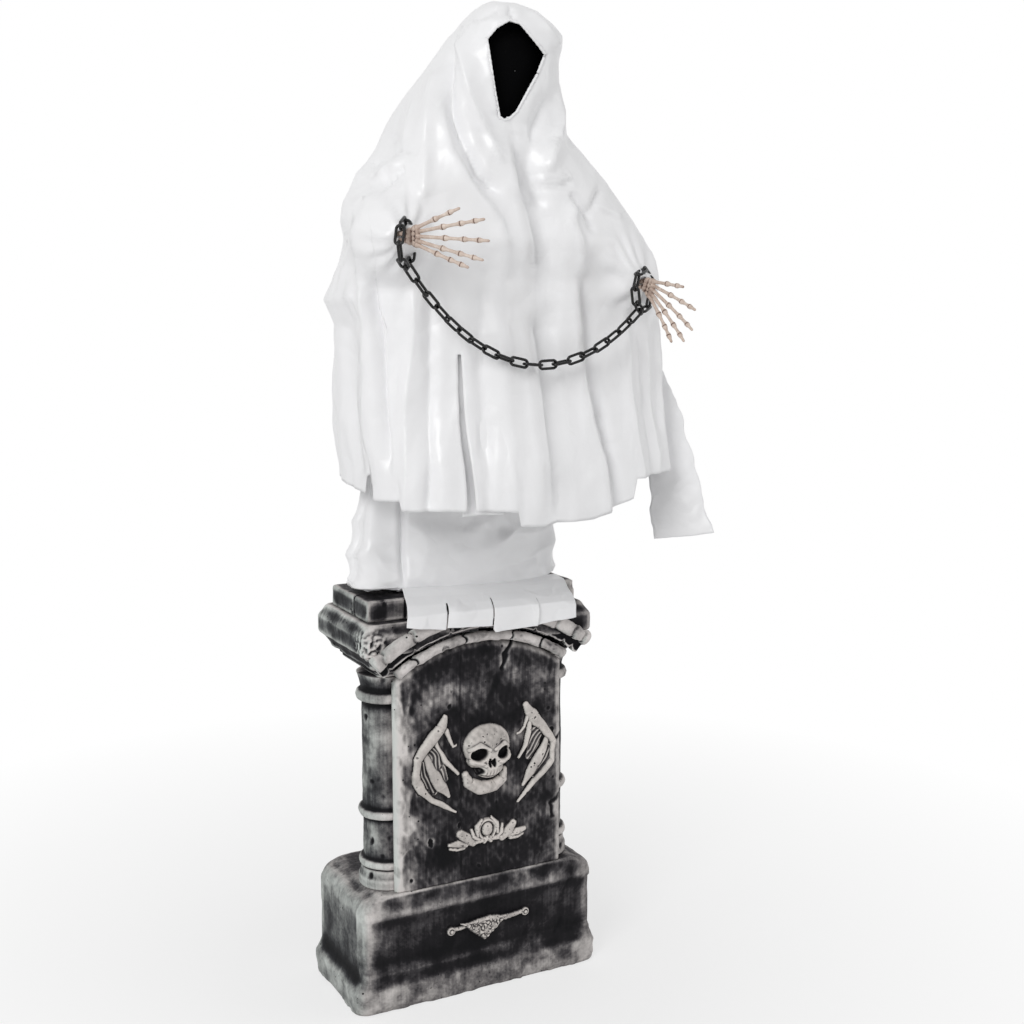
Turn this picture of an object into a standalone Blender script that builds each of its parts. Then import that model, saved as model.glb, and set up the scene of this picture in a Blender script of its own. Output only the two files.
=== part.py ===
"""An animated ghost figure that rises from the top of a tombstone.

Units are metres, +Z is up and the front faces -Y. The origin is the middle of
the tombstone's foot, on the floor. A mast in the tombstone slides down with the
ghost, the ghost turns on the mast, and a chain swings between its wrists.
"""
import math

import bmesh
import bpy
from mathutils import Matrix, Vector

# Fits and cutters
GAP = 0.0003
OVERRUN = 0.012
SHEET_STEEL = 0.002

# Tombstone: foot and plinth
FOOT_HALF_X = 0.220
FOOT_HALF_Y = 0.104
FOOT_UNDERCUT = 0.008
FOOT_EDGE_Z = 0.014
FOOT_RIM_Z = 0.038
FOOT_STEP_Z = 0.054
PLINTH_HALF_X = 0.206
PLINTH_HALF_Y = 0.0985
PLINTH_DRAFT = 0.001
PLINTH_SHOULDER_Z = 0.166
PLINTH_ROUND_Z = 0.180
PLINTH_ROUND = 0.009
PLINTH_TOP_Z = 0.190
PLINTH_TOP_HALF_X = 0.172
PLINTH_TOP_HALF_Y = 0.0955
PLINTH_HOLE_HALF_X = 0.100
PLINTH_HOLE_HALF_Y = 0.062
SHELL_WALL = 0.004
CORNER_ROUND = 0.014
FLOOR_PLATE_THICK = 0.008

# Tombstone: panel, core and columns
PANEL_HALF_X = 0.147
PANEL_FRONT_Y = -0.095
PANEL_DEPTH = 0.0127
PANEL_EDGE = 0.003
CORE_TOP_Z = 0.535
CORE_BACK_Y = 0.075
CORE_BACK_HALF_X = 0.118
COLUMN_X = 0.135
COLUMN_Y = -0.034
COLUMN_SHAFT_R = 0.040
COLUMN_RING_R = 0.048
COLUMN_RING_HALF_Z = 0.007
COLUMN_BASE_Z = 0.030
COLUMN_LOW_RING_Z = 0.038
COLUMN_MID_RING_Z = 0.121
COLUMN_CAP_RING_Z = 0.308
COLUMN_SIDES = 16

# Tombstone: cornice, arch and top block
CORNICE_HALF_X = 0.200
CORNICE_HALF_Y = 0.1045
CORNICE_LOW_HEIGHT = 0.040
CORNICE_SLAB_HEIGHT = 0.032
CORNICE_TOP_HEIGHT = 0.015
CORNICE_TAPER = 0.018
CORNICE_LOW_STEP = 0.016
CORNICE_BEVEL = 0.010
CORNICE_HOLE_HALF_X = 0.100
CORNICE_HOLE_HALF_Y = 0.050
ARCH_CROWN_RISE = 0.017
ARCH_HALF_X = 0.1946
ARCH_INNER_RADIUS = 0.2548
ARCH_INNER_ROLL = 0.009
ARCH_INNER_Y = -0.100
ARCH_STEP = 0.0039
ARCH_OUTER_ROLL = 0.012
ARCH_COVE_WIDTH = 0.014
ARCH_COVE_DEPTH = 0.003
ARCH_STEPS = 18
TOP_BLOCK_HALF_X = 0.182
TOP_BLOCK_HALF_Y = 0.075
TOP_BLOCK_HEIGHT = 0.033
TOP_BLOCK_EDGE = 0.004

# Ornaments on the panel and the plinth
ORNAMENT_DEPTH = 0.007
ORNAMENT_EDGE = 0.0015
SKULL_WIDTH = 0.087
SKULL_HEIGHT = 0.113
SKULL_DEPTH = 0.022
SKULL_X = 0.012
SKULL_LOW_Z = 0.331
SOCKET_R = 0.012
NOSE_R = 0.006
WING_WIDTH = 0.076
WING_HEIGHT = 0.169
WING_OUTER_X = 0.128
WING_LOW_Z = 0.296
SHELL_ORNAMENT_WIDTH = 0.143
SHELL_ORNAMENT_HEIGHT = 0.048
SHELL_ORNAMENT_LOW_Z = 0.239
SCROLL_WIDTH = 0.149
SCROLL_HEIGHT = 0.048
SCROLL_LOW_Z = 0.080

# Lift inside the tombstone
MAST_HALF = 0.0125
MAST_WALL = 0.0015
MAST_BOTTOM_Z = 0.150
MAST_TOP_Z = 1.000
MAST_CLEARANCE = 0.0005
LIFT_TRAVEL = 0.120
CHANNEL_HALF_X = 0.030
CHANNEL_FRONT_Y = -0.0275
CHANNEL_BACK_Y = 0.020
CHANNEL_TOP_SETBACK = 0.022
GUIDE_HEIGHT = 0.020
LOW_GUIDE_Z = 0.160
TOP_GUIDE_SETBACK = 0.030
GEAR_MODULE = 0.002
GEAR_TEETH = 20
GEAR_PRESSURE_ANGLE = math.radians(20)
GEAR_BACKLASH = 0.0004
GEAR_ADDENDUM_SHARE = 1.0
GEAR_DEDENDUM_SHARE = 1.25
GEAR_WIDTH = 0.012
RACK_BASE = 0.006
RACK_END = 0.025
PINION_Z = 0.335
PINION_SHAFT_R = 0.003
BRACKET_HALF_Z = 0.025
BRACKET_BACK = 0.018
MOTOR_R = 0.017
MOTOR_CAN_R = 0.0145
MOTOR_GEARBOX_LENGTH = 0.022
MOTOR_LENGTH = 0.054

# Battery box, its door and the power switch
BATTERY_HALF_X = 0.070
BATTERY_LOW_Z = 0.060
BATTERY_TOP_Z = 0.130
BATTERY_DEPTH = 0.050
BATTERY_WALL = 0.002
DOOR_EDGE = 0.004
DOOR_CLEARANCE = 0.0008
DOOR_THICK = 0.0035
DOOR_HINGE_R = 0.0032
DOOR_HINGE_PIN_R = 0.0012
DOOR_BARREL_HALF_X = 0.050
DOOR_EAR_WIDTH = 0.008
DOOR_EAR_R = 0.0026
SWITCH_X = 0.120
SWITCH_Z = 0.095
SWITCH_PLATE_HALF_X = 0.014
SWITCH_PLATE_HALF_Z = 0.020
SWITCH_PLATE_THICK = 0.003
SWITCH_SLOT_HALF_X = 0.0035
SWITCH_SLOT_HALF_Z = 0.008
SWITCH_KNOB_HALF_Z = 0.004
SWITCH_KNOB_OUT = 0.005
SWITCH_BODY_DEPTH = 0.010
CONTROL_BOARD_HALF_X = 0.030
CONTROL_BOARD_HALF_Y = 0.022
CONTROL_BOARD_THICK = 0.0016
CONTROL_BOARD_INSET = 0.070
CONTROL_BOARD_X = CONTROL_BOARD_INSET - FOOT_HALF_X
STANDOFF_R = 0.004
STANDOFF_HEIGHT = 0.012

# Turning head of the mast and the ghost's frame
HOOP_HALF_X = 0.090
HOOP_HALF_Y = 0.055
HOOP_THICK = 0.005
HOOP_SIDES = 16
HOOP_Z = 0.960
TURN_MOTOR_R = 0.024
TURN_MOTOR_HEIGHT = 0.045
TURN_SHAFT_R = 0.005
TURN_SHAFT_HEIGHT = 0.010
HUB_R = 0.022
HUB_HEIGHT = 0.020
SPINE_R = 0.010
SPINE_LEAN = 0.115
SPINE_TOP_Z = 1.370
SPINE_STEPS = 8
NECK_LENGTH = 0.034
ROBE_HALF_WIDTH = 0.245
SHOULDER_Z = 1.265
SHOULDER_SHARE = 0.6122
SHOULDER_HALF_X = ROBE_HALF_WIDTH * SHOULDER_SHARE
SHOULDER_R = 0.010
ARM_R = 0.009
ARM_STEPS = 8
ELBOW_OUT_SHARE = 0.1045
ELBOW_OUT = ROBE_HALF_WIDTH * ELBOW_OUT_SHARE
ELBOW_FORWARD = 0.055
ELBOW_DROP_SHARE = 0.55

# Hands
WRIST_SHARE = 0.7755
WRIST_X = ROBE_HALF_WIDTH * WRIST_SHARE
WRIST_Y = -0.245
LEFT_WRIST_Z = 1.191
RIGHT_WRIST_Z = 1.129
LEFT_WRIST_SHIFT = 0.0085
RIGHT_WRIST_SHIFT = 0.0085
WRIST_R = 0.011
WRIST_LENGTH = 0.032
PALM_HALF_HEIGHT = 0.014
PALM_HALF_THICK = 0.0075
PALM_LENGTH = 0.026
LEFT_HAND_TURN = math.radians(23)
RIGHT_HAND_TURN = math.radians(5)
LEFT_HAND_DROOP = math.radians(0)
RIGHT_HAND_DROOP = math.radians(27)
FINGER_R = 0.0034
FINGER_SIDES = 6
FINGER_KNOB_SHARE = 1.45
FINGER_TIP_SHARE = 0.6
FINGER_LENGTHS = (0.080, 0.118, 0.125, 0.118, 0.096)
LEFT_FAN = tuple(math.radians(angle) for angle in (18, 7, -4, -14, -20))
RIGHT_FAN = tuple(math.radians(angle) for angle in (21, 9, -2, -11, -20))
FINGER_CURL = math.radians(8)
WRIST_PLACE_SHARES = (-1.0, -0.35, -0.25, 0.3)
WRIST_SWELL_SHARES = (0.7, 0.75, 1.0, 1.0)
BONE_SHARES = (0.0, 0.40, 0.68, 0.87, 1.0)

# Chain between the wrists
LINK_SHARE = 0.16737
LINK_LENGTH = WRIST_X * LINK_SHARE
LINK_WIDTH = 0.0155
LINK_WIRE_R = 0.0021
LINK_BEND_STEPS = 3
LINK_SIDES = 6
LINK_PLAY = 0.0005
CHAIN_LINKS = 19
LOOP_LINKS = 8
LOOP_FUSE = 0.0006
LOOP_SETBACK = 0.006
LOOP_EASE = 0.0006
LEFT_LOOP_ANGLE = math.radians(-68)
RIGHT_LOOP_ANGLE = math.radians(-118)
LEFT_LOOP_TURN = math.radians(50)
RIGHT_LOOP_TURN = math.radians(34)

# Cloth
CLOTH = 0.004
ROBE_TOP_Z = 1.333
ROBE_HEM_Z = 0.800
ROBE_CENTRE_Y = -0.065
ROBE_LEAN = 0.040
ROBE_FRONT = 0.150
ROBE_BACK = 0.156
ROBE_TAPER_SHARE = 0.24
ROBE_ROUND_SHARE = 0.62
ROBE_FOLD = 0.007
ROBE_FOLDS = 11
ROBE_SIDES = 48
ROBE_TAIL_FLARE = 0.075
ROBE_TAIL_HALF_ANGLE = math.radians(20)
ROBE_TAIL_ANGLE = math.radians(-6)
ROBE_WRIST_HOLE_R = 0.030
HOOD_TOP_Z = 1.529
HOOD_ROUND_SHARE = 0.74
HOOD_X = 0.008
HOOD_HALF_WIDTH = 0.148
HOOD_SIDES = 24
HOOD_FRONT_Y = -0.214
HOOD_BACK_LOW_Y = 0.045
FACE_HALF_WIDTH = 0.047
FACE_HEIGHT = 0.142
FACE_LOW_Z = 1.350
VEIL_THICK = 0.002
VEIL_BACK = 0.0148
HEAD_HALF_X = 0.062
HEAD_HALF_Y = 0.055
HEAD_HALF_Z = 0.066
HEAD_Z = 1.447
SKIRT_TOP_SETBACK = 0.002
SKIRT_LOW_HALF_X = 0.163
SKIRT_LOW_HALF_Y = 0.068
SKIRT_FOLD = 0.006
SKIRT_FOLDS = 9
SKIRT_SIDES = 40
FLAP_DROP = 0.035
FLAP_THICK = 0.0025
FLAP_LEFT_X = -0.113
FLAP_RIGHT_X = 0.178
FLAP_SLIT_HEIGHT = 0.034
FLAP_SLIT_WIDTH = 0.006
FLAP_TUCK_Y = -0.030
FLAP_STAND_OFF = 0.0035

# Shares of the sizes above that shape the outlines
SKULL_OUTLINE_SHARES = (
    (0.57, 1.0), (0.32, 0.97), (0.12, 0.85), (0.04, 0.67), (0.0, 0.52), (0.07, 0.39),
    (0.13, 0.30), (0.10, 0.17), (0.2, 0.07), (0.36, 0.02), (0.54, 0.0), (0.72, 0.03),
    (0.83, 0.11), (0.86, 0.23), (0.9, 0.36), (0.97, 0.44), (1.0, 0.61), (0.93, 0.8),
    (0.79, 0.93))
WING_OUTLINE_SHARES = (
    (0.83, 0.98), (0.65, 1.0), (0.51, 0.96), (0.36, 0.86), (0.13, 0.73), (0.01, 0.62),
    (0.06, 0.5), (0.0, 0.36), (0.13, 0.27), (0.38, 0.16), (0.68, 0.07), (1.0, 0.0),
    (0.92, 0.05), (0.61, 0.15), (0.40, 0.24), (0.30, 0.33), (0.51, 0.29), (0.72, 0.21),
    (0.84, 0.19), (0.77, 0.26), (0.57, 0.41), (0.42, 0.53), (0.4, 0.63), (0.53, 0.73),
    (0.77, 0.79), (0.82, 0.9))
SHELL_OUTLINE_SHARES = (
    (0.0, 0.12), (0.09, 0.31), (0.16, 0.59), (0.22, 0.62), (0.31, 0.40), (0.33, 0.64),
    (0.39, 0.90), (0.44, 0.96), (0.5, 0.78), (0.56, 0.96), (0.61, 0.90), (0.67, 0.64),
    (0.69, 0.40), (0.78, 0.62), (0.84, 0.59), (0.91, 0.31), (1.0, 0.12), (0.75, 0.05),
    (0.5, 0.0), (0.25, 0.05))
SCROLL_OUTLINE_SHARES = (
    (0.0, 0.70), (0.03, 0.86), (0.14, 0.90), (0.3, 0.80), (0.42, 0.86), (0.5, 1.0),
    (0.58, 0.86), (0.7, 0.80), (0.86, 0.90), (0.97, 0.86), (1.0, 0.70), (0.93, 0.58),
    (0.80, 0.62), (0.72, 0.36), (0.62, 0.16), (0.5, 0.0), (0.38, 0.16), (0.28, 0.36),
    (0.20, 0.62), (0.07, 0.58))
FACE_OUTLINE_SHARES = (
    (0.05, 1.0), (0.62, 0.78), (0.98, 0.62), (0.95, 0.42), (0.70, 0.22), (0.28, 0.04),
    (0.0, 0.0), (-0.28, 0.04), (-0.70, 0.28), (-0.98, 0.58), (-0.80, 0.82), (-0.45, 0.92))
ROBE_HEIGHT_SHARES = (0.0, 0.14, 0.28, 0.42, 0.56, 0.68, 0.78, 0.87, 0.94, 0.98, 1.0)
ROBE_WIDTH_SHARES = (1.0, 0.99, 0.98, 0.97, 0.96, 0.93, 0.87, 0.79, 0.71, 0.65, 0.60)
ROBE_FRONT_SHARES = (1.0, 0.99, 0.97, 0.95, 0.93, 0.92, 0.91, 0.89, 0.86, 0.84, 0.83)
ROBE_BACK_SHARES = (1.0, 1.0, 0.99, 0.98, 0.97, 0.95, 0.93, 0.91, 0.89, 0.87, 0.86)
ROBE_LEAN_SHARES = (0.0, 0.02, 0.04, 0.07, 0.11, 0.17, 0.26, 0.38, 0.52, 0.58, 0.62)
ROBE_HEM_ANGLES = tuple(math.radians(angle) for angle in (
    -180, -152, -146, -138, -128, -112, -98, -78, -60, -46, -40, -26, -22, 10, 16, 60, 100, 180))
ROBE_HEM_SHARES = (
    0.09, 0.09, 0.15, 0.08, 0.06, 0.0, 0.0, -0.03, -0.03, 0.06, 0.10, 0.10, -0.14, -0.15,
    0.02, 0.0, 0.02, 0.09)
HOOD_HEIGHT_SHARES = (0.0, 0.14, 0.38, 0.60, 0.80, 0.92, 0.98)
HOOD_WIDTH_SHARES = (1.0, 0.92, 0.80, 0.71, 0.62, 0.45, 0.22)
HOOD_BACK_SHARES = (1.0, 0.90, 0.72, 0.62, 0.52, 0.34, 0.14)
HOOD_FRONT_SHARES = (1.0, 1.0, 1.0, 0.98, 0.92, 0.72, 0.46)
FLAP_SLIT_SHARES = (0.22, 0.50, 0.76)
SKIRT_HEIGHT_SHARES = (0.0, 0.10, 0.28, 0.45, 0.70, 1.0)
SKIRT_SPREAD_SHARES = (1.0, 0.97, 0.80, 0.45, 0.15, 0.0)

# Places worked out from the sizes
CORE_HALF_X = COLUMN_X - COLUMN_RING_R - GAP
CORE_STEP_Y = COLUMN_Y + COLUMN_RING_R + GAP
CORE_FRONT_Y = PANEL_FRONT_Y + PANEL_DEPTH + GAP
CORNICE_SLAB_LOW_Z = CORE_TOP_Z + CORNICE_LOW_HEIGHT
CORNICE_SLAB_TOP_Z = CORNICE_SLAB_LOW_Z + CORNICE_SLAB_HEIGHT
CORNICE_TOP_Z = CORNICE_SLAB_TOP_Z + CORNICE_TOP_HEIGHT
ARCH_CUT_RADIUS = ARCH_INNER_RADIUS + ARCH_INNER_ROLL + GAP
ARCH_OUTER_RADIUS = ARCH_CUT_RADIUS + ARCH_STEP + ARCH_COVE_WIDTH + ARCH_OUTER_ROLL
ARCH_OUTSIDE_RADIUS = ARCH_OUTER_RADIUS + ARCH_OUTER_ROLL
ARCH_CROWN_Z = CORNICE_TOP_Z + ARCH_CROWN_RISE
ARCH_CENTRE_Z = ARCH_CROWN_Z - ARCH_OUTSIDE_RADIUS
ARCH_HALF_ANGLE = math.asin(ARCH_HALF_X / ARCH_OUTSIDE_RADIUS)
FLAP_LOW_Z = ARCH_CROWN_Z - FLAP_DROP
TOP_BLOCK_TOP_Z = CORNICE_TOP_Z + GAP + TOP_BLOCK_HEIGHT
CHANNEL_TOP_Z = CORNICE_TOP_Z - CHANNEL_TOP_SETBACK
TOP_GUIDE_Z = CHANNEL_TOP_Z - TOP_GUIDE_SETBACK
GEAR_PITCH_R = GEAR_MODULE * GEAR_TEETH / 2
RACK_ROOT_Y = MAST_HALF + GAP + RACK_BASE
RACK_PITCH_Y = RACK_ROOT_Y + GEAR_MODULE * GEAR_DEDENDUM_SHARE
PINION_Y = RACK_PITCH_Y + GEAR_PITCH_R
DOOR_HINGE_Y = PLINTH_HALF_Y + DOOR_HINGE_R
DOOR_HINGE_Z = BATTERY_LOW_Z + DOOR_EDGE
TURN_MOTOR_Z = MAST_TOP_Z + GAP
HUB_Z = TURN_MOTOR_Z + TURN_MOTOR_HEIGHT + GAP
SPINE_Z = HUB_Z + HUB_HEIGHT + GAP
HOOD_LOW_Z = ROBE_TOP_Z + GAP


def clear_scene():
    """Remove every object that the file already holds."""
    for old in list(bpy.data.objects):
        bpy.data.objects.remove(old, do_unlink=True)


def material(name, colour, roughness, metallic=0.0):
    """A Principled material, made once for each name."""
    found = bpy.data.materials.get(name)
    if found:
        return found
    made = bpy.data.materials.new(name)
    made.use_nodes = True
    shader = made.node_tree.nodes["Principled BSDF"]
    shader.inputs["Base Color"].default_value = (*colour, 1.0)
    shader.inputs["Roughness"].default_value = roughness
    shader.inputs["Metallic"].default_value = metallic
    made.diffuse_color = (*colour, 1.0)
    return made


def stone():
    return material("painted_stone", (0.23, 0.22, 0.22), 0.8)


def pale_stone():
    return material("dry_brushed_stone", (0.62, 0.60, 0.57), 0.75)


def white_cloth():
    return material("white_cloth", (0.86, 0.86, 0.87), 0.45)


def black_cloth():
    return material("black_cloth", (0.01, 0.01, 0.01), 0.9)


def bone():
    return material("bone_plastic", (0.74, 0.62, 0.54), 0.55)


def black_plastic():
    return material("black_plastic", (0.02, 0.02, 0.02), 0.35)


def steel():
    return material("zinc_steel", (0.6, 0.6, 0.62), 0.4, 1.0)


def nylon():
    return material("white_nylon", (0.85, 0.84, 0.8), 0.5)


def finish(name, bm, look, origin=(0, 0, 0), smooth=False):
    """Turn a bmesh into a named object whose origin is at the given place."""
    bmesh.ops.recalc_face_normals(bm, faces=bm.faces)
    bmesh.ops.translate(bm, verts=bm.verts, vec=-Vector(origin))
    mesh = bpy.data.meshes.new(name)
    bm.to_mesh(mesh)
    bm.free()
    mesh.materials.append(look)
    if smooth:
        mesh.shade_smooth()
        mesh.set_sharp_from_angle(angle=math.radians(40))
    made = bpy.data.objects.new(name, mesh)
    made.location = origin
    bpy.context.scene.collection.objects.link(made)
    return made


def guide(name, bm):
    """A closed body that only a Boolean modifier uses."""
    made = finish(name, bm, stone())
    made.hide_render = True
    made.display_type = "WIRE"
    return made


def combine(target, tool, operation="DIFFERENCE"):
    """Cut the tool out of the target, or join it to the target."""
    modifier = target.modifiers.new(tool.name, "BOOLEAN")
    modifier.operation = operation
    modifier.solver = "EXACT"
    modifier.object = tool
    return modifier


def add_ring(bm, points):
    return [bm.verts.new(point) for point in points]


def bridge(bm, first, second):
    """Join two rings of equal length with quads."""
    count = len(first)
    for k in range(count):
        n = (k + 1) % count
        bm.faces.new((first[k], first[n], second[n], second[k]))


def loft(rings, looped=False):
    """Join rings in turn; a looped loft closes on its first ring."""
    bm = bmesh.new()
    made = [add_ring(bm, ring) for ring in rings]
    for first, second in zip(made, made[1:]):
        bridge(bm, first, second)
    if looped:
        bridge(bm, made[-1], made[0])
    else:
        bm.faces.new(made[0])
        bm.faces.new(made[-1])
    return bm


def box(low, high):
    """A box between two corners."""
    (x0, y0, z0), (x1, y1, z1) = low, high
    return loft([((x0, y0, z), (x1, y0, z), (x1, y1, z), (x0, y1, z)) for z in (z0, z1)])


def prism(outline, along, low, high):
    """Extrude a flat outline along X, Y or Z between two places."""
    place = {"x": lambda a, b, c: (c, a, b), "y": lambda a, b, c: (a, c, b),
             "z": lambda a, b, c: (a, b, c)}[along]
    return loft([[place(a, b, c) for a, b in outline] for c in (low, high)])


def offset(outline, distance):
    """Move every edge of a counter-clockwise outline inwards."""
    moved = []
    count = len(outline)
    for k in range(count):
        before, here, after = (Vector(outline[(k + s) % count]) for s in (-1, 0, 1))
        into, out = (here - before).normalized(), (after - here).normalized()
        inward = Vector((-into.y, into.x)) + Vector((-out.y, out.x))
        inward.normalize()
        reach = distance / max(inward.dot(Vector((-into.y, into.x))), 0.35)
        moved.append(tuple(here + inward * reach))
    return moved


def rounded_rectangle(half_x, half_y, radius, z, centre_y=0.0, steps=3):
    """A level rectangle with round corners."""
    ring = []
    for corner in range(4):
        sx = 1 if corner in (0, 3) else -1
        sy = 1 if corner in (0, 1) else -1
        for k in range(steps):
            angle = math.pi / 2 * (corner + k / (steps - 1))
            ring.append((sx * (half_x - radius) + radius * math.cos(angle),
                         centre_y + sy * (half_y - radius) + radius * math.sin(angle), z))
    return ring


def circle(centre, radius, sides, first, second):
    """A circle in the plane of two unit vectors."""
    centre, first, second = Vector(centre), Vector(first), Vector(second)
    return [centre + radius * (math.cos(2 * math.pi * k / sides) * first
                               + math.sin(2 * math.pi * k / sides) * second)
            for k in range(sides)]


def cylinder(start, end, radius, sides):
    """A round bar between two points."""
    return tube((start, end), (radius, radius), sides)


def tube(points, radii, sides, looped=False, side=None):
    """A round tube along a path, with a radius at every point and mitred bends."""
    points = [Vector(point) for point in points]
    count = len(points)
    rings = []
    for k in range(count):
        into = (points[k] - points[k - 1]).normalized() if k or looped else None
        out = (points[(k + 1) % count] - points[k]).normalized() if k < count - 1 or looped else None
        into, out = into or out, out or into
        tangent = (into + out).normalized()
        side = side or tangent.orthogonal()
        side = (side - tangent * side.dot(tangent)).normalized()
        bend = out - into
        stretch = 1 / tangent.dot(out) - 1 if bend.length > GAP else 0.0
        ring = circle((0, 0, 0), radii[k], sides, side, tangent.cross(side))
        if stretch:
            bend.normalize()
            ring = [point + bend * point.dot(bend) * stretch for point in ring]
        rings.append([points[k] + point for point in ring])
    return loft(rings, looped)


def turned(centre, profile, sides):
    """A solid turned about an upright axis from (radius, height) pairs."""
    x, y = centre
    return loft([circle((x, y, z), radius, sides, (1, 0, 0), (0, 1, 0)) for radius, z in profile])


def between(place, places, shares):
    """Read a table of shares between its places."""
    for k in range(len(places) - 1):
        if place <= places[k + 1]:
            step = (place - places[k]) / (places[k + 1] - places[k])
            return shares[k] + (shares[k + 1] - shares[k]) * step
    return shares[-1]


# Tombstone

def make_plinth_shell():
    """Hollow foot and plinth, open below, with ears for the battery door."""
    outer = (
        (FOOT_HALF_X - FOOT_UNDERCUT, FOOT_HALF_Y - FOOT_UNDERCUT, 0.0),
        (FOOT_HALF_X, FOOT_HALF_Y, FOOT_EDGE_Z),
        (FOOT_HALF_X, FOOT_HALF_Y, FOOT_RIM_Z),
        (PLINTH_HALF_X, PLINTH_HALF_Y, FOOT_STEP_Z),
        (PLINTH_HALF_X - PLINTH_DRAFT, PLINTH_HALF_Y, PLINTH_SHOULDER_Z),
        (PLINTH_HALF_X - PLINTH_ROUND, PLINTH_HALF_Y - PLINTH_DRAFT, PLINTH_ROUND_Z),
        (PLINTH_TOP_HALF_X, PLINTH_TOP_HALF_Y, PLINTH_TOP_Z))
    rings = [rounded_rectangle(x, y, CORNER_ROUND, z) for x, y, z in outer]
    inner_round = CORNER_ROUND - SHELL_WALL
    rings.append(rounded_rectangle(PLINTH_HOLE_HALF_X, PLINTH_HOLE_HALF_Y, inner_round,
                                   PLINTH_TOP_Z))
    rings.append(rounded_rectangle(PLINTH_HOLE_HALF_X, PLINTH_HOLE_HALF_Y, inner_round,
                                   PLINTH_TOP_Z - SHELL_WALL))
    for x, y, z in reversed(outer):
        level = z - SHELL_WALL if z >= PLINTH_ROUND_Z else z
        rings.append(rounded_rectangle(x - SHELL_WALL, y - SHELL_WALL, inner_round, level))
    shell = finish("plinth_shell", loft(rings, looped=True), stone())
    doorway = box((-door_half_x() - DOOR_CLEARANCE, PLINTH_HALF_Y - OVERRUN, DOOR_HINGE_Z),
                  (door_half_x() + DOOR_CLEARANCE, PLINTH_HALF_Y + OVERRUN / 2,
                   door_top_z() + DOOR_CLEARANCE))
    combine(shell, guide("plinth_doorway", doorway))
    for side in (-1, 1):
        ear_x = side * (DOOR_BARREL_HALF_X + GAP + DOOR_EAR_WIDTH / 2)
        near, far = ear_x - DOOR_EAR_WIDTH / 2, ear_x + DOOR_EAR_WIDTH / 2
        foot = box((near, PLINTH_HALF_Y - SHELL_WALL / 2, DOOR_HINGE_Z - DOOR_HINGE_R),
                   (far, DOOR_HINGE_Y + DOOR_EAR_R, DOOR_HINGE_Z))
        combine(shell, guide("plinth_ear_foot_%d" % side, foot), "UNION")
        eye = cylinder((near, DOOR_HINGE_Y, DOOR_HINGE_Z), (far, DOOR_HINGE_Y, DOOR_HINGE_Z),
                       DOOR_EAR_R, 12)
        combine(shell, guide("plinth_ear_eye_%d" % side, eye), "UNION")
    reach = DOOR_BARREL_HALF_X + DOOR_EAR_WIDTH + OVERRUN
    bore = cylinder((-reach, DOOR_HINGE_Y, DOOR_HINGE_Z), (reach, DOOR_HINGE_Y, DOOR_HINGE_Z),
                    DOOR_HINGE_PIN_R + GAP, 12)
    combine(shell, guide("plinth_ear_bore", bore))
    slot = box((SWITCH_X - SWITCH_SLOT_HALF_X, PLINTH_HALF_Y - OVERRUN,
                SWITCH_Z - SWITCH_SLOT_HALF_Z),
               (SWITCH_X + SWITCH_SLOT_HALF_X, PLINTH_HALF_Y + OVERRUN,
                SWITCH_Z + SWITCH_SLOT_HALF_Z))
    combine(shell, guide("plinth_switch_slot", slot))


def make_floor_plate():
    """Flat board inside the foot that the lift stands on."""
    half_x = FOOT_HALF_X - FOOT_UNDERCUT - SHELL_WALL - GAP
    half_y = FOOT_HALF_Y - FOOT_UNDERCUT - SHELL_WALL - GAP
    rings = [rounded_rectangle(half_x, half_y, CORNER_ROUND - SHELL_WALL, z)
             for z in (0.0, FLOOR_PLATE_THICK)]
    finish("floor_plate", loft(rings), material("hardboard", (0.3, 0.2, 0.12), 0.8))


def make_stele_core():
    """Hollow core behind the panel, narrow between the columns."""
    outline = ((-CORE_HALF_X, CORE_FRONT_Y), (CORE_HALF_X, CORE_FRONT_Y),
               (CORE_HALF_X, CORE_STEP_Y), (CORE_BACK_HALF_X, CORE_STEP_Y),
               (CORE_BACK_HALF_X, CORE_BACK_Y), (-CORE_BACK_HALF_X, CORE_BACK_Y),
               (-CORE_BACK_HALF_X, CORE_STEP_Y), (-CORE_HALF_X, CORE_STEP_Y))
    inner = offset(outline, SHELL_WALL)
    low, high = PLINTH_TOP_Z + GAP, CORE_TOP_Z - GAP
    rings = [[(x, y, z) for x, y in ring]
             for ring, z in ((outline, low), (outline, high), (inner, high), (inner, low))]
    finish("stele_core", loft(rings, looped=True), stone())


def make_stele_panel():
    """Front panel with an arched head and a softened front edge."""
    radius = ARCH_INNER_RADIUS - ARCH_INNER_ROLL - GAP
    spread = math.asin(PANEL_HALF_X / radius)
    outline = [(-PANEL_HALF_X, PLINTH_TOP_Z + GAP), (PANEL_HALF_X, PLINTH_TOP_Z + GAP)]
    steps = ARCH_STEPS // 2
    for k in range(steps + 1):
        angle = spread * (1 - 2 * k / steps)
        outline.append((radius * math.sin(angle), ARCH_CENTRE_Z + radius * math.cos(angle)))
    back = PANEL_FRONT_Y + PANEL_DEPTH
    rings = [[(x, y, z) for x, z in ring]
             for ring, y in ((outline, back), (outline, PANEL_FRONT_Y + PANEL_EDGE),
                             (offset(outline, PANEL_EDGE), PANEL_FRONT_Y))]
    finish("stele_panel", loft(rings), stone())


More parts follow.
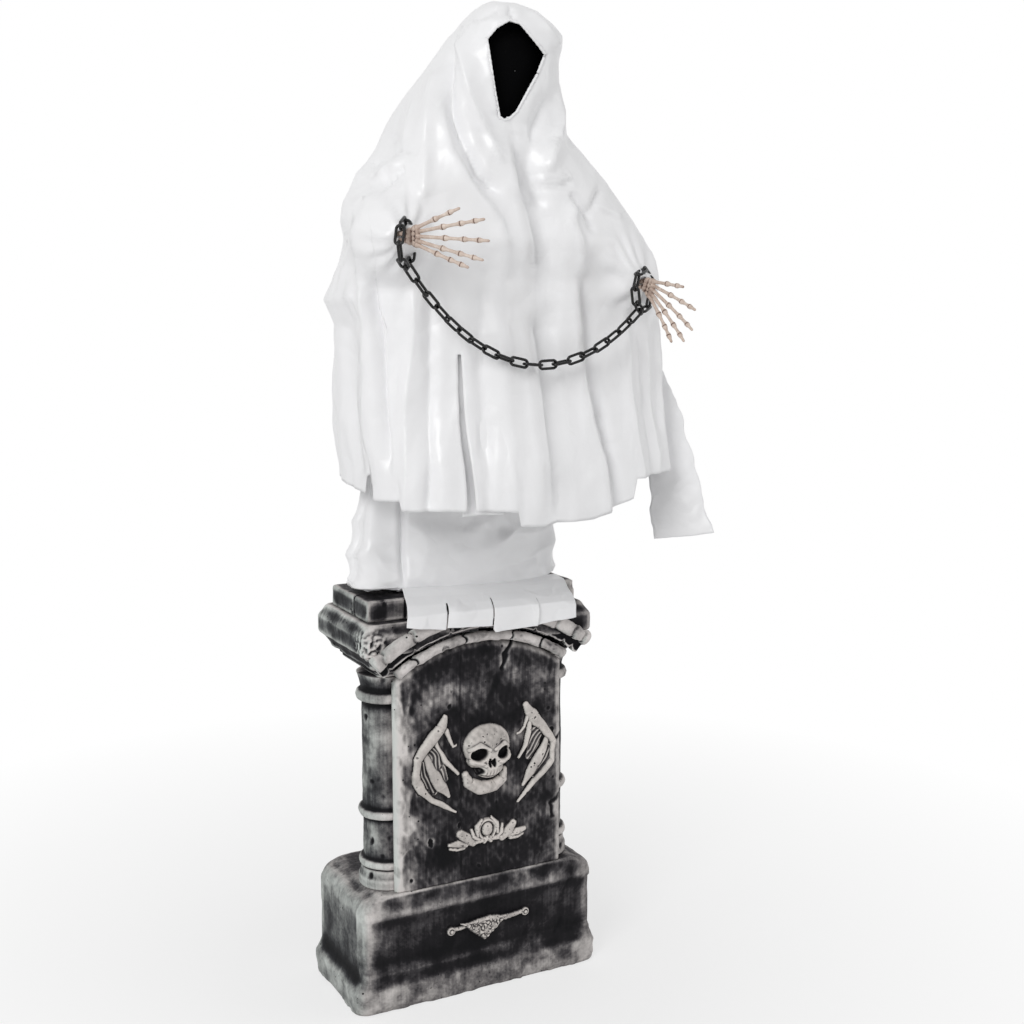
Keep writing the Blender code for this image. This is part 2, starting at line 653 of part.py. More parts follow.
def make_column(name, side):
    """Fat round column with a base, two rings and a capital."""
    low = PLINTH_TOP_Z + GAP
    ring_edge = (COLUMN_SHAFT_R + COLUMN_RING_R) / 2
    profile = [(COLUMN_RING_R, low), (COLUMN_RING_R, low + COLUMN_BASE_Z / 2),
               (ring_edge, low + COLUMN_BASE_Z)]
    for z in (COLUMN_LOW_RING_Z, COLUMN_MID_RING_Z, COLUMN_CAP_RING_Z):
        profile += [(COLUMN_SHAFT_R, low + z - COLUMN_RING_HALF_Z),
                    (COLUMN_RING_R, low + z - COLUMN_RING_HALF_Z / 2),
                    (COLUMN_RING_R, low + z + COLUMN_RING_HALF_Z / 2),
                    (COLUMN_SHAFT_R, low + z + COLUMN_RING_HALF_Z)]
    top = CORE_TOP_Z - GAP
    profile += [(COLUMN_SHAFT_R, top - COLUMN_RING_HALF_Z * 2), (ring_edge, top)]
    finish(name, turned((side * COLUMN_X, COLUMN_Y), profile, COLUMN_SIDES), stone(), smooth=True)


def make_cornice():
    """Hollow cornice with an arch cut out of its front wall."""
    low_x, low_y = CORNICE_HALF_X - CORNICE_TAPER, CORNICE_HALF_Y - CORNICE_TAPER
    step_x, step_y = low_x - CORNICE_LOW_STEP, low_y - CORNICE_LOW_STEP / 2
    outer = ((step_x, step_y, CORE_TOP_Z),
             (low_x, low_y, CORE_TOP_Z + CORNICE_LOW_STEP),
             (CORNICE_HALF_X, CORNICE_HALF_Y, CORNICE_SLAB_LOW_Z),
             (CORNICE_HALF_X, CORNICE_HALF_Y, CORNICE_SLAB_TOP_Z),
             (CORNICE_HALF_X - CORNICE_BEVEL, CORNICE_HALF_Y - CORNICE_BEVEL, CORNICE_TOP_Z))
    rings = [rounded_rectangle(x, y, CORNER_ROUND / 2, z) for x, y, z in outer]
    for z in (CORNICE_TOP_Z, CORNICE_TOP_Z - SHELL_WALL):
        rings.append(rounded_rectangle(CORNICE_HOLE_HALF_X, CORNICE_HOLE_HALF_Y,
                                       CORNER_ROUND / 2 - SHELL_WALL / 2, z))
    for x, y, z in reversed(outer):
        level = z - SHELL_WALL if z == CORNICE_TOP_Z else z
        rings.append(rounded_rectangle(x - SHELL_WALL, y - SHELL_WALL,
                                       CORNER_ROUND / 2 - SHELL_WALL / 2, level))
    cornice = finish("cornice", loft(rings, looped=True), stone())
    arch = cylinder((0, -CORNICE_HALF_Y - OVERRUN, ARCH_CENTRE_Z),
                    (0, CORE_FRONT_Y + GAP, ARCH_CENTRE_Z), ARCH_CUT_RADIUS, ARCH_STEPS * 4)
    combine(cornice, guide("cornice_arch", arch))


def arc_sweep(radius, y, section, half_angle):
    """Sweep (outwards, forwards) pairs along an arch over the panel."""
    rings = []
    for k in range(ARCH_STEPS + 1):
        angle = half_angle * (1 - 2 * k / ARCH_STEPS)
        rings.append([((radius + out) * math.sin(angle), y - forward,
                       ARCH_CENTRE_Z + (radius + out) * math.cos(angle))
                      for out, forward in section])
    return loft(rings)


def make_arch_mouldings():
    """Inner roll round the panel's head, and the outer roll with its cove."""
    roll = [(ARCH_INNER_ROLL * math.cos(k * math.pi / 4), ARCH_INNER_ROLL * math.sin(k * math.pi / 4))
            for k in range(8)]
    finish("arch_inner_roll",
           arc_sweep(ARCH_INNER_RADIUS, ARCH_INNER_Y, roll, ARCH_HALF_ANGLE), stone(), smooth=True)
    back = ARCH_COVE_WIDTH + ARCH_OUTER_ROLL
    outer = [(-back, 0.0), (-back, ARCH_COVE_DEPTH), (-ARCH_OUTER_ROLL, ARCH_COVE_DEPTH)]
    outer += [(-ARCH_OUTER_ROLL * math.cos(angle),
               ARCH_COVE_DEPTH + ARCH_OUTER_ROLL * math.sin(angle))
              for angle in (math.pi / 4, math.pi / 2, math.pi * 3 / 4)]
    outer += [(ARCH_OUTER_ROLL, ARCH_COVE_DEPTH), (ARCH_OUTER_ROLL, 0.0)]
    finish("arch_outer_moulding",
           arc_sweep(ARCH_OUTER_RADIUS, -CORNICE_HALF_Y - GAP, outer, ARCH_HALF_ANGLE),
           pale_stone(), smooth=True)


def make_top_block():
    """Block on the cornice, with a square hole for the mast."""
    low, high = CORNICE_TOP_Z + GAP, TOP_BLOCK_TOP_Z
    hole = MAST_HALF + OVERRUN / 4
    rings = [rounded_rectangle(x, y, r, z) for x, y, r, z in (
        (TOP_BLOCK_HALF_X, TOP_BLOCK_HALF_Y, TOP_BLOCK_EDGE, low),
        (TOP_BLOCK_HALF_X, TOP_BLOCK_HALF_Y, TOP_BLOCK_EDGE, high - TOP_BLOCK_EDGE),
        (TOP_BLOCK_HALF_X - TOP_BLOCK_EDGE, TOP_BLOCK_HALF_Y - TOP_BLOCK_EDGE,
         TOP_BLOCK_EDGE, high),
        (hole, hole, GAP, high), (hole, hole, GAP, low))]
    finish("top_block", loft(rings, looped=True), stone())


def relief(name, shares, left, width, low, height, front_y, depth, edge, mirrored=False):
    """A raised ornament with a softened front edge, on an upright face."""
    points = [(left + (width * (1 - u) if mirrored else width * u), low + height * v)
              for u, v in shares]
    if sum(a[0] * b[1] - b[0] * a[1] for a, b in zip(points, points[1:] + points[:1])) < 0:
        points.reverse()
    rings = [[(x, y, z) for x, z in ring]
             for ring, y in ((points, front_y - GAP), (points, front_y - GAP - depth + edge),
                             (offset(points, edge), front_y - GAP - depth))]
    return finish(name, loft(rings), pale_stone())


def ball(centre, radii, columns, rows):
    """An ellipsoid."""
    bm = bmesh.new()
    bmesh.ops.create_uvsphere(bm, u_segments=columns, v_segments=rows, radius=1.0)
    bmesh.ops.scale(bm, verts=bm.verts, vec=radii)
    bmesh.ops.translate(bm, verts=bm.verts, vec=centre)
    return bm


def make_skull():
    """Skull relief, domed forwards, with sunk eyes and nose."""
    centre_x, centre_z = SKULL_X, SKULL_LOW_Z + SKULL_HEIGHT / 2
    base = [(SKULL_X + SKULL_WIDTH * (u - 0.5), SKULL_LOW_Z + SKULL_HEIGHT * v)
            for u, v in SKULL_OUTLINE_SHARES]
    rings = []
    for rise_share in (0.0, 0.45, 0.78, 1.0):
        shrink = math.sqrt(1 - (rise_share * 0.9) ** 2)
        rings.append([(centre_x + (x - centre_x) * shrink,
                       PANEL_FRONT_Y - GAP - SKULL_DEPTH * rise_share,
                       centre_z + (z - centre_z) * shrink) for x, z in base])
    skull = finish("skull_relief", loft(rings), pale_stone(), smooth=True)
    front = PANEL_FRONT_Y - SKULL_DEPTH
    for name, dx_share, dz_share, radius in (
            ("left_socket", -0.20, 0.02, SOCKET_R), ("right_socket", 0.22, 0.02, SOCKET_R),
            ("nose", 0.02, -0.14, NOSE_R)):
        place = (centre_x + SKULL_WIDTH * dx_share, front, centre_z + SKULL_HEIGHT * dz_share)
        hollow = ball(place, (radius, radius, radius), 10, 6)
        combine(skull, guide("skull_" + name, hollow))


def make_ornaments():
    """Wings, shell flower and scroll, cast and fixed on the stone."""
    relief("wing_left", WING_OUTLINE_SHARES, SKULL_X - WING_OUTER_X, WING_WIDTH, WING_LOW_Z,
           WING_HEIGHT, PANEL_FRONT_Y, ORNAMENT_DEPTH, ORNAMENT_EDGE)
    relief("wing_right", WING_OUTLINE_SHARES, SKULL_X + WING_OUTER_X - WING_WIDTH, WING_WIDTH,
           WING_LOW_Z, WING_HEIGHT, PANEL_FRONT_Y, ORNAMENT_DEPTH, ORNAMENT_EDGE, mirrored=True)
    relief("shell_ornament", SHELL_OUTLINE_SHARES, SKULL_X - SHELL_ORNAMENT_WIDTH / 2,
           SHELL_ORNAMENT_WIDTH, SHELL_ORNAMENT_LOW_Z, SHELL_ORNAMENT_HEIGHT, PANEL_FRONT_Y,
           ORNAMENT_DEPTH, ORNAMENT_EDGE)
    relief("scroll_ornament", SCROLL_OUTLINE_SHARES, SKULL_X - SCROLL_WIDTH / 2, SCROLL_WIDTH,
           SCROLL_LOW_Z, SCROLL_HEIGHT, -PLINTH_HALF_Y, ORNAMENT_DEPTH, ORNAMENT_EDGE)


# Lift

def make_lift_channel():
    """Steel channel, open at the back, that holds the mast's guides."""
    inner_x = CHANNEL_HALF_X - SHEET_STEEL
    outline = ((-CHANNEL_HALF_X, CHANNEL_FRONT_Y), (CHANNEL_HALF_X, CHANNEL_FRONT_Y),
               (CHANNEL_HALF_X, CHANNEL_BACK_Y), (inner_x, CHANNEL_BACK_Y),
               (inner_x, CHANNEL_FRONT_Y + SHEET_STEEL), (-inner_x, CHANNEL_FRONT_Y + SHEET_STEEL),
               (-inner_x, CHANNEL_BACK_Y), (-CHANNEL_HALF_X, CHANNEL_BACK_Y))
    finish("lift_channel", prism(outline, "z", FLOOR_PLATE_THICK + GAP, CHANNEL_TOP_Z), steel())


def square_ring(half_x, low_y, high_y, hole, low, high):
    """A block with a square hole on the mast's axis."""
    outer = ((-half_x, low_y), (half_x, low_y), (half_x, high_y), (-half_x, high_y))
    inner = ((-hole, -hole), (hole, -hole), (hole, hole), (-hole, hole))
    rings = [[(x, y, z) for x, y in ring]
             for ring, z in ((outer, low), (outer, high), (inner, high), (inner, low))]
    return loft(rings, looped=True)


def make_guides():
    """Nylon blocks in the channel, in which the mast slides."""
    half_x = CHANNEL_HALF_X - SHEET_STEEL - GAP
    low_y = CHANNEL_FRONT_Y + SHEET_STEEL + GAP
    for name, z in (("low_guide", LOW_GUIDE_Z), ("top_guide", TOP_GUIDE_Z)):
        finish(name, square_ring(half_x, low_y, CHANNEL_BACK_Y, MAST_HALF + MAST_CLEARANCE,
                                 z, z + GUIDE_HEIGHT), nylon())


def make_mast():
    """Square steel tube that slides in the guides."""
    finish("mast_tube", square_ring(MAST_HALF, -MAST_HALF, MAST_HALF, MAST_HALF - MAST_WALL,
                                    MAST_BOTTOM_Z, MAST_TOP_Z), steel())


def make_rack():
    """Rack on the mast's back, in mesh with the pinion all along the travel."""
    pitch = math.pi * GEAR_MODULE
    slope = math.tan(GEAR_PRESSURE_ANGLE)
    half_tooth = (pitch / 2 - GEAR_BACKLASH / 2) / 2
    addendum = GEAR_MODULE * GEAR_ADDENDUM_SHARE
    dedendum = GEAR_MODULE * GEAR_DEDENDUM_SHARE
    below = math.ceil(RACK_END / pitch)
    above = math.ceil((LIFT_TRAVEL + RACK_END) / pitch)
    low, high = PINION_Z - (below + 0.5) * pitch, PINION_Z + (above + 0.5) * pitch
    outline = [(RACK_ROOT_Y - RACK_BASE, high), (RACK_ROOT_Y - RACK_BASE, low),
               (RACK_ROOT_Y, low)]
    for k in range(-below, above + 1):
        z = PINION_Z + k * pitch
        root = half_tooth + dedendum * slope
        tip = half_tooth - addendum * slope
        outline += [(RACK_ROOT_Y, z - root), (RACK_PITCH_Y + addendum, z - tip),
                    (RACK_PITCH_Y + addendum, z + tip), (RACK_ROOT_Y, z + root)]
    outline.append((RACK_ROOT_Y, high))
    finish("rack", prism(outline, "x", -GEAR_WIDTH / 2, GEAR_WIDTH / 2), steel())


def involute(angle):
    return math.tan(angle) - angle


def make_pinion():
    """Spur pinion with involute teeth on its motor shaft."""
    base_r = GEAR_PITCH_R * math.cos(GEAR_PRESSURE_ANGLE)
    root_r = GEAR_PITCH_R - GEAR_MODULE * GEAR_DEDENDUM_SHARE
    tip_r = GEAR_PITCH_R + GEAR_MODULE * GEAR_ADDENDUM_SHARE
    half_pitch_angle = (math.pi * GEAR_MODULE / 2 - GEAR_BACKLASH / 2) / (2 * GEAR_PITCH_R)
    flank = []
    for step_share in (0.0, 0.35, 0.7, 1.0):
        radius = base_r + (tip_r - base_r) * step_share
        half = (half_pitch_angle + involute(GEAR_PRESSURE_ANGLE)
                - involute(math.acos(base_r / radius)))
        flank.append((radius, half))
    flank.insert(0, (root_r, flank[0][1]))
    outline = []
    for tooth in range(GEAR_TEETH):
        middle = 2 * math.pi * (tooth + 0.5) / GEAR_TEETH
        outline += [(radius, middle - half) for radius, half in flank]
        outline += [(radius, middle + half) for radius, half in reversed(flank)]
    points = [(PINION_Y - radius * math.cos(angle), PINION_Z + radius * math.sin(angle))
              for radius, angle in outline]
    centre = (0.0, PINION_Y, PINION_Z)
    gear = finish("lift_pinion", prism(points, "x", -GEAR_WIDTH / 2, GEAR_WIDTH / 2), nylon(),
                  origin=centre)
    shaft = cylinder((-GEAR_WIDTH, PINION_Y, PINION_Z),
                     (CHANNEL_HALF_X + GAP + SHEET_STEEL, PINION_Y, PINION_Z), PINION_SHAFT_R, 12)
    combine(gear, guide("pinion_shaft", shaft), "UNION")


def make_lift_motor():
    """Gear motor and the bracket that holds it on the channel's side."""
    low_x = CHANNEL_HALF_X + GAP
    high_x = low_x + SHEET_STEEL
    bracket = finish("motor_bracket", box(
        (low_x, CHANNEL_FRONT_Y, PINION_Z - BRACKET_HALF_Z),
        (high_x, PINION_Y + BRACKET_BACK, PINION_Z + BRACKET_HALF_Z)), steel())
    hole = cylinder((low_x - OVERRUN, PINION_Y, PINION_Z), (high_x + OVERRUN, PINION_Y, PINION_Z),
                    PINION_SHAFT_R + SHEET_STEEL / 2, 16)
    combine(bracket, guide("bracket_hole", hole))
    start = high_x + GAP
    middle = start + MOTOR_GEARBOX_LENGTH
    end = start + MOTOR_LENGTH
    along = ((start, MOTOR_R), (middle, MOTOR_R), (middle + GAP, MOTOR_CAN_R),
             (end - SHEET_STEEL, MOTOR_CAN_R), (end, MOTOR_CAN_R - SHEET_STEEL))
    rings = [circle((x, PINION_Y, PINION_Z), radius, 20, (0, 1, 0), (0, 0, 1))
             for x, radius in along]
    finish("lift_motor", loft(rings), steel(), smooth=True)


# Battery box, door and switch

def door_half_x():
    return BATTERY_HALF_X - DOOR_EDGE


def door_top_z():
    return BATTERY_TOP_Z - DOOR_EDGE


def make_battery_box():
    """Open tray for the batteries, behind the plinth's back wall."""
    back = PLINTH_HALF_Y - SHELL_WALL - GAP
    low, high = BATTERY_LOW_Z, BATTERY_TOP_Z
    rings = []
    for inset, y in ((0.0, back - BATTERY_DEPTH), (0.0, back), (BATTERY_WALL, back),
                     (BATTERY_WALL, back - BATTERY_DEPTH + BATTERY_WALL)):
        half_x = BATTERY_HALF_X - inset
        rings.append(((-half_x, y, low + inset), (half_x, y, low + inset),
                      (half_x, y, high - inset), (-half_x, y, high - inset)))
    finish("battery_box", loft(rings), black_plastic())


def make_battery_door():
    """Hinged door in the back wall, with its barrel and pin."""
    pivot = (0.0, DOOR_HINGE_Y, DOOR_HINGE_Z)
    half_x = door_half_x()
    outer = PLINTH_HALF_Y + GAP
    door = finish("battery_door", box((-half_x, outer - DOOR_THICK, DOOR_HINGE_Z + DOOR_CLEARANCE),
                                      (half_x, outer, door_top_z())),
                  stone(), origin=pivot)
    barrel = cylinder((-DOOR_BARREL_HALF_X, DOOR_HINGE_Y, DOOR_HINGE_Z),
                      (DOOR_BARREL_HALF_X, DOOR_HINGE_Y, DOOR_HINGE_Z), DOOR_HINGE_R, 12)
    combine(door, guide("door_barrel", barrel), "UNION")
    reach = DOOR_BARREL_HALF_X + OVERRUN
    bore = cylinder((-reach, DOOR_HINGE_Y, DOOR_HINGE_Z), (reach, DOOR_HINGE_Y, DOOR_HINGE_Z),
                    DOOR_HINGE_PIN_R + GAP, 12)
    combine(door, guide("door_bore", bore))
    end = DOOR_BARREL_HALF_X + DOOR_EAR_WIDTH
    finish("door_hinge_pin", cylinder((-end, DOOR_HINGE_Y, DOOR_HINGE_Z),
                                      (end, DOOR_HINGE_Y, DOOR_HINGE_Z), DOOR_HINGE_PIN_R, 12),
           steel())


def make_switch():
    """Slide switch: escutcheon, body behind the wall and knob."""
    face = PLINTH_HALF_Y + GAP
    plate = finish("switch_plate", box(
        (SWITCH_X - SWITCH_PLATE_HALF_X, face, SWITCH_Z - SWITCH_PLATE_HALF_Z),
        (SWITCH_X + SWITCH_PLATE_HALF_X, face + SWITCH_PLATE_THICK, SWITCH_Z + SWITCH_PLATE_HALF_Z)),
        black_plastic())
    slot = box((SWITCH_X - SWITCH_SLOT_HALF_X, face - OVERRUN, SWITCH_Z - SWITCH_SLOT_HALF_Z),
               (SWITCH_X + SWITCH_SLOT_HALF_X, face + OVERRUN, SWITCH_Z + SWITCH_SLOT_HALF_Z))
    combine(plate, guide("switch_plate_slot", slot))
    back = PLINTH_HALF_Y - SHELL_WALL - GAP
    finish("switch_body", box(
        (SWITCH_X - SWITCH_PLATE_HALF_X / 2, back - SWITCH_BODY_DEPTH,
         SWITCH_Z - SWITCH_PLATE_HALF_Z / 2),
        (SWITCH_X + SWITCH_PLATE_HALF_X / 2, back, SWITCH_Z + SWITCH_PLATE_HALF_Z / 2)),
        black_plastic())
    top = SWITCH_Z + SWITCH_SLOT_HALF_Z - GAP
    knob_half_x = SWITCH_SLOT_HALF_X - GAP
    low = (SWITCH_X - knob_half_x, back + GAP, top - 2 * SWITCH_KNOB_HALF_Z)
    high = (SWITCH_X + knob_half_x, face + SWITCH_PLATE_THICK + SWITCH_KNOB_OUT, top)
    finish("switch_knob", box(low, high), material("red_plastic", (0.5, 0.03, 0.02), 0.4),
           origin=(SWITCH_X, face, top - SWITCH_KNOB_HALF_Z))


def make_control_board():
    """Circuit board on a post on the floor plate."""
    low = FLOOR_PLATE_THICK + GAP
    post_top = low + STANDOFF_HEIGHT
    board = finish("control_board", box(
        (CONTROL_BOARD_X - CONTROL_BOARD_HALF_X, -CONTROL_BOARD_HALF_Y, post_top),
        (CONTROL_BOARD_X + CONTROL_BOARD_HALF_X, CONTROL_BOARD_HALF_Y,
         post_top + CONTROL_BOARD_THICK)),
        material("circuit_board", (0.03, 0.2, 0.08), 0.5))
    posts = cylinder((CONTROL_BOARD_X, 0.0, low),
                     (CONTROL_BOARD_X, 0.0, post_top + CONTROL_BOARD_THICK / 2), STANDOFF_R, 10)
    combine(board, guide("board_post", posts), "UNION")


# Turning head and the ghost's frame

def oval(half_x, half_y, centre, z, sides, fold=0.0, folds=1, squareness=1.0):
    """A level oval whose edge may swing in and out in folds."""
    ring = []
    for k in range(sides):
        angle = 2 * math.pi * k / sides
        cos, sin = math.cos(angle), math.sin(angle)
        wave = fold * math.cos(folds * angle)
        ring.append((centre[0] + math.copysign(abs(cos) ** squareness, cos) * (half_x + wave),
                     centre[1] + math.copysign(abs(sin) ** squareness, sin) * (half_y + wave), z))
    return ring


def make_skirt_hoop():
    """Flat hoop on the mast that the underskirt is tied to."""
    high = HOOP_Z + HOOP_THICK
    rings = [oval(HOOP_HALF_X, HOOP_HALF_Y, (0, 0), z, HOOP_SIDES) for z in (HOOP_Z, high)]
    for z in (high, HOOP_Z):
        hole = []
        for x, y, _ in oval(1, 1, (0, 0), z, HOOP_SIDES):
            reach = (MAST_HALF + GAP) / max(abs(x), abs(y))
            hole.append((x * reach, y * reach, z))
        rings.append(hole)
    finish("skirt_hoop", loft(rings, looped=True), black_plastic())


def make_turn_motor():
    """Turning motor on the mast's top, with its shaft."""
    low, high = TURN_MOTOR_Z, TURN_MOTOR_Z + TURN_MOTOR_HEIGHT
    profile = ((TURN_MOTOR_R - SHEET_STEEL, low), (TURN_MOTOR_R, low + SHEET_STEEL),
               (TURN_MOTOR_R, high), (TURN_SHAFT_R, high), (TURN_SHAFT_R, high + TURN_SHAFT_HEIGHT))
    finish("turn_motor", turned((0, 0), profile, 20), steel(), smooth=True)


def make_turn_hub():
    """Hub on the turning motor's shaft."""
    top = HUB_Z + HUB_HEIGHT
    sides = 20
    bore = TURN_SHAFT_R + GAP
    bore_top = HUB_Z + TURN_SHAFT_HEIGHT
    rings = [circle((0, 0, z), radius, sides, (1, 0, 0), (0, 1, 0)) for radius, z in (
        (bore, bore_top), (bore, HUB_Z), (HUB_R, HUB_Z), (HUB_R, top - SHEET_STEEL),
        (HUB_R - SHEET_STEEL, top))]
    finish("turn_hub", loft(rings), black_plastic(), smooth=True)


def spine_point(z):
    """The spine bends forwards towards the head."""
    share = (z - SPINE_Z) / (SPINE_TOP_Z - SPINE_Z)
    return Vector((0.0, -SPINE_LEAN * share ** 2, z))


def spine_normal(z):
    share = (z - SPINE_Z) / (SPINE_TOP_Z - SPINE_Z)
    slope = 2 * SPINE_LEAN * share / (SPINE_TOP_Z - SPINE_Z)
    return Vector((0.0, -1.0, -slope)).normalized()


def make_spine():
    """Bent tube from the hub into the head."""
    points = [(0, 0, SPINE_Z), (0, 0, SPINE_Z + SPINE_R)]
    points += [spine_point(SPINE_Z + (SPINE_TOP_Z - SPINE_Z) * k / SPINE_STEPS)
               for k in range(1, SPINE_STEPS + 1)]
    points.append(points[-1] + neck_direction() * NECK_LENGTH)
    finish("spine", tube(points, [SPINE_R] * len(points), 12), steel(), smooth=True)


def neck_direction():
    """The neck carries on straight from the spine's last stretch."""
    before = spine_point(SPINE_TOP_Z - (SPINE_TOP_Z - SPINE_Z) / SPINE_STEPS)
    return (spine_point(SPINE_TOP_Z) - before).normalized()


def shoulder_centre():
    """The bar lies against the front of the spine."""
    return spine_point(SHOULDER_Z) + spine_normal(SHOULDER_Z) * (SPINE_R + SHOULDER_R + GAP)


def make_shoulder_bar():
    """Level tube across the spine."""
    centre = shoulder_centre()
    reach = Vector((SHOULDER_HALF_X, 0, 0))
    finish("shoulder_bar", cylinder(centre - reach, centre + reach, SHOULDER_R, 12), steel(),
           smooth=True)


def wrist(side):
    """Where the hand's carpals begin; side is -1 on the viewer's left."""
    if side < 0:
        return Vector((-WRIST_X + LEFT_WRIST_SHIFT, WRIST_Y, LEFT_WRIST_Z))
    return Vector((WRIST_X + RIGHT_WRIST_SHIFT, WRIST_Y, RIGHT_WRIST_Z))


def turned_forward(turn):
    """Unit vector forwards, turned by an angle towards the viewer's right."""
    return Vector((math.sin(turn), -math.cos(turn), 0))


def hand_forward(side):
    """Unit vector along the forearm."""
    return turned_forward(LEFT_HAND_TURN if side < 0 else RIGHT_HAND_TURN)


def make_arm(name, side):
    """Bent tube from the shoulder bar's end to the wrist."""
    outward, forward = Vector((side, 0, 0)), hand_forward(side)
    start = shoulder_centre() + outward * (SHOULDER_HALF_X + GAP)
    end = wrist(side) - forward * (WRIST_LENGTH + GAP)
    elbow = Vector((start.x + side * ELBOW_OUT, start.y - ELBOW_FORWARD,
                    start.z + (end.z - start.z) * ELBOW_DROP_SHARE))
    first, last = start + outward * ARM_R, end - forward * ARM_R
    controls = [first, start + outward * ELBOW_OUT / 2, elbow, end - forward * ELBOW_OUT / 2, last]
    points = [start]
    for k in range(ARM_STEPS + 1):
        layer = list(controls)
        while len(layer) > 1:
            layer = [a.lerp(b, k / ARM_STEPS) for a, b in zip(layer, layer[1:])]
        points.append(layer[0])
    points.append(end)
    finish(name, tube(points, [ARM_R] * len(points), 10), steel(), smooth=True)


def finger_points(start, forward, up, length, fan, curl_to):
    """Joints of one finger: fanned in the hand's plane, curled at its joints."""
    points = []
    for share in BONE_SHARES:
        bend = FINGER_CURL * share
        along = forward * math.cos(fan) + up * math.sin(fan)
        points.append(start + along * (length * share * math.cos(bend))
                      + curl_to * (length * share * math.sin(bend) / 2))
    return points


def bone_tube(points):
    """A run of bones: thin shafts between knobs at the joints."""
    path, radii = [], []
    for k, (first, second) in enumerate(zip(points, points[1:])):
        for share, swell in ((0.0, FINGER_KNOB_SHARE), (0.25, 1.0), (0.75, 0.9)):
            path.append(first.lerp(second, share))
            radii.append(FINGER_R * swell)
    path.append(points[-1])
    radii.append(FINGER_R * FINGER_TIP_SHARE)
    return tube(path, radii, FINGER_SIDES)


def make_hand(name, side):
    """Skeleton hand: wrist, carpals and five rays of bones in one moulding."""
    centre = wrist(side)
    level = hand_forward(side)
    droop = LEFT_HAND_DROOP if side < 0 else RIGHT_HAND_DROOP
    up = Vector((0, 0, 1))
    forward = level * math.cos(droop) - up * math.sin(droop)
    rise = up * math.cos(droop) + level * math.sin(droop)
    inward = forward.cross(rise) * side
    start = centre - level * WRIST_LENGTH
    stub = tube([centre + level * WRIST_LENGTH * share for share in WRIST_PLACE_SHARES],
                [WRIST_R * share for share in WRIST_SWELL_SHARES], 16)
    hand = finish(name, stub, bone(), smooth=True)
    carpals = ball((0, 0, 0), (PALM_LENGTH * 0.55, PALM_HALF_THICK, PALM_HALF_HEIGHT), 10, 6)
    turn = Matrix((forward, inward, rise)).transposed().to_4x4()
    bmesh.ops.transform(carpals, matrix=Matrix.Translation(centre + forward * PALM_LENGTH / 2) @ turn,
                        verts=carpals.verts)
    combine(hand, guide(name + "_carpals", carpals), "UNION")
    fans = LEFT_FAN if side < 0 else RIGHT_FAN
    for k, (fan, length) in enumerate(zip(fans, FINGER_LENGTHS)):
        place = (2 - k) / 2 * PALM_HALF_HEIGHT * 0.75
        root = centre + forward * PALM_LENGTH * 0.45 + rise * place
        ray = bone_tube(finger_points(root, forward, rise, length, fan, inward))
        combine(hand, guide("%s_ray_%d" % (name, k), ray), "UNION")


# Chain

def link_path():
    """Middle line of one link, long way along X, in the XY plane."""
    radius = LINK_WIDTH / 2 - LINK_WIRE_R
    straight = LINK_LENGTH / 2 - LINK_WIDTH / 2
    reach = radius / math.cos(math.pi / LINK_BEND_STEPS / 2)
    path = []
    for end in (1, -1):
        for k in range(LINK_BEND_STEPS + 1):
            angle = -math.pi / 2 + math.pi * k / LINK_BEND_STEPS
            path.append(Vector((end * (straight + reach * math.cos(angle)),
                                end * radius * math.sin(angle), 0)))
    return path


def link_body(centre, along, across):
    """One link, placed by its long direction and its wide direction."""
    along, across = Vector(along).normalized(), Vector(across)
    across = (across - along * across.dot(along)).normalized()
    points = [Vector(centre) + along * p.x + across * p.y for p in link_path()]
    return tube(points, [LINK_WIRE_R] * len(points), LINK_SIDES, looped=True, side=across)


def loop_radius():
    """Radius at the middles of a wrist loop's links, drawn up tight."""
    step = 2 * math.pi / LOOP_LINKS
    past_corner = (2 * LINK_WIRE_R - LOOP_FUSE) / (1 + math.cos(step))
    return (LINK_LENGTH / 2 - LINK_WIRE_R - past_corner) / math.tan(step / 2)


def loop_centre(side):
    """The loop hangs on the wrist by its upper flat links."""
    first = LEFT_LOOP_ANGLE if side < 0 else RIGHT_LOOP_ANGLE
    lift = max(math.sin(first + k * 4 * math.pi / LOOP_LINKS) for k in range(LOOP_LINKS // 2))
    inner = loop_radius() - LINK_WIDTH / 2
    drop = Vector((0, 0, (inner - WRIST_R - LOOP_EASE) / lift))
    return wrist(side) - hand_forward(side) * LOOP_SETBACK - drop


def loop_out(side, angle):
    """Unit vector from the loop's middle, in the loop's own turned plane."""
    turn = LEFT_LOOP_TURN if side < 0 else RIGHT_LOOP_TURN
    return Vector((math.cos(angle) * math.cos(turn), math.cos(angle) * math.sin(turn),
                   math.sin(angle)))


def chain_end(side):
    """Middle of the wire in the wrist loop that the hanging chain hooks on."""
    angle = LEFT_LOOP_ANGLE if side < 0 else RIGHT_LOOP_ANGLE
    reach = loop_radius() + LINK_WIDTH / 2 - LINK_WIRE_R
    return loop_centre(side) + loop_out(side, angle) * reach


def make_wrist_loop(name, side):
    """Closed loop of links round one wrist, drawn tight so that they touch."""
    first = LEFT_LOOP_ANGLE if side < 0 else RIGHT_LOOP_ANGLE
    centre = loop_centre(side)
    made = None
    for k in range(LOOP_LINKS):
        angle = first + 2 * math.pi * k / LOOP_LINKS
        out = loop_out(side, angle)
        along = loop_out(side, angle + math.pi / 2)
        across = out if k % 2 == 0 else out.cross(along)
        body = link_body(centre + out * loop_radius(), along, across)
        if made is None:
            made = finish(name, body, black_plastic(), smooth=True)
        else:
            combine(made, guide("%s_link_%d" % (name, k), body), "UNION")


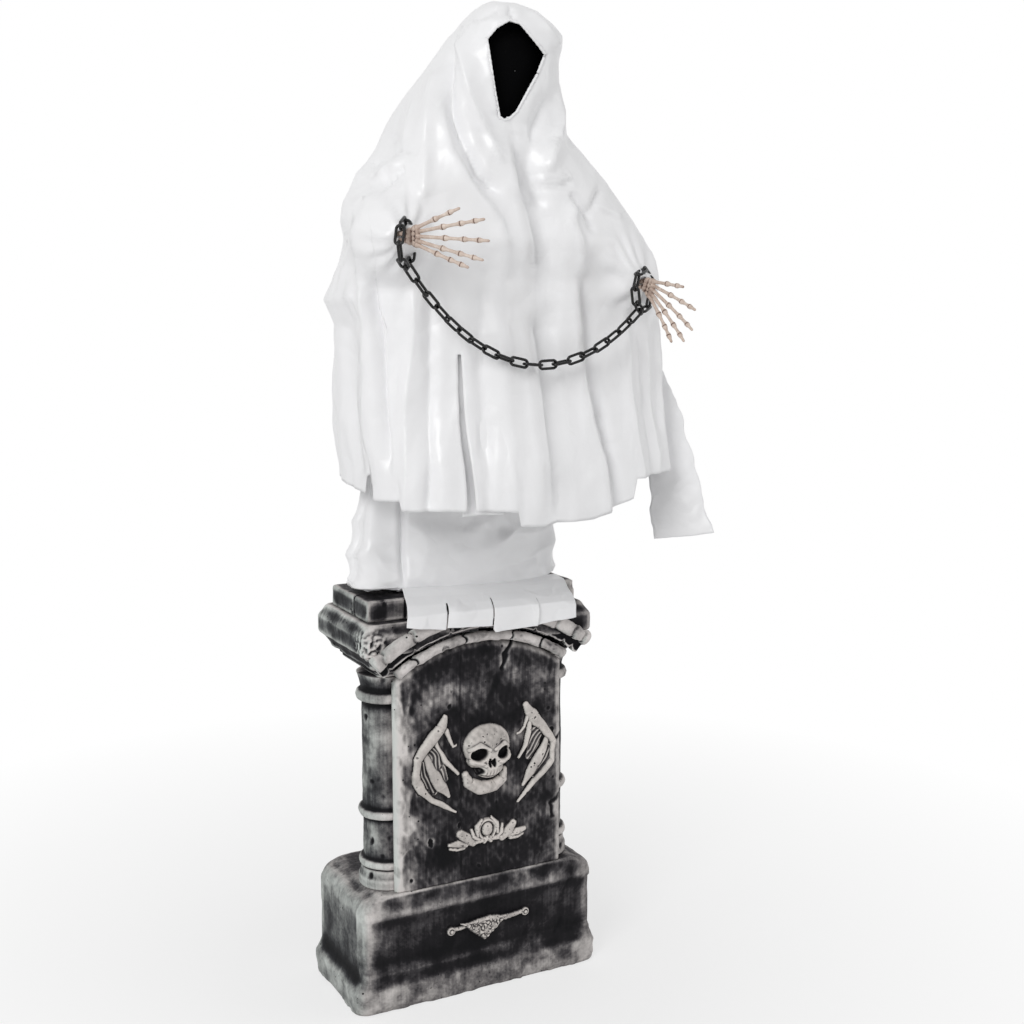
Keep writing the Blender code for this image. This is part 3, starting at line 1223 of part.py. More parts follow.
def catenary(start, end, length):
    """Return a function from length along a hanging chain to its place and direction."""
    level = Vector((end.x - start.x, end.y - start.y, 0))
    run = level.length
    level.normalize()
    rise = end.z - start.z
    low, high = run / 50, run * 50
    for _ in range(80):
        scale = (low + high) / 2
        if 2 * scale * math.sinh(run / (2 * scale)) > math.sqrt(length ** 2 - rise ** 2):
            low = scale
        else:
            high = scale
    middle = math.atanh(rise / length) * scale
    lowest = run / 2 - middle
    before = scale * math.sinh(-lowest / scale)

    def place(distance):
        out = lowest + scale * math.asinh((before + distance) / scale)
        drop = scale * (math.cosh((out - lowest) / scale) - math.cosh(lowest / scale))
        direction = level + Vector((0, 0, math.sinh((out - lowest) / scale)))
        return start + level * out + Vector((0, 0, drop)), direction.normalized()
    return place


def hooked_twist(side, along, level):
    """Angle about the chain's direction that sets a link square to the wire it hooks on."""
    angle = LEFT_LOOP_ANGLE if side < 0 else RIGHT_LOOP_ANGLE
    across = along.cross(loop_out(side, angle + math.pi / 2)).normalized()
    if across.dot(level) < 0:
        across.negate()
    return math.atan2(along.dot(level.cross(across)), level.dot(across))


def make_chain():
    """Chain that hangs between the wrist loops, two links to a piece, with an even twist."""
    start, end = chain_end(-1), chain_end(1)
    pitch = LINK_LENGTH - 4 * LINK_WIRE_R - GAP
    hook = LINK_LENGTH / 2 - 3 * LINK_WIRE_R - LINK_PLAY
    place = catenary(start, end, pitch * (CHAIN_LINKS - 1) + 2 * hook)
    level = Vector((start.y - end.y, end.x - start.x, 0)).normalized()
    twists = [hooked_twist(side, place(hook + pitch * k)[1], level)
              for side, k in ((-1, 0), (1, CHAIN_LINKS - 1))]
    for first in range(0, CHAIN_LINKS, 2):
        name = "chain_links_%02d" % (first // 2 + 1)
        centre, along = place(hook + pitch * first)
        squeeze = along * (LOOP_FUSE + GAP) / 2
        turn = between(first / (CHAIN_LINKS - 1), (0.0, 1.0), twists)
        across = Matrix.Rotation(turn, 3, along) @ level
        piece = finish(name, link_body(centre - squeeze, along, across), black_plastic(),
                       smooth=True)
        if first + 1 < CHAIN_LINKS:
            centre, along = place(hook + pitch * (first + 1))
            upright = along.cross(across)
            combine(piece, guide(name + "_second", link_body(centre + squeeze, along, upright)),
                    "UNION")


# Cloth

def robe_ring(share, inset):
    """A level section of the robe; the hem ring rises and falls."""
    height = ROBE_TOP_Z - ROBE_HEM_Z
    half_x, front, back, lean = (
        size * between(share, ROBE_HEIGHT_SHARES, shares) for size, shares in (
            (ROBE_HALF_WIDTH, ROBE_WIDTH_SHARES), (ROBE_FRONT, ROBE_FRONT_SHARES),
            (ROBE_BACK, ROBE_BACK_SHARES), (ROBE_LEAN, ROBE_LEAN_SHARES)))
    half_x, front, back = half_x - inset, front - inset, back - inset
    centre_y = ROBE_CENTRE_Y - lean
    loose = (1 - share) ** 0.7
    ring = []
    for k in range(ROBE_SIDES):
        angle = 2 * math.pi * k / ROBE_SIDES
        cos, sin = math.cos(angle), math.sin(angle)
        x = half_x * math.copysign(abs(cos) ** ROBE_ROUND_SHARE, cos)
        reach = back if sin > 0 else front
        y = reach * math.copysign(abs(sin) ** ROBE_ROUND_SHARE, sin)
        x *= 1 - ROBE_TAPER_SHARE * y / reach
        fold = ROBE_FOLD * loose * math.cos(ROBE_FOLDS * angle)
        signed = (angle - ROBE_TAIL_ANGLE + math.pi) % (2 * math.pi) - math.pi
        tail = max(0.0, 1 - abs(signed) / ROBE_TAIL_HALF_ANGLE) ** 0.7
        x += fold * cos + ROBE_TAIL_FLARE * tail * (1 - share) ** 2
        y += centre_y + fold * sin
        z = ROBE_HEM_Z + height * share
        turn = (angle + math.pi) % (2 * math.pi) - math.pi
        drop = between(turn, ROBE_HEM_ANGLES, ROBE_HEM_SHARES) * height
        z += drop * max(0.0, 1 - share / 0.3)
        ring.append((x, y, z))
    return ring


def make_robe():
    """Robe that hangs over shoulders and arms, open below and at the wrists."""
    shares = ROBE_HEIGHT_SHARES
    rings = [robe_ring(share, 0.0) for share in shares]
    inner = [robe_ring(share, CLOTH) for share in reversed(shares)]
    robe = finish("robe", loft(rings + inner, looped=True), white_cloth(), smooth=True)
    for name, side in (("robe_left_opening", -1), ("robe_right_opening", 1)):
        forward = hand_forward(side)
        middle = wrist(side) - forward * WRIST_LENGTH
        hole = cylinder(middle - forward * OVERRUN * 3, middle + forward * OVERRUN * 4,
                        ROBE_WRIST_HOLE_R, 16)
        combine(robe, guide(name, hole))


def hood_ring(share, inset):
    """A level section of the hood."""
    z = HOOD_LOW_Z + (HOOD_TOP_Z - HOOD_LOW_Z) * share
    centre_y = -SPINE_LEAN
    half_x, front, back = (
        size * between(share, HOOD_HEIGHT_SHARES, shares) - inset for size, shares in (
            (HOOD_HALF_WIDTH, HOOD_WIDTH_SHARES), (centre_y - HOOD_FRONT_Y, HOOD_FRONT_SHARES),
            (HOOD_BACK_LOW_Y - centre_y, HOOD_BACK_SHARES)))
    ring = []
    for k in range(HOOD_SIDES):
        angle = 2 * math.pi * k / HOOD_SIDES
        cos, sin = math.cos(angle), math.sin(angle)
        reach = back if sin > 0 else front
        ring.append((HOOD_X + half_x * math.copysign(abs(cos) ** HOOD_ROUND_SHARE, cos),
                     centre_y + reach * math.copysign(abs(sin) ** HOOD_ROUND_SHARE, sin), z))
    return ring


def face_outline(grow):
    """Outline of the hood's dark opening."""
    centre = FACE_LOW_Z + FACE_HEIGHT / 2
    return [(u * (FACE_HALF_WIDTH + grow),
             centre + (v - 0.5) * (FACE_HEIGHT + 2 * grow)) for u, v in FACE_OUTLINE_SHARES]


def make_hood():
    """Hood with a dark opening, resting on the robe's shoulders."""
    shares = HOOD_HEIGHT_SHARES
    outer = [hood_ring(share, 0.0) for share in shares]
    inner = [hood_ring(share, CLOTH) for share in reversed(shares[:-1])]
    hood = finish("hood", loft(list(reversed(outer)) + list(reversed(inner))), white_cloth(),
                  smooth=True)
    opening = prism(face_outline(0.0), "y", HOOD_FRONT_Y - OVERRUN,
                    HOOD_FRONT_Y + VEIL_BACK + CLOTH)
    combine(hood, guide("hood_opening", opening))


def make_veil():
    """Black cloth that fills the hood's opening from behind."""
    y = HOOD_FRONT_Y + VEIL_BACK
    finish("face_veil", prism(face_outline(-GAP), "y", y, y + VEIL_THICK), black_cloth())


def make_head():
    """Plain head form that fills the hood out, on the spine's top."""
    y = HOOD_FRONT_Y + VEIL_BACK + VEIL_THICK + GAP + HEAD_HALF_Y
    head = finish("head_form", ball((HOOD_X, y, HEAD_Z), (HEAD_HALF_X, HEAD_HALF_Y, HEAD_HALF_Z), 20, 12),
                  material("white_foam", (0.8, 0.8, 0.78), 0.9), smooth=True)
    direction = neck_direction()
    top = spine_point(SPINE_TOP_Z) + direction * (NECK_LENGTH + GAP)
    socket = cylinder(top - direction * (NECK_LENGTH + OVERRUN), top,
                      (SPINE_R + GAP) / math.cos(math.pi / 24), 24)
    combine(head, guide("head_socket", socket))


def make_underskirt():
    """Gathered skirt between the tombstone's top and the hoop on the mast."""
    low = TOP_BLOCK_TOP_Z + 2 * GAP + FLAP_THICK
    high = HOOP_Z + HOOP_THICK
    rings = []
    for inset in (0.0, CLOTH):
        layer = []
        for share, spread in zip(SKIRT_HEIGHT_SHARES, SKIRT_SPREAD_SHARES):
            top_x = HOOP_HALF_X + CLOTH + SKIRT_TOP_SETBACK
            top_y = HOOP_HALF_Y + CLOTH + SKIRT_TOP_SETBACK
            half_x = top_x + (SKIRT_LOW_HALF_X - top_x) * spread - inset
            half_y = top_y + (SKIRT_LOW_HALF_Y - top_y) * spread - inset
            layer.append(oval(half_x, half_y, (0, 0), low + (high - low) * share, SKIRT_SIDES,
                              SKIRT_FOLD * math.sin(math.pi * share), SKIRT_FOLDS, 0.8))
        rings += layer if inset == 0.0 else list(reversed(layer))
    finish("underskirt", loft(rings, looped=True), white_cloth(), smooth=True)


def make_skirt_flap():
    """Skirt front that lies on the top block and hangs over the arch in four strips."""
    top = TOP_BLOCK_TOP_Z + GAP
    front = -CORNICE_HALF_Y - GAP - ARCH_COVE_DEPTH - ARCH_OUTER_ROLL - GAP
    path = [(FLAP_TUCK_Y, top), (-TOP_BLOCK_HALF_Y, top), (-CORNICE_HALF_Y, top - FLAP_THICK),
            (front, ARCH_CROWN_Z), (front - FLAP_STAND_OFF, FLAP_LOW_Z)]
    backs = []
    for k, here in enumerate(path):
        before, after = path[max(k - 1, 0)], path[min(k + 1, len(path) - 1)]
        run = Vector((after[0] - before[0], after[1] - before[1])).normalized()
        backs.append((here[0] + run.y * FLAP_THICK, here[1] - run.x * FLAP_THICK))
    outline = path + list(reversed(backs))
    flap = finish("skirt_flap", prism(outline, "x", FLAP_LEFT_X, FLAP_RIGHT_X), white_cloth())
    width = FLAP_RIGHT_X - FLAP_LEFT_X
    for k, share in enumerate(FLAP_SLIT_SHARES):
        x = FLAP_LEFT_X + width * share
        wedge = ((x - FLAP_SLIT_WIDTH / 2, FLAP_LOW_Z - OVERRUN),
                 (x + FLAP_SLIT_WIDTH / 2, FLAP_LOW_Z - OVERRUN), (x, FLAP_LOW_Z + FLAP_SLIT_HEIGHT))
        combine(flap, guide("flap_slit_%d" % k, prism(wedge, "y", front - 2 * OVERRUN, front + OVERRUN)))


def build():
    clear_scene()
    make_plinth_shell()
    make_floor_plate()
    make_stele_core()
    make_stele_panel()
    make_column("column_left", -1)
    make_column("column_right", 1)
    make_cornice()
    make_arch_mouldings()
    make_top_block()
    make_skull()
    make_ornaments()
    make_lift_channel()
    make_guides()
    make_mast()
    make_rack()
    make_pinion()
    make_lift_motor()
    make_battery_box()
    make_battery_door()
    make_switch()
    make_control_board()
    make_skirt_hoop()
    make_turn_motor()
    make_turn_hub()
    make_spine()
    make_shoulder_bar()
    make_arm("arm_left", -1)
    make_arm("arm_right", 1)
    make_hand("hand_left", -1)
    make_hand("hand_right", 1)
    make_wrist_loop("wrist_chain_left", -1)
    make_wrist_loop("wrist_chain_right", 1)
    make_chain()
    make_robe()
    make_hood()
    make_veil()
    make_head()
    make_underskirt()
    make_skirt_flap()


build()
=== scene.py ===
"""The looks of an animated ghost figure that rises from a tombstone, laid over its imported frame.

Metres, +Z up, the front towards -Y, the origin in the middle of the tombstone's foot.
"""
import math

import bmesh
import bpy
import numpy as np
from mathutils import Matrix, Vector


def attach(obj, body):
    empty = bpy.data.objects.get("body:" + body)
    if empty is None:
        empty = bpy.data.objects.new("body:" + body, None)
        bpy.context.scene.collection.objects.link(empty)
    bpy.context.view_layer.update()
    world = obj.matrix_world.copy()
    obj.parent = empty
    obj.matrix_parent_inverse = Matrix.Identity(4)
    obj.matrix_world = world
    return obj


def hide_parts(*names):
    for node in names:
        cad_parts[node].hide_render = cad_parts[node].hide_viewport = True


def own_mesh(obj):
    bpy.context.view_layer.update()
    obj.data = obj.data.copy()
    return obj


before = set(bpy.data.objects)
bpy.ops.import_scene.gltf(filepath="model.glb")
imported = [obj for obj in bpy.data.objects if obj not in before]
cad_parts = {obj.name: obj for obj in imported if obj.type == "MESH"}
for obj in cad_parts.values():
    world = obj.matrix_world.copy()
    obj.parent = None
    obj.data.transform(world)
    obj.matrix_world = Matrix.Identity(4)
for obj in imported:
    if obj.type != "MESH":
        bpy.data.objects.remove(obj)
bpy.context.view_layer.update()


# ---------------------------------------------------------------- Camera, floor and light
# A camera at the height of the ghost's waist, left of the front, on a white studio floor.
# One large soft lamp stands left of the camera, a weaker one right of it, under a white sky.

camera = bpy.data.objects.new("camera", bpy.data.cameras.new("camera"))
bpy.context.scene.collection.objects.link(camera)
camera.data.sensor_fit = "HORIZONTAL"
camera.data.sensor_width = 36.0
camera.data.lens = 49.22
camera.location = (-0.9564, -1.9979, 1.12)
camera.rotation_euler = (math.radians(90 - 9.01), 0.0, math.radians(-28.0))
bpy.context.scene.camera = camera
bpy.context.scene.view_settings.view_transform = "Standard"


def node(tree, kind, inputs=None, **settings):
    """One shader node. inputs maps a socket's name or number to a value, or to the output that feeds it."""
    made = tree.nodes.new("ShaderNode" + kind)
    for key, value in settings.items():
        setattr(made, key, value)
    for socket, value in (inputs or {}).items():
        if isinstance(value, bpy.types.NodeSocket):
            tree.links.new(value, made.inputs[socket])
        else:
            made.inputs[socket].default_value = value
    return made


def lamp(name, place, target, size, watts):
    """A square soft lamp at a place, turned towards a target."""
    data = bpy.data.lights.new(name, "AREA")
    data.size, data.energy = size, watts
    made = bpy.data.objects.new(name, data)
    bpy.context.scene.collection.objects.link(made)
    made.location = place
    made.rotation_euler = (Vector(target) - Vector(place)).to_track_quat("-Z", "Y").to_euler()


def shown_rays(tree):
    """1 for rays that look at a surface, straight, in a mirror or through a clear piece, and 0 for the others."""
    seen = node(tree, "LightPath").outputs
    mirrored = node(tree, "Math", {0: seen["Is Glossy Ray"], 1: seen["Is Transmission Ray"]}, operation="MAXIMUM")
    return node(tree, "Math", {0: seen["Is Camera Ray"], 1: mirrored.outputs[0]}, operation="MAXIMUM").outputs[0]


lamp("key_lamp", (-2.3, -1.9, 2.5), (0.0, 0.0, 0.9), 1.3, 42.0)
lamp("fill_lamp", (2.4, -1.6, 1.6), (0.0, 0.0, 0.9), 1.4, 9.0)

sky = bpy.data.worlds.new("white_sky")
sky.use_nodes = True
sky.node_tree.nodes.clear()
ambient = node(sky.node_tree, "Background", {"Color": (1.0, 1.0, 1.0, 1.0), "Strength": 0.50}).outputs[0]
white = node(sky.node_tree, "Background", {"Color": (1.0, 1.0, 1.0, 1.0), "Strength": 1.0}).outputs[0]
mixed = node(sky.node_tree, "MixShader", {0: shown_rays(sky.node_tree), 1: ambient, 2: white}).outputs[0]
node(sky.node_tree, "OutputWorld", {"Surface": mixed})
bpy.context.scene.world = sky

floor_material = bpy.data.materials.new("studio_floor")
floor_material.use_nodes = True
tree = floor_material.node_tree
tree.nodes.clear()
reach = node(tree, "VectorMath", {0: node(tree, "TexCoord").outputs["Object"]}, operation="LENGTH").outputs["Value"]
away = node(tree, "MapRange", {"Value": reach, "From Min": 0.35, "From Max": 1.5, "To Min": 0.62, "To Max": 1.0})
glow = node(tree, "Math", {0: shown_rays(tree), 1: away.outputs[0]}, operation="MULTIPLY").outputs[0]
matt = node(tree, "BsdfDiffuse", {"Color": (0.92, 0.92, 0.92, 1.0)}).outputs[0]
lit = node(tree, "Emission", {"Color": (1.0, 1.0, 1.0, 1.0), "Strength": 1.0}).outputs[0]
node(tree, "OutputMaterial", {"Surface": node(tree, "MixShader", {0: glow, 1: matt, 2: lit}).outputs[0]})
bpy.ops.mesh.primitive_plane_add(size=24.0, location=(0.0, 0.0, 0.0))
floor = bpy.context.object
floor.name = "studio_floor"
floor.data.materials.append(floor_material)


# ---------------------------------------------------------------- Plinth
# The real plinth is a hollow shell of painted foam plastic with a rough rock foot, a plain
# block with worn corners over it, a ledge, and a doorway and a switch slot in its back.

def swell(points, size, seed, waves=30):
    """Smooth random height, mostly from -1 to 1.

    It is the sum of sine waves of about one length, each in its own direction, over the square root of their number.
    """
    rng = np.random.default_rng(seed)
    across = rng.normal(size=(waves, 3))
    across /= np.linalg.norm(across, axis=1)[:, None] * size * rng.uniform(0.7, 1.6, (waves, 1))
    phase = points @ across.T * 2 * math.pi + rng.uniform(0, 2 * math.pi, waves)
    return np.sin(phase).sum(-1) / math.sqrt(waves)


def smooth_step(value, low, high):
    """0 below low, 1 above high, and an even S between them."""
    share = np.clip((value - low) / (high - low), 0.0, 1.0)
    return share * share * (3 - 2 * share)


def eased(points, times, wrap_u=False, wrap_v=False):
    """The grid after each point has moved half way to its four neighbours' middle, so many times. Open edges stay."""
    now = points.copy()
    for _ in range(times):
        beside = np.zeros_like(now)
        for axis, wrap in ((0, wrap_u), (1, wrap_v)):
            for step in (1, -1):
                moved = np.roll(now, step, axis)
                if not wrap:
                    edge = [slice(None)] * now.ndim
                    edge[axis] = 0 if step == 1 else -1
                    moved[tuple(edge)] = now[tuple(edge)]
                beside += moved / 4
        now = (now + beside) / 2
    return now


def facing(points, wrap_u=False, wrap_v=False):
    """The outward unit normals of a grid: the slope along its columns crossed with the slope up its rows."""
    up = np.roll(points, -1, 0) - np.roll(points, 1, 0)
    along = np.roll(points, -1, 1) - np.roll(points, 1, 1)
    if not wrap_u:
        up[0], up[-1] = points[1] - points[0], points[-1] - points[-2]
    if not wrap_v:
        along[:, 0], along[:, -1] = points[:, 1] - points[:, 0], points[:, -1] - points[:, -2]
    normal = np.cross(along, up)
    return normal / np.maximum(np.linalg.norm(normal, axis=-1), 1e-12)[..., None]


def worn(points, reach_m=0.0016, near=4, far=45, **wraps):
    """How far each point stands out from its surroundings: 0 deep in a groove, 0.5 on a plain face, 1 on an edge."""
    normal = facing(points, **wraps)
    fine = ((points - eased(points, near, **wraps)) * normal).sum(-1) / (reach_m * 0.35)
    broad = ((points - eased(points, far, **wraps)) * normal).sum(-1) / reach_m
    return np.clip(0.5 + 0.25 * fine + 0.30 * broad, 0.0, 1.0)


def mesh_object(name, points, faces, **attributes):
    """A smooth-shaded mesh of points and faces without loose points. Each attribute has one number per point."""
    used, faces = np.unique(faces, return_inverse=True)
    faces = faces.reshape(-1, 4)
    mesh = bpy.data.meshes.new(name)
    mesh.from_pydata(points[used].tolist(), [], faces.tolist())
    mesh.polygons.foreach_set("use_smooth", np.ones(len(mesh.polygons), bool))
    for key, values in attributes.items():
        field = mesh.attributes.new(key, "FLOAT", "POINT")
        field.data.foreach_set("value", np.asarray(values, np.float32).ravel()[used])
    made = bpy.data.objects.new(name, mesh)
    bpy.context.scene.collection.objects.link(made)
    return made


def cells(rows, columns, wrap_u=False, wrap_v=False):
    """The four corners of every cell of a grid, as numbers of its points, shape (rows, columns, 4)."""
    index = np.arange(rows * columns).reshape(rows, columns)
    if wrap_u:
        index = np.vstack([index, index[:1]])
    if wrap_v:
        index = np.hstack([index, index[:, :1]])
    return np.stack([index[:-1, :-1], index[:-1, 1:], index[1:, 1:], index[1:, :-1]], -1)


def skin(name, points, keep=None, wrap_u=False, wrap_v=False, **attributes):
    """A surface over a grid of points. Rows run up and columns run anticlockwise, so that it faces outwards."""
    quads = cells(*points.shape[:2], wrap_u, wrap_v)
    quads = quads[keep] if keep is not None else quads.reshape(-1, 4)
    return mesh_object(name, points.reshape(-1, 3), quads, **attributes)


def welded(made):
    """Joins the points that lie on one another, as at a pole or a seam, and turns the faces outwards."""
    bm = bmesh.new()
    bm.from_mesh(made.data)
    bmesh.ops.remove_doubles(bm, verts=bm.verts, dist=1e-6)
    bmesh.ops.dissolve_degenerate(bm, edges=bm.edges, dist=1e-7)
    bmesh.ops.recalc_face_normals(bm, faces=bm.faces)
    bm.to_mesh(made.data)
    bm.free()
    made.data.polygons.foreach_set("use_smooth", np.ones(len(made.data.polygons), bool))
    return made


def wall(made, thickness):
    """Gives an open shell a wall that grows inwards from its surface."""
    solid = made.modifiers.new("wall", "SOLIDIFY")
    solid.thickness, solid.offset = thickness, -1.0
    return made


def even(keys, step):
    """Rows of numbers laid out evenly between key rows, a step apart as the last two columns measure it."""
    keys = np.array(keys, float)
    run = np.r_[0, np.cumsum(np.hypot(*np.diff(keys[:, -2:], axis=0).T))]
    at = np.linspace(0, run[-1], max(int(run[-1] / step), 4))
    return np.stack([np.interp(at, run, column) for column in keys.T], -1)


def around(half_x, half_y, corner, stations_x, stations_y, bends=7):
    """Points round a rounded oblong on each level, anticlockwise from the middle of its right side.

    Four straight runs, with points where the stations say, are joined by quarter circles.
    """
    turn = np.linspace(0, math.pi / 2, bends)[1:-1]
    place = []
    for quarter, line in enumerate((stations_y, stations_x[::-1], stations_y[::-1], stations_x)):
        middle = quarter * math.pi / 2
        side = np.array([math.cos(middle), math.sin(middle)])
        on_side = np.zeros((len(line), 4))
        on_side[:, :2] = np.abs(side) * side + np.outer(line, 1 - np.abs(side.round()))
        on_side[:, 2:] = side
        bend = np.stack([np.cos(middle + turn), np.sin(middle + turn)], -1)
        sign = np.sign(np.array([math.cos(middle + math.pi / 4), math.sin(middle + math.pi / 4)]))
        place += [on_side, np.hstack([np.tile(sign, (len(turn), 1)), bend])]
    ax, ay, bx, by = np.vstack(place).T
    half_x, half_y, corner = (np.asarray(v, float).reshape(-1, 1) for v in (half_x, half_y, corner))
    return np.stack([ax * (half_x - corner) + bx * corner, ay * (half_y - corner) + by * corner], -1)


def stacked(flat, height):
    """A grid of points from the flat outline of each row and the height of each row."""
    return np.dstack([flat, np.broadcast_to(height[:, None], flat.shape[:2])])


def material(name):
    """A new material, its node tree and its Principled shader."""
    made = bpy.data.materials.new(name)
    made.use_nodes = True
    return made, made.node_tree, made.node_tree.nodes["Principled BSDF"]


def ramp_colour(tree, number, stops):
    """The colour that a number takes from a ramp with these stops, each a place and a colour, in rising order."""
    made = node(tree, "ValToRGB", {"Fac": number})
    while len(made.color_ramp.elements) < len(stops):
        made.color_ramp.elements.new(0.5)
    for stop, (at, colour) in zip(made.color_ramp.elements, stops):
        stop.position, stop.color = at, (*colour, 1.0)
    return made.outputs["Color"]


def feed(tree, shader, colour, rough, height, strength, distance):
    """Gives the shader its colour, its roughness and a bump from a height."""
    bump = node(tree, "Bump", {"Height": height, "Strength": strength, "Distance": distance})
    for socket, source in (("Base Color", colour), ("Roughness", rough), ("Normal", bump.outputs[0])):
        tree.links.new(source, shader.inputs[socket])


def stone_finish(name, streaks=0.0, tint=(1.0, 1.0, 1.0), lift=0.0, side_shade=0.5):
    """Dark grey wash in the hollows and pale dry brushing on the edges, with mottling, pits and upright streaks.

    The tone is the sum of the wear number, the stain and shading number, cloudy noise and streaks; a ramp turns it
    into colour.
    Faces that look towards -X get a cooler, darker tint: painted shade on that side.
    """
    made, tree, shader = material(name)
    place = node(tree, "TexCoord").outputs
    wear = node(tree, "Attribute", attribute_name="wear").outputs["Fac"]
    # this number holds real stains and, in places, painted shade and painted highlights
    stain = node(tree, "Attribute", attribute_name="stain").outputs["Fac"]
    cloud = node(tree, "TexNoise", {"Vector": place["Object"], "Scale": 13.0, "Detail": 9.0, "Roughness": 0.66})
    blotch = node(tree, "TexNoise", {"Vector": place["Object"], "Scale": 52.0, "Detail": 5.0, "Roughness": 0.6})
    speck = node(tree, "TexNoise", {"Vector": place["Object"], "Scale": 210.0, "Detail": 4.0, "Roughness": 0.7})
    upright = node(tree, "Mapping", {"Vector": place["Object"], "Scale": (190.0, 190.0, 5.0)})
    streak = node(tree, "TexNoise", {"Vector": upright.outputs[0], "Scale": 1.0, "Detail": 3.0, "Roughness": 0.6})
    terms = [(wear, 0.78, 0.07 + lift), (stain, 1.0, 0.0), (cloud.outputs["Fac"], 0.62, -0.31),
             (blotch.outputs["Fac"], 0.17, -0.085), (speck.outputs["Fac"], 0.18, -0.09),
             (streak.outputs["Fac"], 0.1 + streaks, -0.05 - streaks / 2)]
    tone = None
    for source, gain, shift in terms:
        part = node(tree, "Math", {0: source, 1: gain, 2: shift}, operation="MULTIPLY_ADD").outputs[0]
        tone = part if tone is None else node(tree, "Math", {0: tone, 1: part}, operation="ADD").outputs[0]
    stops = ((0.20, (0.004, 0.004, 0.005)), (0.37, (0.014, 0.013, 0.015)), (0.50, (0.066, 0.062, 0.066)),
             (0.62, (0.21, 0.198, 0.197)), (0.76, (0.48, 0.455, 0.442)), (0.94, (0.76, 0.72, 0.70)))
    washed = ramp_colour(tree, tone, [(at, [c * t for c, t in zip(colour, tint)]) for at, colour in stops])
    # painted shade: faces that look towards -X are tinted cooler and darker
    side = node(tree, "SeparateXYZ", {0: place["Normal"]}).outputs["X"]
    left = node(tree, "MapRange", {"Value": side, "From Min": -0.25, "From Max": -0.9, "To Min": 0.0, "To Max": side_shade})
    side_shaded = node(tree, "MixRGB", {"Fac": left.outputs[0], "Color1": washed,
                                   "Color2": (0.72, 0.90, 0.88, 1.0)}, blend_type="MULTIPLY")
    pit = node(tree, "TexVoronoi", {"Vector": place["Object"], "Scale": 105.0, "Randomness": 1.0})
    patch = node(tree, "TexNoise", {"Vector": place["Object"], "Scale": 34.0, "Detail": 2.0})
    wide = node(tree, "MapRange", {"Value": patch.outputs["Fac"], "From Min": 0.54, "From Max": 0.74,
                                   "To Min": 0.0, "To Max": 0.26})
    hole = node(tree, "Math", {0: pit.outputs["Distance"], 1: wide.outputs[0]}, operation="LESS_THAN").outputs[0]
    final = node(tree, "MixRGB", {"Fac": hole, "Color1": side_shaded.outputs[0], "Color2": (0.016, 0.015, 0.016, 1.0)})
    rough = node(tree, "MapRange", {"Value": speck.outputs["Fac"], "To Min": 0.58, "To Max": 0.86})
    grain = node(tree, "Math", {0: speck.outputs["Fac"], 1: 0.6, 2: cloud.outputs["Fac"]}, operation="MULTIPLY_ADD")
    sunk = node(tree, "Math", {0: hole, 1: -0.9, 2: grain.outputs[0]}, operation="MULTIPLY_ADD")
    feed(tree, shader, final.outputs[0], rough.outputs[0], sunk.outputs[0], 0.55, 0.0012)
    shader.inputs["Specular IOR Level"].default_value = 0.14
    return made


def blots(x, z, spots):
    """Lighter and darker patches: the sum of soft spots of (x, z, radius, how much lighter)."""
    total = np.zeros_like(x)
    for spot_x, spot_z, size, amount in spots:
        total += amount * np.exp(-((x - spot_x) ** 2 + (z - spot_z) ** 2) / size ** 2)
    return total


plinth_stone = stone_finish("plinth_stone", streaks=0.10)
foam_wall = 0.0035

# half width, half depth, corner radius, then how far out and how high each level of the profile is
plinth_keys = (
    (0.2165, 0.1005, 0.022, 0.0035, 0.0006), (0.2192, 0.1032, 0.022, 0.0008, 0.0120),
    (0.2197, 0.1037, 0.020, 0.0003, 0.0360), (0.2110, 0.0995, 0.016, 0.0090, 0.0470),
    (0.2062, 0.0982, 0.013, 0.0138, 0.0560), (0.2058, 0.0985, 0.013, 0.0142, 0.1620),
    (0.2030, 0.0982, 0.014, 0.0170, 0.1740), (0.1960, 0.0978, 0.014, 0.0240, 0.1815),
    (0.1720, 0.0955, 0.014, 0.0480, 0.1897), (0.1000, 0.0620, 0.010, 0.1200, 0.1897))
levels = even(plinth_keys, 0.0036)
half_x, half_y, corner, _, height = levels.T
doorway_x, switch_low_x, switch_high_x = 0.0668, 0.1165, 0.1235
# the flat length of the block's back from its middle: half width less corner radius
straight = 0.2058 - 0.013
stations_x = np.unique(np.r_[np.linspace(-1, 1, 101), -doorway_x / straight, doorway_x / straight,
                             switch_low_x / straight, switch_high_x / straight])
stations_y = np.linspace(-1, 1, 47)
flat = around(half_x, half_y, corner, stations_x, stations_y)
points = stacked(flat, height)
x, y, z = np.moveaxis(points, -1, 0)
normal = facing(points, wrap_v=True)
at_back = (y > 0.09) & (np.abs(x) < 0.14)
foot = 1 - smooth_step(z, 0.036, 0.050)
rock = np.abs(swell(points * (1, 1, 0.6), 0.060, 3)) * 0.0034 + np.abs(swell(points, 0.024, 4)) * 0.0011
rock += 0.0008 * smooth_step(swell(points, 0.012, 5), 0.6, 1.4)
dents = 0.0012 * smooth_step(swell(points, 0.045, 6), 0.2, 1.8) + 0.00012 * (1 + swell(points, 0.012, 7))
edge = smooth_step(z, 0.150, 0.176) * (1 - smooth_step(z, 0.184, 0.189))
chips = edge * (0.0016 * smooth_step(swell(points, 0.020, 8), 0.5, 1.6) + 0.0012 * np.abs(swell(points, 0.050, 10)))
ledge = 0.0028 * smooth_step(np.sin(x * 9.0 - 0.4 + z * 10) * 0.006 + z, 0.066, 0.074) * (z < 0.15)
crack_x = 0.088 + 0.006 * np.sin(z * 60.0) + 0.004 * np.sin(z * 150.0)
crack = 0.0030 * np.exp(-((x - crack_x) / 0.0022) ** 2) * (y < 0) * smooth_step(z, 0.035, 0.05) * (z < 0.13)
crack_x = 0.150 + 0.25 * (z - 0.12) + 0.004 * np.sin(z * 90.0)
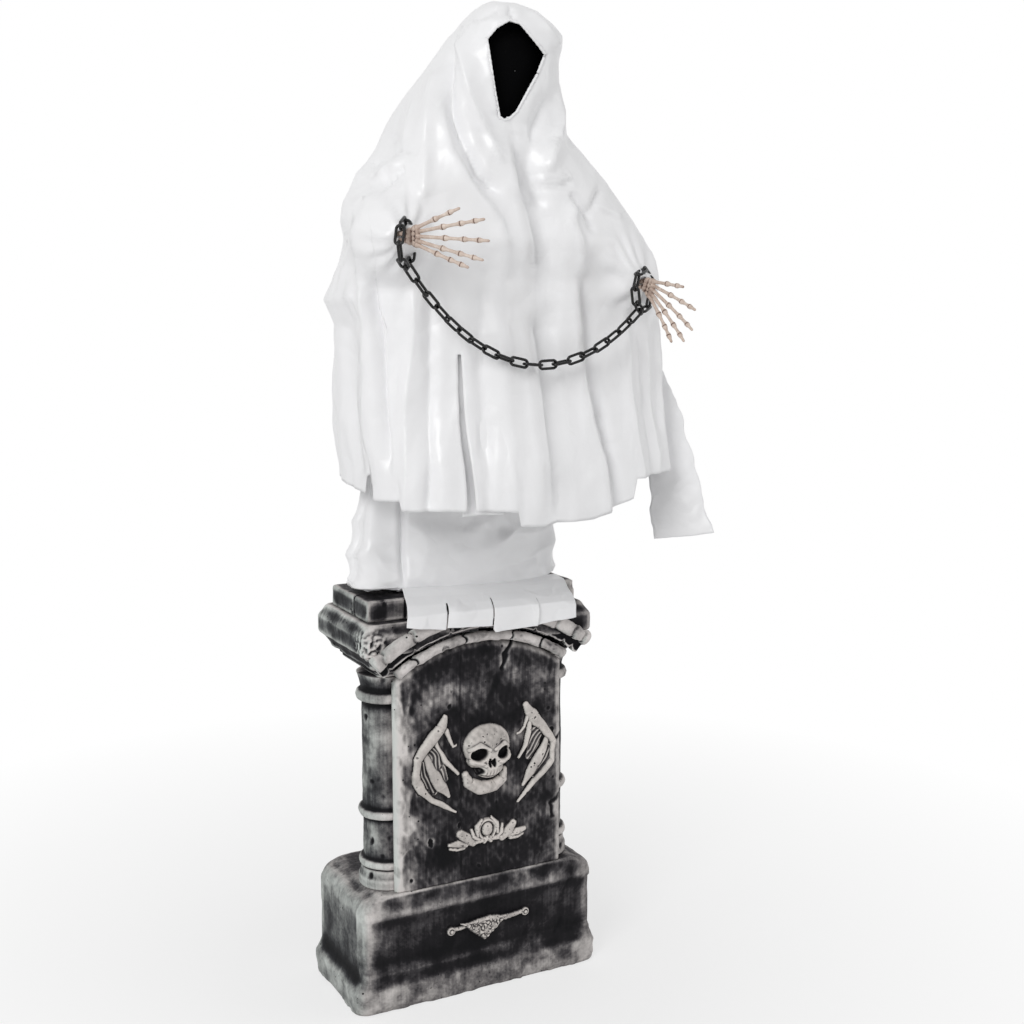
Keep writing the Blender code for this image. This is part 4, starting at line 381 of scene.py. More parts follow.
crack += 0.0022 * np.exp(-((x - crack_x) / 0.0022) ** 2) * (y < 0) * (z > 0.06) * (z < 0.176)
inward = foot * rock + (1 - foot) * (dents + ledge * (y < -0.08)) + chips + crack
inward = np.where(at_back, 0.0002, np.where(z < 0.012, np.minimum(inward, 0.0030), inward))
# the doorway's and the switch slot's rows and columns stay where their edges are
for low, high in ((0.0640, 0.1268), (0.0870, 0.1030)):
    for line in (low, high):
        row = np.abs(height - line).argmin()
        points[row, ..., 2] = np.where(at_back[row], line, points[row, ..., 2])
points = points - normal * inward[..., None]
points[..., 2] = np.maximum(points[..., 2], 0.0)
x, y, z = np.moveaxis(points, -1, 0)
middle = (points[:-1] + points[1:]) / 2
middle = (middle + np.roll(middle, -1, 1)) / 2
door = (np.abs(middle[..., 0]) < doorway_x) & (middle[..., 2] > 0.064) & (middle[..., 2] < 0.1268)
slot = (np.abs(middle[..., 0] - 0.12) < 0.0036) & (middle[..., 2] > 0.087) & (middle[..., 2] < 0.103)
keep = ~((door | slot) & (middle[..., 1] > 0.09))
stain = 0.20 * foot * smooth_step(swell(points, 0.08, 9), -2.6, 0.0) - 0.03
stain += 0.05 * foot * swell(points, 0.025, 14)
stain += 0.04 * edge * smooth_step(swell(points, 0.07, 12), -1.5, 1.0) - 0.02 * (y < -0.07) * (1 - foot) * (1 - edge)
stain += 0.16 * smooth_step(z, 0.110, 0.170) * (1 - edge) * (y < -0.07) * smooth_step(
    swell(points, 0.09, 13), -1.2, 0.9)
# painted highlight: a lighter line along the lip of the ledge, where the light catches it
stain += 0.10 * np.exp(-((z - 0.0655 - 0.004 * np.sin(x * 14)) / 0.0035) ** 2) * (y < -0.09)
stain += np.where(y < -0.07, blots(x, z, ((-0.200, 0.15, 0.03, 0.22), (-0.12, 0.06, 0.05, -0.10),
                                          (0.02, 0.055, 0.12, -0.12), (0.15, 0.08, 0.06, -0.10),
                                          (-0.16, 0.09, 0.03, -0.05), (0.00, 0.150, 0.05, -0.08),
                                          (0.04, 0.08, 0.03, 0.09), (0.0, 0.105, 0.07, -0.04),
                                          (-0.17, 0.12, 0.03, 0.12), (-0.09, 0.14, 0.025, 0.10),
                                          (0.13, 0.14, 0.03, 0.10), (0.18, 0.10, 0.025, 0.10),
                                          (-0.14, 0.055, 0.03, 0.12), (0.10, 0.055, 0.03, 0.06))), 0.0)
stain += np.where(x < -0.19, blots(y, z, ((-0.02, 0.12, 0.05, 0.14), (0.05, 0.15, 0.05, 0.16),
                                          (0.0, 0.055, 0.03, -0.06))), 0.0)
wear = np.minimum(eased(worn(points, wrap_v=True), 8, wrap_v=True), 0.80)
wear += 0.70 * foot * (0.66 - wear)
plinth = skin("plinth", points, keep, wrap_v=True, wear=wear, stain=stain)
plinth.data.materials.append(plinth_stone)
wall(plinth, foam_wall)
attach(plinth, "tombstone")
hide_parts("plinth_shell")


# ---------------------------------------------------------------- Core of the stele
# A plain hollow box of the same foam plastic, narrow between the columns and wide behind
# them.  It carries the cornice, and the panel is glued on its front.

def outline(corners, step):
    """Points laid evenly round a closed outline, with one on each corner."""
    runs = []
    for start, end in zip(corners, corners[1:] + corners[:1]):
        count = max(int(math.dist(start, end) / step), 1)
        runs.append(np.linspace(start, end, count, endpoint=False))
    return np.vstack(runs)


def upright(flat, heights):
    """A grid whose rows are one outline at several heights."""
    return stacked(np.repeat(flat[None], len(heights), 0), heights)


stele_stone = stone_finish("stele_stone", streaks=0.17, lift=0.02)
half = [(0.118, 0.0148), (0.118, 0.0750)], [(-0.118, 0.0750), (-0.118, 0.0148)]
corners = [(0.0865, -0.0815), (0.0865, 0.0148), *half[0], *half[1], (-0.0865, 0.0148), (-0.0865, -0.0815)]
points = upright(outline(corners, 0.0045), np.linspace(0.1905, 0.5345, 78))
points -= facing(points, wrap_v=True) * (0.0006 * (1 + swell(points, 0.05, 21)) + 0.0002)[..., None]
core = skin("core", points, wrap_v=True, wear=worn(points, wrap_v=True) - 0.04,
            stain=0.05 * swell(points, 0.08, 22))
core.data.materials.append(stele_stone)
wall(core, foam_wall)
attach(core, "tombstone")
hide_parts("stele_core")


# ---------------------------------------------------------------- Columns
# Turned half-round columns of foam plastic, glued between the plinth and the cornice: a
# flared base, three worn rings, chips down the shaft and a cap that spreads at the top.

def lathe(keys, step, turns, centre):
    """A turned shape from rows of (radius, height). Its rows run from the lowest to the highest."""
    radius, height = even(keys, step).T
    turn = np.linspace(0, 2 * math.pi, turns, endpoint=False)
    flat = np.outer(radius, np.cos(turn)) + centre[0], np.outer(radius, np.sin(turn)) + centre[1]
    return np.dstack([*flat, np.broadcast_to(height[:, None], flat[0].shape)])


column_keys = [(0.0001, 0.1905), (0.0478, 0.1905), (0.0482, 0.2040), (0.0462, 0.2080), (0.0440, 0.2190),
               (0.0402, 0.2205), (0.0402, 0.2215), (0.0470, 0.2240), (0.0484, 0.2285), (0.0466, 0.2335),
               (0.0404, 0.2360), (0.0396, 0.2700), (0.0400, 0.3030), (0.0462, 0.3055), (0.0482, 0.3110),
               (0.0464, 0.3160), (0.0402, 0.3190), (0.0398, 0.4000), (0.0392, 0.4880), (0.0410, 0.4905),
               (0.0470, 0.4930), (0.0486, 0.4990), (0.0462, 0.5060), (0.0412, 0.5090), (0.0408, 0.5140),
               (0.0430, 0.5220), (0.0470, 0.5345), (0.0001, 0.5345)]
for name, column_x, seed in (("column_left", -0.135, 31), ("column_right", 0.135, 37)):
    points = lathe(column_keys, 0.0022, 112, (column_x, -0.034))
    height = points[..., 2]
    radial = points - (column_x, -0.034, 0.0)
    radial[..., 2] = 0
    radial /= np.maximum(np.linalg.norm(radial, axis=-1), 1e-9)[..., None]
    chip = 0.0022 * smooth_step(swell(points * (1, 1, 0.8), 0.018, seed), 1.2, 2.0)
    inward = 0.0005 * (1 + swell(points, 0.04, seed + 1)) + 0.00008 * (1 + swell(points, 0.010, seed + 2)) + chip
    middle = (height > 0.1910) & (height < 0.5340)
    shaped = points - radial * (inward * middle)[..., None]
    # painted shade: each column is darker from just under its top ring up, except at the back, under the cornice
    column = welded(skin(name, shaped, wrap_v=True, wear=eased(worn(shaped, wrap_v=True), 2, wrap_v=True),
                         stain=-0.01 - 0.10 * smooth_step(height, 0.47, 0.49) * (radial[..., 1] < 0.2)
                         + 0.06 * swell(points, 0.05, seed + 3)))
    column.data.materials.append(stele_stone)
    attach(column, "tombstone")
    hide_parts(name)


# ---------------------------------------------------------------- Front panel
# One thick moulded plate with an arched head, glued on the core's front.  Its left edge is
# broken and paler, and under the arch and round the carvings it is darker: painted shade over the wash.

def slab(name, front, back, keep=None, **attributes):
    """A closed solid between two grids that face -Y, rows running up and columns towards +X, rims between them."""
    rows, columns, count = front.shape[0] - 1, front.shape[1] - 1, front.shape[0] * front.shape[1]
    quads = cells(rows + 1, columns + 1)
    keep = np.ones((rows, columns), bool) if keep is None else keep
    faces = [quads[keep], quads[keep][:, ::-1] + count]
    around_it = np.pad(keep, 1)
    for shift_row, shift_column, p, q in ((-1, 0, 0, 1), (0, 1, 1, 2), (1, 0, 2, 3), (0, -1, 3, 0)):
        beside = around_it[1 + shift_row:1 + rows + shift_row, 1 + shift_column:1 + columns + shift_column]
        rim = quads[keep & ~beside]
        faces.append(np.stack([rim[:, q], rim[:, p], rim[:, p] + count, rim[:, q] + count], -1))
    both = {key: np.concatenate([np.ravel(v), np.ravel(v)]) for key, v in attributes.items()}
    return mesh_object(name, np.vstack([front.reshape(-1, 3), back.reshape(-1, 3)]), np.vstack(faces), **both)


def path_distance(x, z, path):
    """How far each place lies from a line of points, how far along it its nearest point is, and on which side.

    The place along the line goes from 0 to 1, and the side is positive on the line's left.
    """
    path = np.array(path, float)
    lengths = np.hypot(*np.diff(path, axis=0).T)
    run = np.r_[0, np.cumsum(lengths)] / lengths.sum()
    best, share, side = np.full_like(x, 9.0), np.zeros_like(x), np.zeros_like(x)
    for start, end, low, high in zip(path, path[1:], run, run[1:]):
        step = end - start
        t = np.clip(((x - start[0]) * step[0] + (z - start[1]) * step[1]) / (step @ step), 0, 1)
        off = np.hypot(x - start[0] - t * step[0], z - start[1] - t * step[1])
        share = np.where(off < best, low + (high - low) * t, share)
        side = np.where(off < best, step[0] * (z - start[1]) - step[1] * (x - start[0]), side)
        best = np.minimum(best, off)
    return best, share, side


arch_z, panel_half, panel_y = 0.333, 0.147, -0.095
across = np.linspace(-panel_half, panel_half, 165)
up = np.linspace(0, 1, 216)[:, None]
crown = arch_z + np.sqrt(0.2455 ** 2 - across ** 2)
x, z = np.broadcast_to(across, (216, 165)), 0.1903 + up * (crown - 0.1903)
place = np.dstack([x, np.full_like(x, panel_y), z])
to_edge = np.minimum(panel_half - np.abs(x), crown - z)
round_edge = 0.010 - np.sqrt(np.maximum(0.010 ** 2 - np.clip(0.010 - to_edge, 0, 0.0098) ** 2, 0))
broken = smooth_step(-x, 0.108, 0.136)
deep = round_edge + 0.0007 * (1 + swell(place, 0.06, 41)) + 0.00025 * (1 + swell(place, 0.012, 42))
deep += broken * 0.0018 * np.abs(swell(place * (1, 1, 0.5), 0.028, 43))
deep += 0.0020 * smooth_step(swell(place, 0.020, 44), 1.55, 2.1)
for path, width, depth in ((((0.0572, 0.5700), (0.0440, 0.5540), (0.0393, 0.5297)), 0.0030, 0.0036),
                           (((0.0393, 0.5297), (0.0250, 0.5060), (0.0150, 0.4800)), 0.0060, 0.0012),
                           (((0.1440, 0.4060), (0.1300, 0.3900), (0.1240, 0.3700)), 0.0026, 0.0022),
                           (((-0.0354, 0.5600), (-0.0359, 0.2000)), 0.0009, 0.0004),
                           (((0.1460, 0.3020), (0.1280, 0.2900), (0.1310, 0.2680)), 0.0034, 0.0026)):
    off, _, _ = path_distance(x + 0.0012 * swell(place, 0.014, 45), z, path)
    deep += depth * np.exp(-(off / width) ** 2)
front = place + np.dstack([np.zeros_like(x), deep, np.zeros_like(x)])
back = np.dstack([x, np.full_like(x, -0.0825), z])
# painted shade: the panel is darker under the arch rolls, less so on the right
shade_under_arch = smooth_step(z - crown, -0.075, -0.012) * (1 - 0.45 * smooth_step(x, 0.03, 0.11))
stain = 0.06 * swell(place, 0.05, 46) - 0.20 * shade_under_arch + 0.26 * smooth_step(
    -x + 0.006 * swell(place * (1, 1, 0.6), 0.05, 47), 0.104, 0.134)
stain -= 0.24 * smooth_step(-x, 0.100, 0.120) * smooth_step(swell(place * (1, 1, 0.45), 0.024, 48), 0.5, 1.4)
# lighter and darker patches; the dark spots round the skull, the wings and the flower are painted shade over the wash
stain += blots(x, z, ((0.024, 0.505, 0.016, -0.16), (0.050, 0.487, 0.014, -0.14), (0.080, 0.492, 0.012, -0.10),
                      (0.062, 0.522, 0.022, 0.14), (0.108, 0.500, 0.022, 0.10), (-0.095, 0.500, 0.030, 0.12),
                      (-0.060, 0.485, 0.030, 0.08), (-0.110, 0.400, 0.016, 0.10), (-0.045, 0.470, 0.014, -0.26),
                      (-0.030, 0.445, 0.026, -0.24), (-0.070, 0.375, 0.028, -0.16), (0.010, 0.448, 0.030, -0.16),
                      (0.058, 0.445, 0.018, -0.22), (0.100, 0.455, 0.016, -0.20), (0.085, 0.375, 0.030, -0.16),
                      (0.012, 0.330, 0.030, -0.08), (0.050, 0.330, 0.030, 0.06), (-0.040, 0.310, 0.030, 0.06),
                      (0.010, 0.265, 0.075, -0.14), (-0.075, 0.250, 0.030, -0.10), (0.120, 0.300, 0.022, -0.10),
                      (-0.115, 0.330, 0.016, -0.14), (0.010, 0.215, 0.090, -0.06)))
panel = slab("panel", front, back, wear=worn(front), stain=stain)
panel.data.materials.append(stele_stone)
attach(panel, "tombstone")
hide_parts("stele_panel")


# ---------------------------------------------------------------- Cornice and top block
# A stepped cornice moulded in one hollow piece, its front cut away for the arch, with a
# clump of worn lace-like carving on its left corner, and a jointed block on top.

def corner_values(values):
    """The values at the four corners of each cell of a grid that closes round its columns."""
    beside = np.roll(values, -1, 1)
    return values[:-1], values[1:], beside[:-1], beside[1:]


cornice_stone = stone_finish("cornice_stone", streaks=0.04, lift=0.02)
cornice_keys = ((0.1500, 0.0620, 0.006, 0.0, 0.5352), (0.1640, 0.0770, 0.008, 0.0, 0.5352),
                (0.1665, 0.0790, 0.008, 0.0, 0.5375), (0.1665, 0.0790, 0.008, 0.0, 0.5410),
                (0.1700, 0.0810, 0.008, 0.0, 0.5430), (0.1700, 0.0810, 0.008, 0.0, 0.5465),
                (0.1770, 0.0850, 0.009, 0.0, 0.5500), (0.1815, 0.0868, 0.010, 0.0, 0.5540),
                (0.1830, 0.0880, 0.010, 0.0, 0.5600), (0.1900, 0.0960, 0.012, 0.0, 0.5700),
                (0.1985, 0.1035, 0.012, 0.0, 0.5760), (0.1998, 0.1044, 0.012, 0.0, 0.5800),
                (0.1998, 0.1044, 0.012, 0.0, 0.6030), (0.1980, 0.1030, 0.012, 0.0, 0.6070),
                (0.1940, 0.0985, 0.012, 0.0, 0.6130), (0.1900, 0.0945, 0.012, 0.0, 0.6205),
                (0.1860, 0.0900, 0.012, 0.0, 0.6220), (0.1000, 0.0500, 0.008, 0.0, 0.6220))
half_x, half_y, corner, run, height = even([(a, b, c, a, z) for a, b, c, _, z in cornice_keys], 0.0021).T
stations_x = np.linspace(-1, 1, 151)
flat = around(half_x, half_y, corner, stations_x, np.linspace(-1, 1, 75), bends=9)
points = stacked(flat, height)
x, y, z = np.moveaxis(points, -1, 0)
normal = facing(points, wrap_v=True)
open_part = (z > 0.5356) & (z < 0.6215)
inward = 0.0006 * (1 + swell(points, 0.05, 51)) + 0.00012 * (1 + swell(points, 0.011, 52))
inward += 0.0022 * smooth_step(swell(points, 0.022, 53), 1.2, 2.0)
lace = np.exp(-(((x + 0.186) / 0.020) ** 2 + ((z - 0.588) / 0.020) ** 2 + ((y + 0.095) / 0.022) ** 2))
inward -= 0.0042 * lace * np.clip(swell(points, 0.0080, 54) * 1.6, -0.8, 0.7)
shaped = points - normal * (inward * open_part)[..., None]
stain = 0.06 * swell(points, 0.05, 55) + 0.22 * lace - 0.12 * (y < -0.05) * (x > -0.15) * (z > 0.55)
stain -= 0.06 * (x < -0.15) * (y > -0.08) * (z < 0.56)
inner = np.minimum.reduce(corner_values(np.hypot(x, z - arch_z)))
behind = np.maximum.reduce(corner_values(y))
cornice = skin("cornice", shaped, (inner > 0.266) | (behind > -0.0815), wrap_v=True,
               wear=eased(worn(shaped, wrap_v=True), 1, wrap_v=True), stain=stain)
cornice.data.materials.append(cornice_stone)
wall(cornice, 0.0030)
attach(cornice, "tombstone")
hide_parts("cornice")

block_keys = ((0.1500, 0.0500, 0.004, 0.0, 0.6226), (0.1800, 0.0730, 0.004, 0.0, 0.6226),
              (0.1815, 0.0745, 0.004, 0.0, 0.6250), (0.1815, 0.0745, 0.004, 0.0, 0.6500),
              (0.1800, 0.0735, 0.004, 0.0, 0.6545), (0.1770, 0.0700, 0.004, 0.0, 0.6552),
              (0.0155, 0.0155, 0.001, 0.0, 0.6552), (0.0155, 0.0155, 0.001, 0.0, 0.6226),
              (0.1500, 0.0500, 0.004, 0.0, 0.6226))
half_x, half_y, corner, run, height = even([(a, b, c, a, z) for a, b, c, _, z in block_keys], 0.0021).T
flat = around(half_x, half_y, corner, np.linspace(-1, 1, 121), np.linspace(-1, 1, 51), bends=5)
points = stacked(flat, height)
x, y, z = np.moveaxis(points, -1, 0)
outside = smooth_step(np.maximum(np.abs(x) / 0.1815, np.abs(y) / 0.0745), 0.93, 0.985) * (z > 0.6230)
joints = np.zeros_like(x)
for place_x, place_y in ((-0.118, None), (0.120, None), (None, -0.020)):
    off = np.abs(x - place_x) if place_y is None else np.abs(y - place_y) + 9 * (np.abs(x) < 0.15)
    off = off + 0.0012 * swell(points, 0.02, 57) + (9 * (np.abs(y) < 0.06) if place_y is None else 0)
    joints += np.exp(-(off / 0.0018) ** 2)
inward = 0.0005 * (1 + swell(points, 0.04, 58)) + 0.0022 * joints
inward += 0.0015 * smooth_step(swell(points, 0.02, 59), 1, 2)
shaped = points - facing(points, wrap_v=True) * (inward * outside)[..., None]
block = welded(skin("block", shaped, wrap_v=True, wear=worn(shaped, wrap_v=True),
                    stain=0.05 * swell(points, 0.05, 60) - 0.05 * joints - 0.14 * (x < -0.15)))
block.data.materials.append(cornice_stone)
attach(block, "tombstone")
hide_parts("top_block")


# ---------------------------------------------------------------- Arch rolls
# Two bands of broken rolls follow the arch, moulded apart and glued on: a slim inner band,
# and a fat outer one over a dark cove, which curls at its left end and climbs at its right.

def arc_band(name, section, angles, joints, depth, seed, tone, knobs=()):
    """A closed section of (radius, y) points swept round the arch's centre, notched at its joints, its ends closed.

    Each knob is an angle, a width in radians and how much thicker the section is there.
    """
    radius, deep = (np.array(v)[:, None] for v in zip(*section))
    turn = angles[None]
    middle_r, middle_y = radius.mean(), deep.mean()
    knob = 1 + sum(size * np.exp(-((turn - at) / width) ** 2) for at, width, size in knobs)
    deep = middle_y + (deep - middle_y) * knob
    radius = middle_r + (radius - middle_r) * knob
    x, z = radius * np.sin(turn), arch_z + radius * np.cos(turn)
    points = np.dstack([x, deep + 0 * x, z])
    centre = points.mean(0, keepdims=True)
    outward = points - centre
    outward /= np.linalg.norm(outward, axis=-1)[..., None]
    notch = sum(np.exp(-((turn + 0.012 * np.sin(deep * 300 + k) - at) / 0.0075) ** 2) for k, at in enumerate(joints))
    broken = smooth_step(swell(points, 0.024, seed), 1.0, 1.9)
    inward = depth * notch + 0.0018 * broken + 0.0006 * (1 + swell(points, 0.03, seed + 1))
    inward += 0.0003 * (1 + swell(points, 0.009, seed + 2))
    shaped = points - outward * np.minimum(inward, 0.6 * np.linalg.norm(points - centre, axis=-1))[..., None]
    wear = worn(shaped, wrap_u=True)
    ends = [np.repeat(shaped[:, k].mean(0)[None], len(section), 0)[:, None] for k in (0, -1)]
    full = np.concatenate([ends[0], shaped, ends[1]], 1)
    wear = np.concatenate([wear[:, :1], wear, wear[:, -1:]], 1)
    notched = np.pad(np.broadcast_to(notch, x.shape), ((0, 0), (1, 1)))
    stain = tone + 0.10 * swell(full, 0.045, seed + 3) - 0.20 * notched
    return welded(skin(name, full, wrap_u=True, wear=wear, stain=stain))


turn = np.linspace(0, 2 * math.pi, 26, endpoint=False)
inner_section = np.stack([0.2548 + 0.0088 * np.cos(turn), -0.1000 + 0.0088 * np.sin(turn)], -1)
inner_roll = arc_band("inner_roll", inner_section, np.linspace(-0.61, 0.61, 300),
                      (-0.47, -0.12, 0.21, 0.42), 0.0026, 61, -0.06)
outer_section = [(0.2700, -0.0885), (0.2820, -0.0885), (0.3000, -0.0960), (0.3045, -0.1010), (0.3060, -0.1070),
                 (0.3050, -0.1125), (0.3018, -0.1168), (0.2975, -0.1194), (0.2925, -0.1198), (0.2880, -0.1180),
                 (0.2845, -0.1145), (0.2828, -0.1095), (0.2815, -0.1050), (0.2795, -0.1022), (0.2760, -0.1012),
                 (0.2725, -0.1020), (0.2700, -0.1042), (0.2685, -0.1035), (0.2680, -0.1000)][::-1]
outer_roll = arc_band("outer_roll", outer_section, np.linspace(-0.675, 0.675, 340),
                      (-0.615, -0.43, -0.20, -0.02, 0.17, 0.34, 0.455, 0.57, 0.635), 0.0044, 65, 0.05,
                      ((-0.655, 0.020, 0.16), (0.603, 0.016, 0.10), (0.660, 0.014, 0.14)))
for piece, solid in ((inner_roll, "arch_inner_roll"), (outer_roll, "arch_outer_moulding")):
    piece.data.materials.append(cornice_stone)
    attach(piece, "tombstone")
    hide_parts(solid)


# ---------------------------------------------------------------- Carvings
# A skull between two bone wings, a flower under them and a scroll on the plinth: each is a
# thin casting with a flat back, glued on, dry brushed pale and dark in its hollows, with painted shade in the skull's
# deepest ones.

def field(low_x, high_x, low_z, high_z, step=0.0009):
    """The x and z of every point of a flat grid, and the same points in space, which the noise is read at."""
    x, z = np.meshgrid(np.arange(low_x, high_x + step / 2, step), np.arange(low_z, high_z + step / 2, step))
    return x, z, np.dstack([x, np.zeros_like(x), z])


def rod(x, z, path, widths, height):
    """The height of a round ridge along a path; its half width goes from one of widths to the next on the way."""
    off, share, _ = path_distance(x, z, path)
    half = np.interp(share, np.linspace(0, 1, len(widths)), widths)
    return height * np.sqrt(np.clip(1 - (off / half) ** 2, 0, 1)) * np.clip(half / max(widths), 0.35, 1)


def dome(x, z, centre, radii, height, power=0.5):
    """The height of a round hill with oval feet."""
    return height * np.clip(1 - ((x - centre[0]) / radii[0]) ** 2 - ((z - centre[1]) / radii[1]) ** 2, 0, 1) ** power


def carving(name, solid, x, z, height, face_y, stain=0.0):
    """A flat-backed casting on a face at face_y, kept where its height is over half a millimetre."""
    high = np.maximum(height, 0.0)
    high = high + 0.35 * (eased(high, 2) - high)
    front = np.dstack([x, face_y - 0.0004 - high, z])
    inside = high > 0.0005
    keep = inside[:-1, :-1] | inside[1:, :-1] | inside[:-1, 1:] | inside[1:, 1:]
    back = np.dstack([x, np.full_like(x, face_y + 0.0012), z])
    made = slab(name, front, back, keep, wear=worn(front, 0.0011, 3, 16), stain=stain + 0.16 + 0 * x)
    made.data.materials.append(bone_stone)
    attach(made, "tombstone")
    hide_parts(solid)


bone_stone = stone_finish("bone_stone", streaks=0.0, lift=0.10, tint=(1.0, 0.985, 0.96), side_shade=0.2)

x, z, place = field(-0.036, 0.058, 0.328, 0.447)
bulk = dome(x, z, (0.008, 0.4095), (0.041, 0.0345), 0.0205)
bulk = np.maximum(bulk, dome(x, z, (0.012, 0.3890), (0.0395, 0.0200), 0.0175))
bulk = np.maximum(bulk, dome(x, z, (0.012, 0.3740), (0.0250, 0.0190), 0.0200))
brow = rod(x, z, ((-0.026, 0.408), (-0.010, 0.4135), (0.006, 0.406)), (0.003, 0.006, 0.003), 0.004)
brow += rod(x, z, ((0.016, 0.406), (0.032, 0.4110), (0.046, 0.402)), (0.003, 0.006, 0.003), 0.004)
cheek = rod(x, z, ((-0.028, 0.388), (-0.012, 0.3845), (0.000, 0.380)), (0.004, 0.0055, 0.003), 0.0045)
cheek += rod(x, z, ((0.022, 0.380), (0.034, 0.3830), (0.047, 0.388)), (0.003, 0.0055, 0.004), 0.0045)
jaw = rod(x, z, ((-0.029, 0.366), (-0.024, 0.352), (-0.004, 0.3405), (0.020, 0.3405), (0.036, 0.350), (0.040, 0.364)),
          (0.006, 0.010, 0.0115, 0.0105, 0.009, 0.005), 0.0150)
high = np.maximum(bulk + (brow + cheek) * (bulk > 0.006), jaw)
socket_left = smooth_step(dome(x, z, (-0.0090, 0.3990), (0.0150, 0.0125), 1.0, 1.0), 0.0, 0.45)
socket_right = smooth_step(dome(x, z, (0.0330, 0.3970), (0.0125, 0.0125), 1.0, 1.0), 0.0, 0.45)
nose = smooth_step(dome(x, z, (0.0085, 0.3830), (0.0042, 0.0080), 1.0, 1.0), 0.0, 0.5)
nose = np.maximum(nose, smooth_step(dome(x, z, (0.0155, 0.3830), (0.0042, 0.0080), 1.0, 1.0), 0.0, 0.5))
gap = smooth_step(dome(x, z, (-0.0120, 0.3690), (0.0130, 0.0085), 1.0, 1.0), 0.0, 0.5)
line = np.exp(-((z - 0.3600 - 0.16 * (x - 0.012) ** 2 / 0.02) / 0.0016) ** 2) * (np.abs(x - 0.012) < 0.024)
teeth = np.exp(-((np.mod(x + 0.0004, 0.0056) - 0.0028) / 0.0008) ** 2) * np.exp(-((z - 0.3650) / 0.0050) ** 2)
pits = smooth_step(swell(place, 0.0060, 71), 1.35, 1.9)
high -= 0.0140 * np.maximum(socket_left, socket_right) + 0.0080 * nose + 0.0100 * gap
high -= 0.0035 * line + 0.0016 * teeth * (np.abs(x - 0.012) < 0.022) + 0.0018 * pits * (z > 0.38)
high += 0.0004 * swell(place, 0.009, 72)
high = np.where(bulk + jaw > 0.0008, np.maximum(high, 0.0012), 0.0)
# the eye sockets, the nose, the gap and the mouth line are darker: wash with painted shade in these deep hollows
carving("skull", "skull_relief", x, z, high, panel_y,
        0.05 - 0.46 * np.maximum(socket_left, socket_right) - 0.40 * np.maximum(nose, gap) - 0.3 * line - 0.2 * pits)

# the strokes of each wing: a path, its half widths and its height
left_wing = (
    (((-0.0627, 0.4655), (-0.0690, 0.4509), (-0.0862, 0.4330), (-0.1010, 0.4170), (-0.1110, 0.4020)),
     (0.0046, 0.0092, 0.0100, 0.0088, 0.0072), 0.0105),
    (((-0.1110, 0.4020), (-0.1130, 0.3860), (-0.1135, 0.3700), (-0.1050, 0.3522), (-0.0872, 0.3330),
      (-0.0666, 0.3189), (-0.0450, 0.3085)), (0.0072, 0.0062, 0.0080, 0.0062, 0.0050, 0.0040, 0.0022), 0.0085),
    (((-0.1000, 0.4080), (-0.0917, 0.3916), (-0.0817, 0.3705), (-0.0698, 0.3522), (-0.0589, 0.3350)),
     (0.0048, 0.0074, 0.0104, 0.0112, 0.0036), 0.0085),
    (((-0.0811, 0.4286), (-0.0754, 0.4148), (-0.0643, 0.3936), (-0.0520, 0.3783), (-0.0420, 0.3690)),
     (0.0045, 0.0042, 0.0050, 0.0042, 0.0025), 0.0070),
    (((-0.0620, 0.4420), (-0.0560, 0.4262), (-0.0490, 0.4150), (-0.0430, 0.4166)), (0.0050, 0.0032, 0.0024, 0.0016),
     0.0060))
right_wing = (
    (((0.0800, 0.4655), (0.0848, 0.4527), (0.0995, 0.4360), (0.1162, 0.4170), (0.1297, 0.3980)),
     (0.0050, 0.0096, 0.0094, 0.0078, 0.0062), 0.0105),
    (((0.1297, 0.3980), (0.1261, 0.3829), (0.1262, 0.3660), (0.1109, 0.3498), (0.0943, 0.3357), (0.0790, 0.3190),
      (0.0660, 0.3060)), (0.0062, 0.0054, 0.0070, 0.0060, 0.0050, 0.0038, 0.0022), 0.0085),
    (((0.1185, 0.4050), (0.1100, 0.3850), (0.0960, 0.3650), (0.0850, 0.3480), (0.0760, 0.3331)),
     (0.0044, 0.0072, 0.0092, 0.0078, 0.0028), 0.0085),
    (((0.0880, 0.4380), (0.0840, 0.4200), (0.0780, 0.3980), (0.0680, 0.3800)), (0.0040, 0.0046, 0.0040, 0.0022),
     0.0070),
    (((0.0830, 0.4460), (0.0770, 0.4290), (0.0700, 0.4210), (0.0655, 0.4200)), (0.0040, 0.0028, 0.0022, 0.0016),
     0.0060))
webs = {"wing_left": (((-0.1050, 0.3960), (-0.1000, 0.3760), (-0.0840, 0.3480)), (0.0120, 0.0150, 0.0080)),
        "wing_right": (((0.1200, 0.3900), (0.1120, 0.3715), (0.0943, 0.3480)), (0.0100, 0.0130, 0.0080))}
folds = {"wing_left": (((-0.0813, 0.4125), (-0.0770, 0.3894), (-0.0640, 0.3646)), (0.0120, 0.0120, 0.0060)),
         "wing_right": (((0.1000, 0.4200), (0.0940, 0.4000), (0.0850, 0.3780)), (0.0110, 0.0110, 0.0060))}
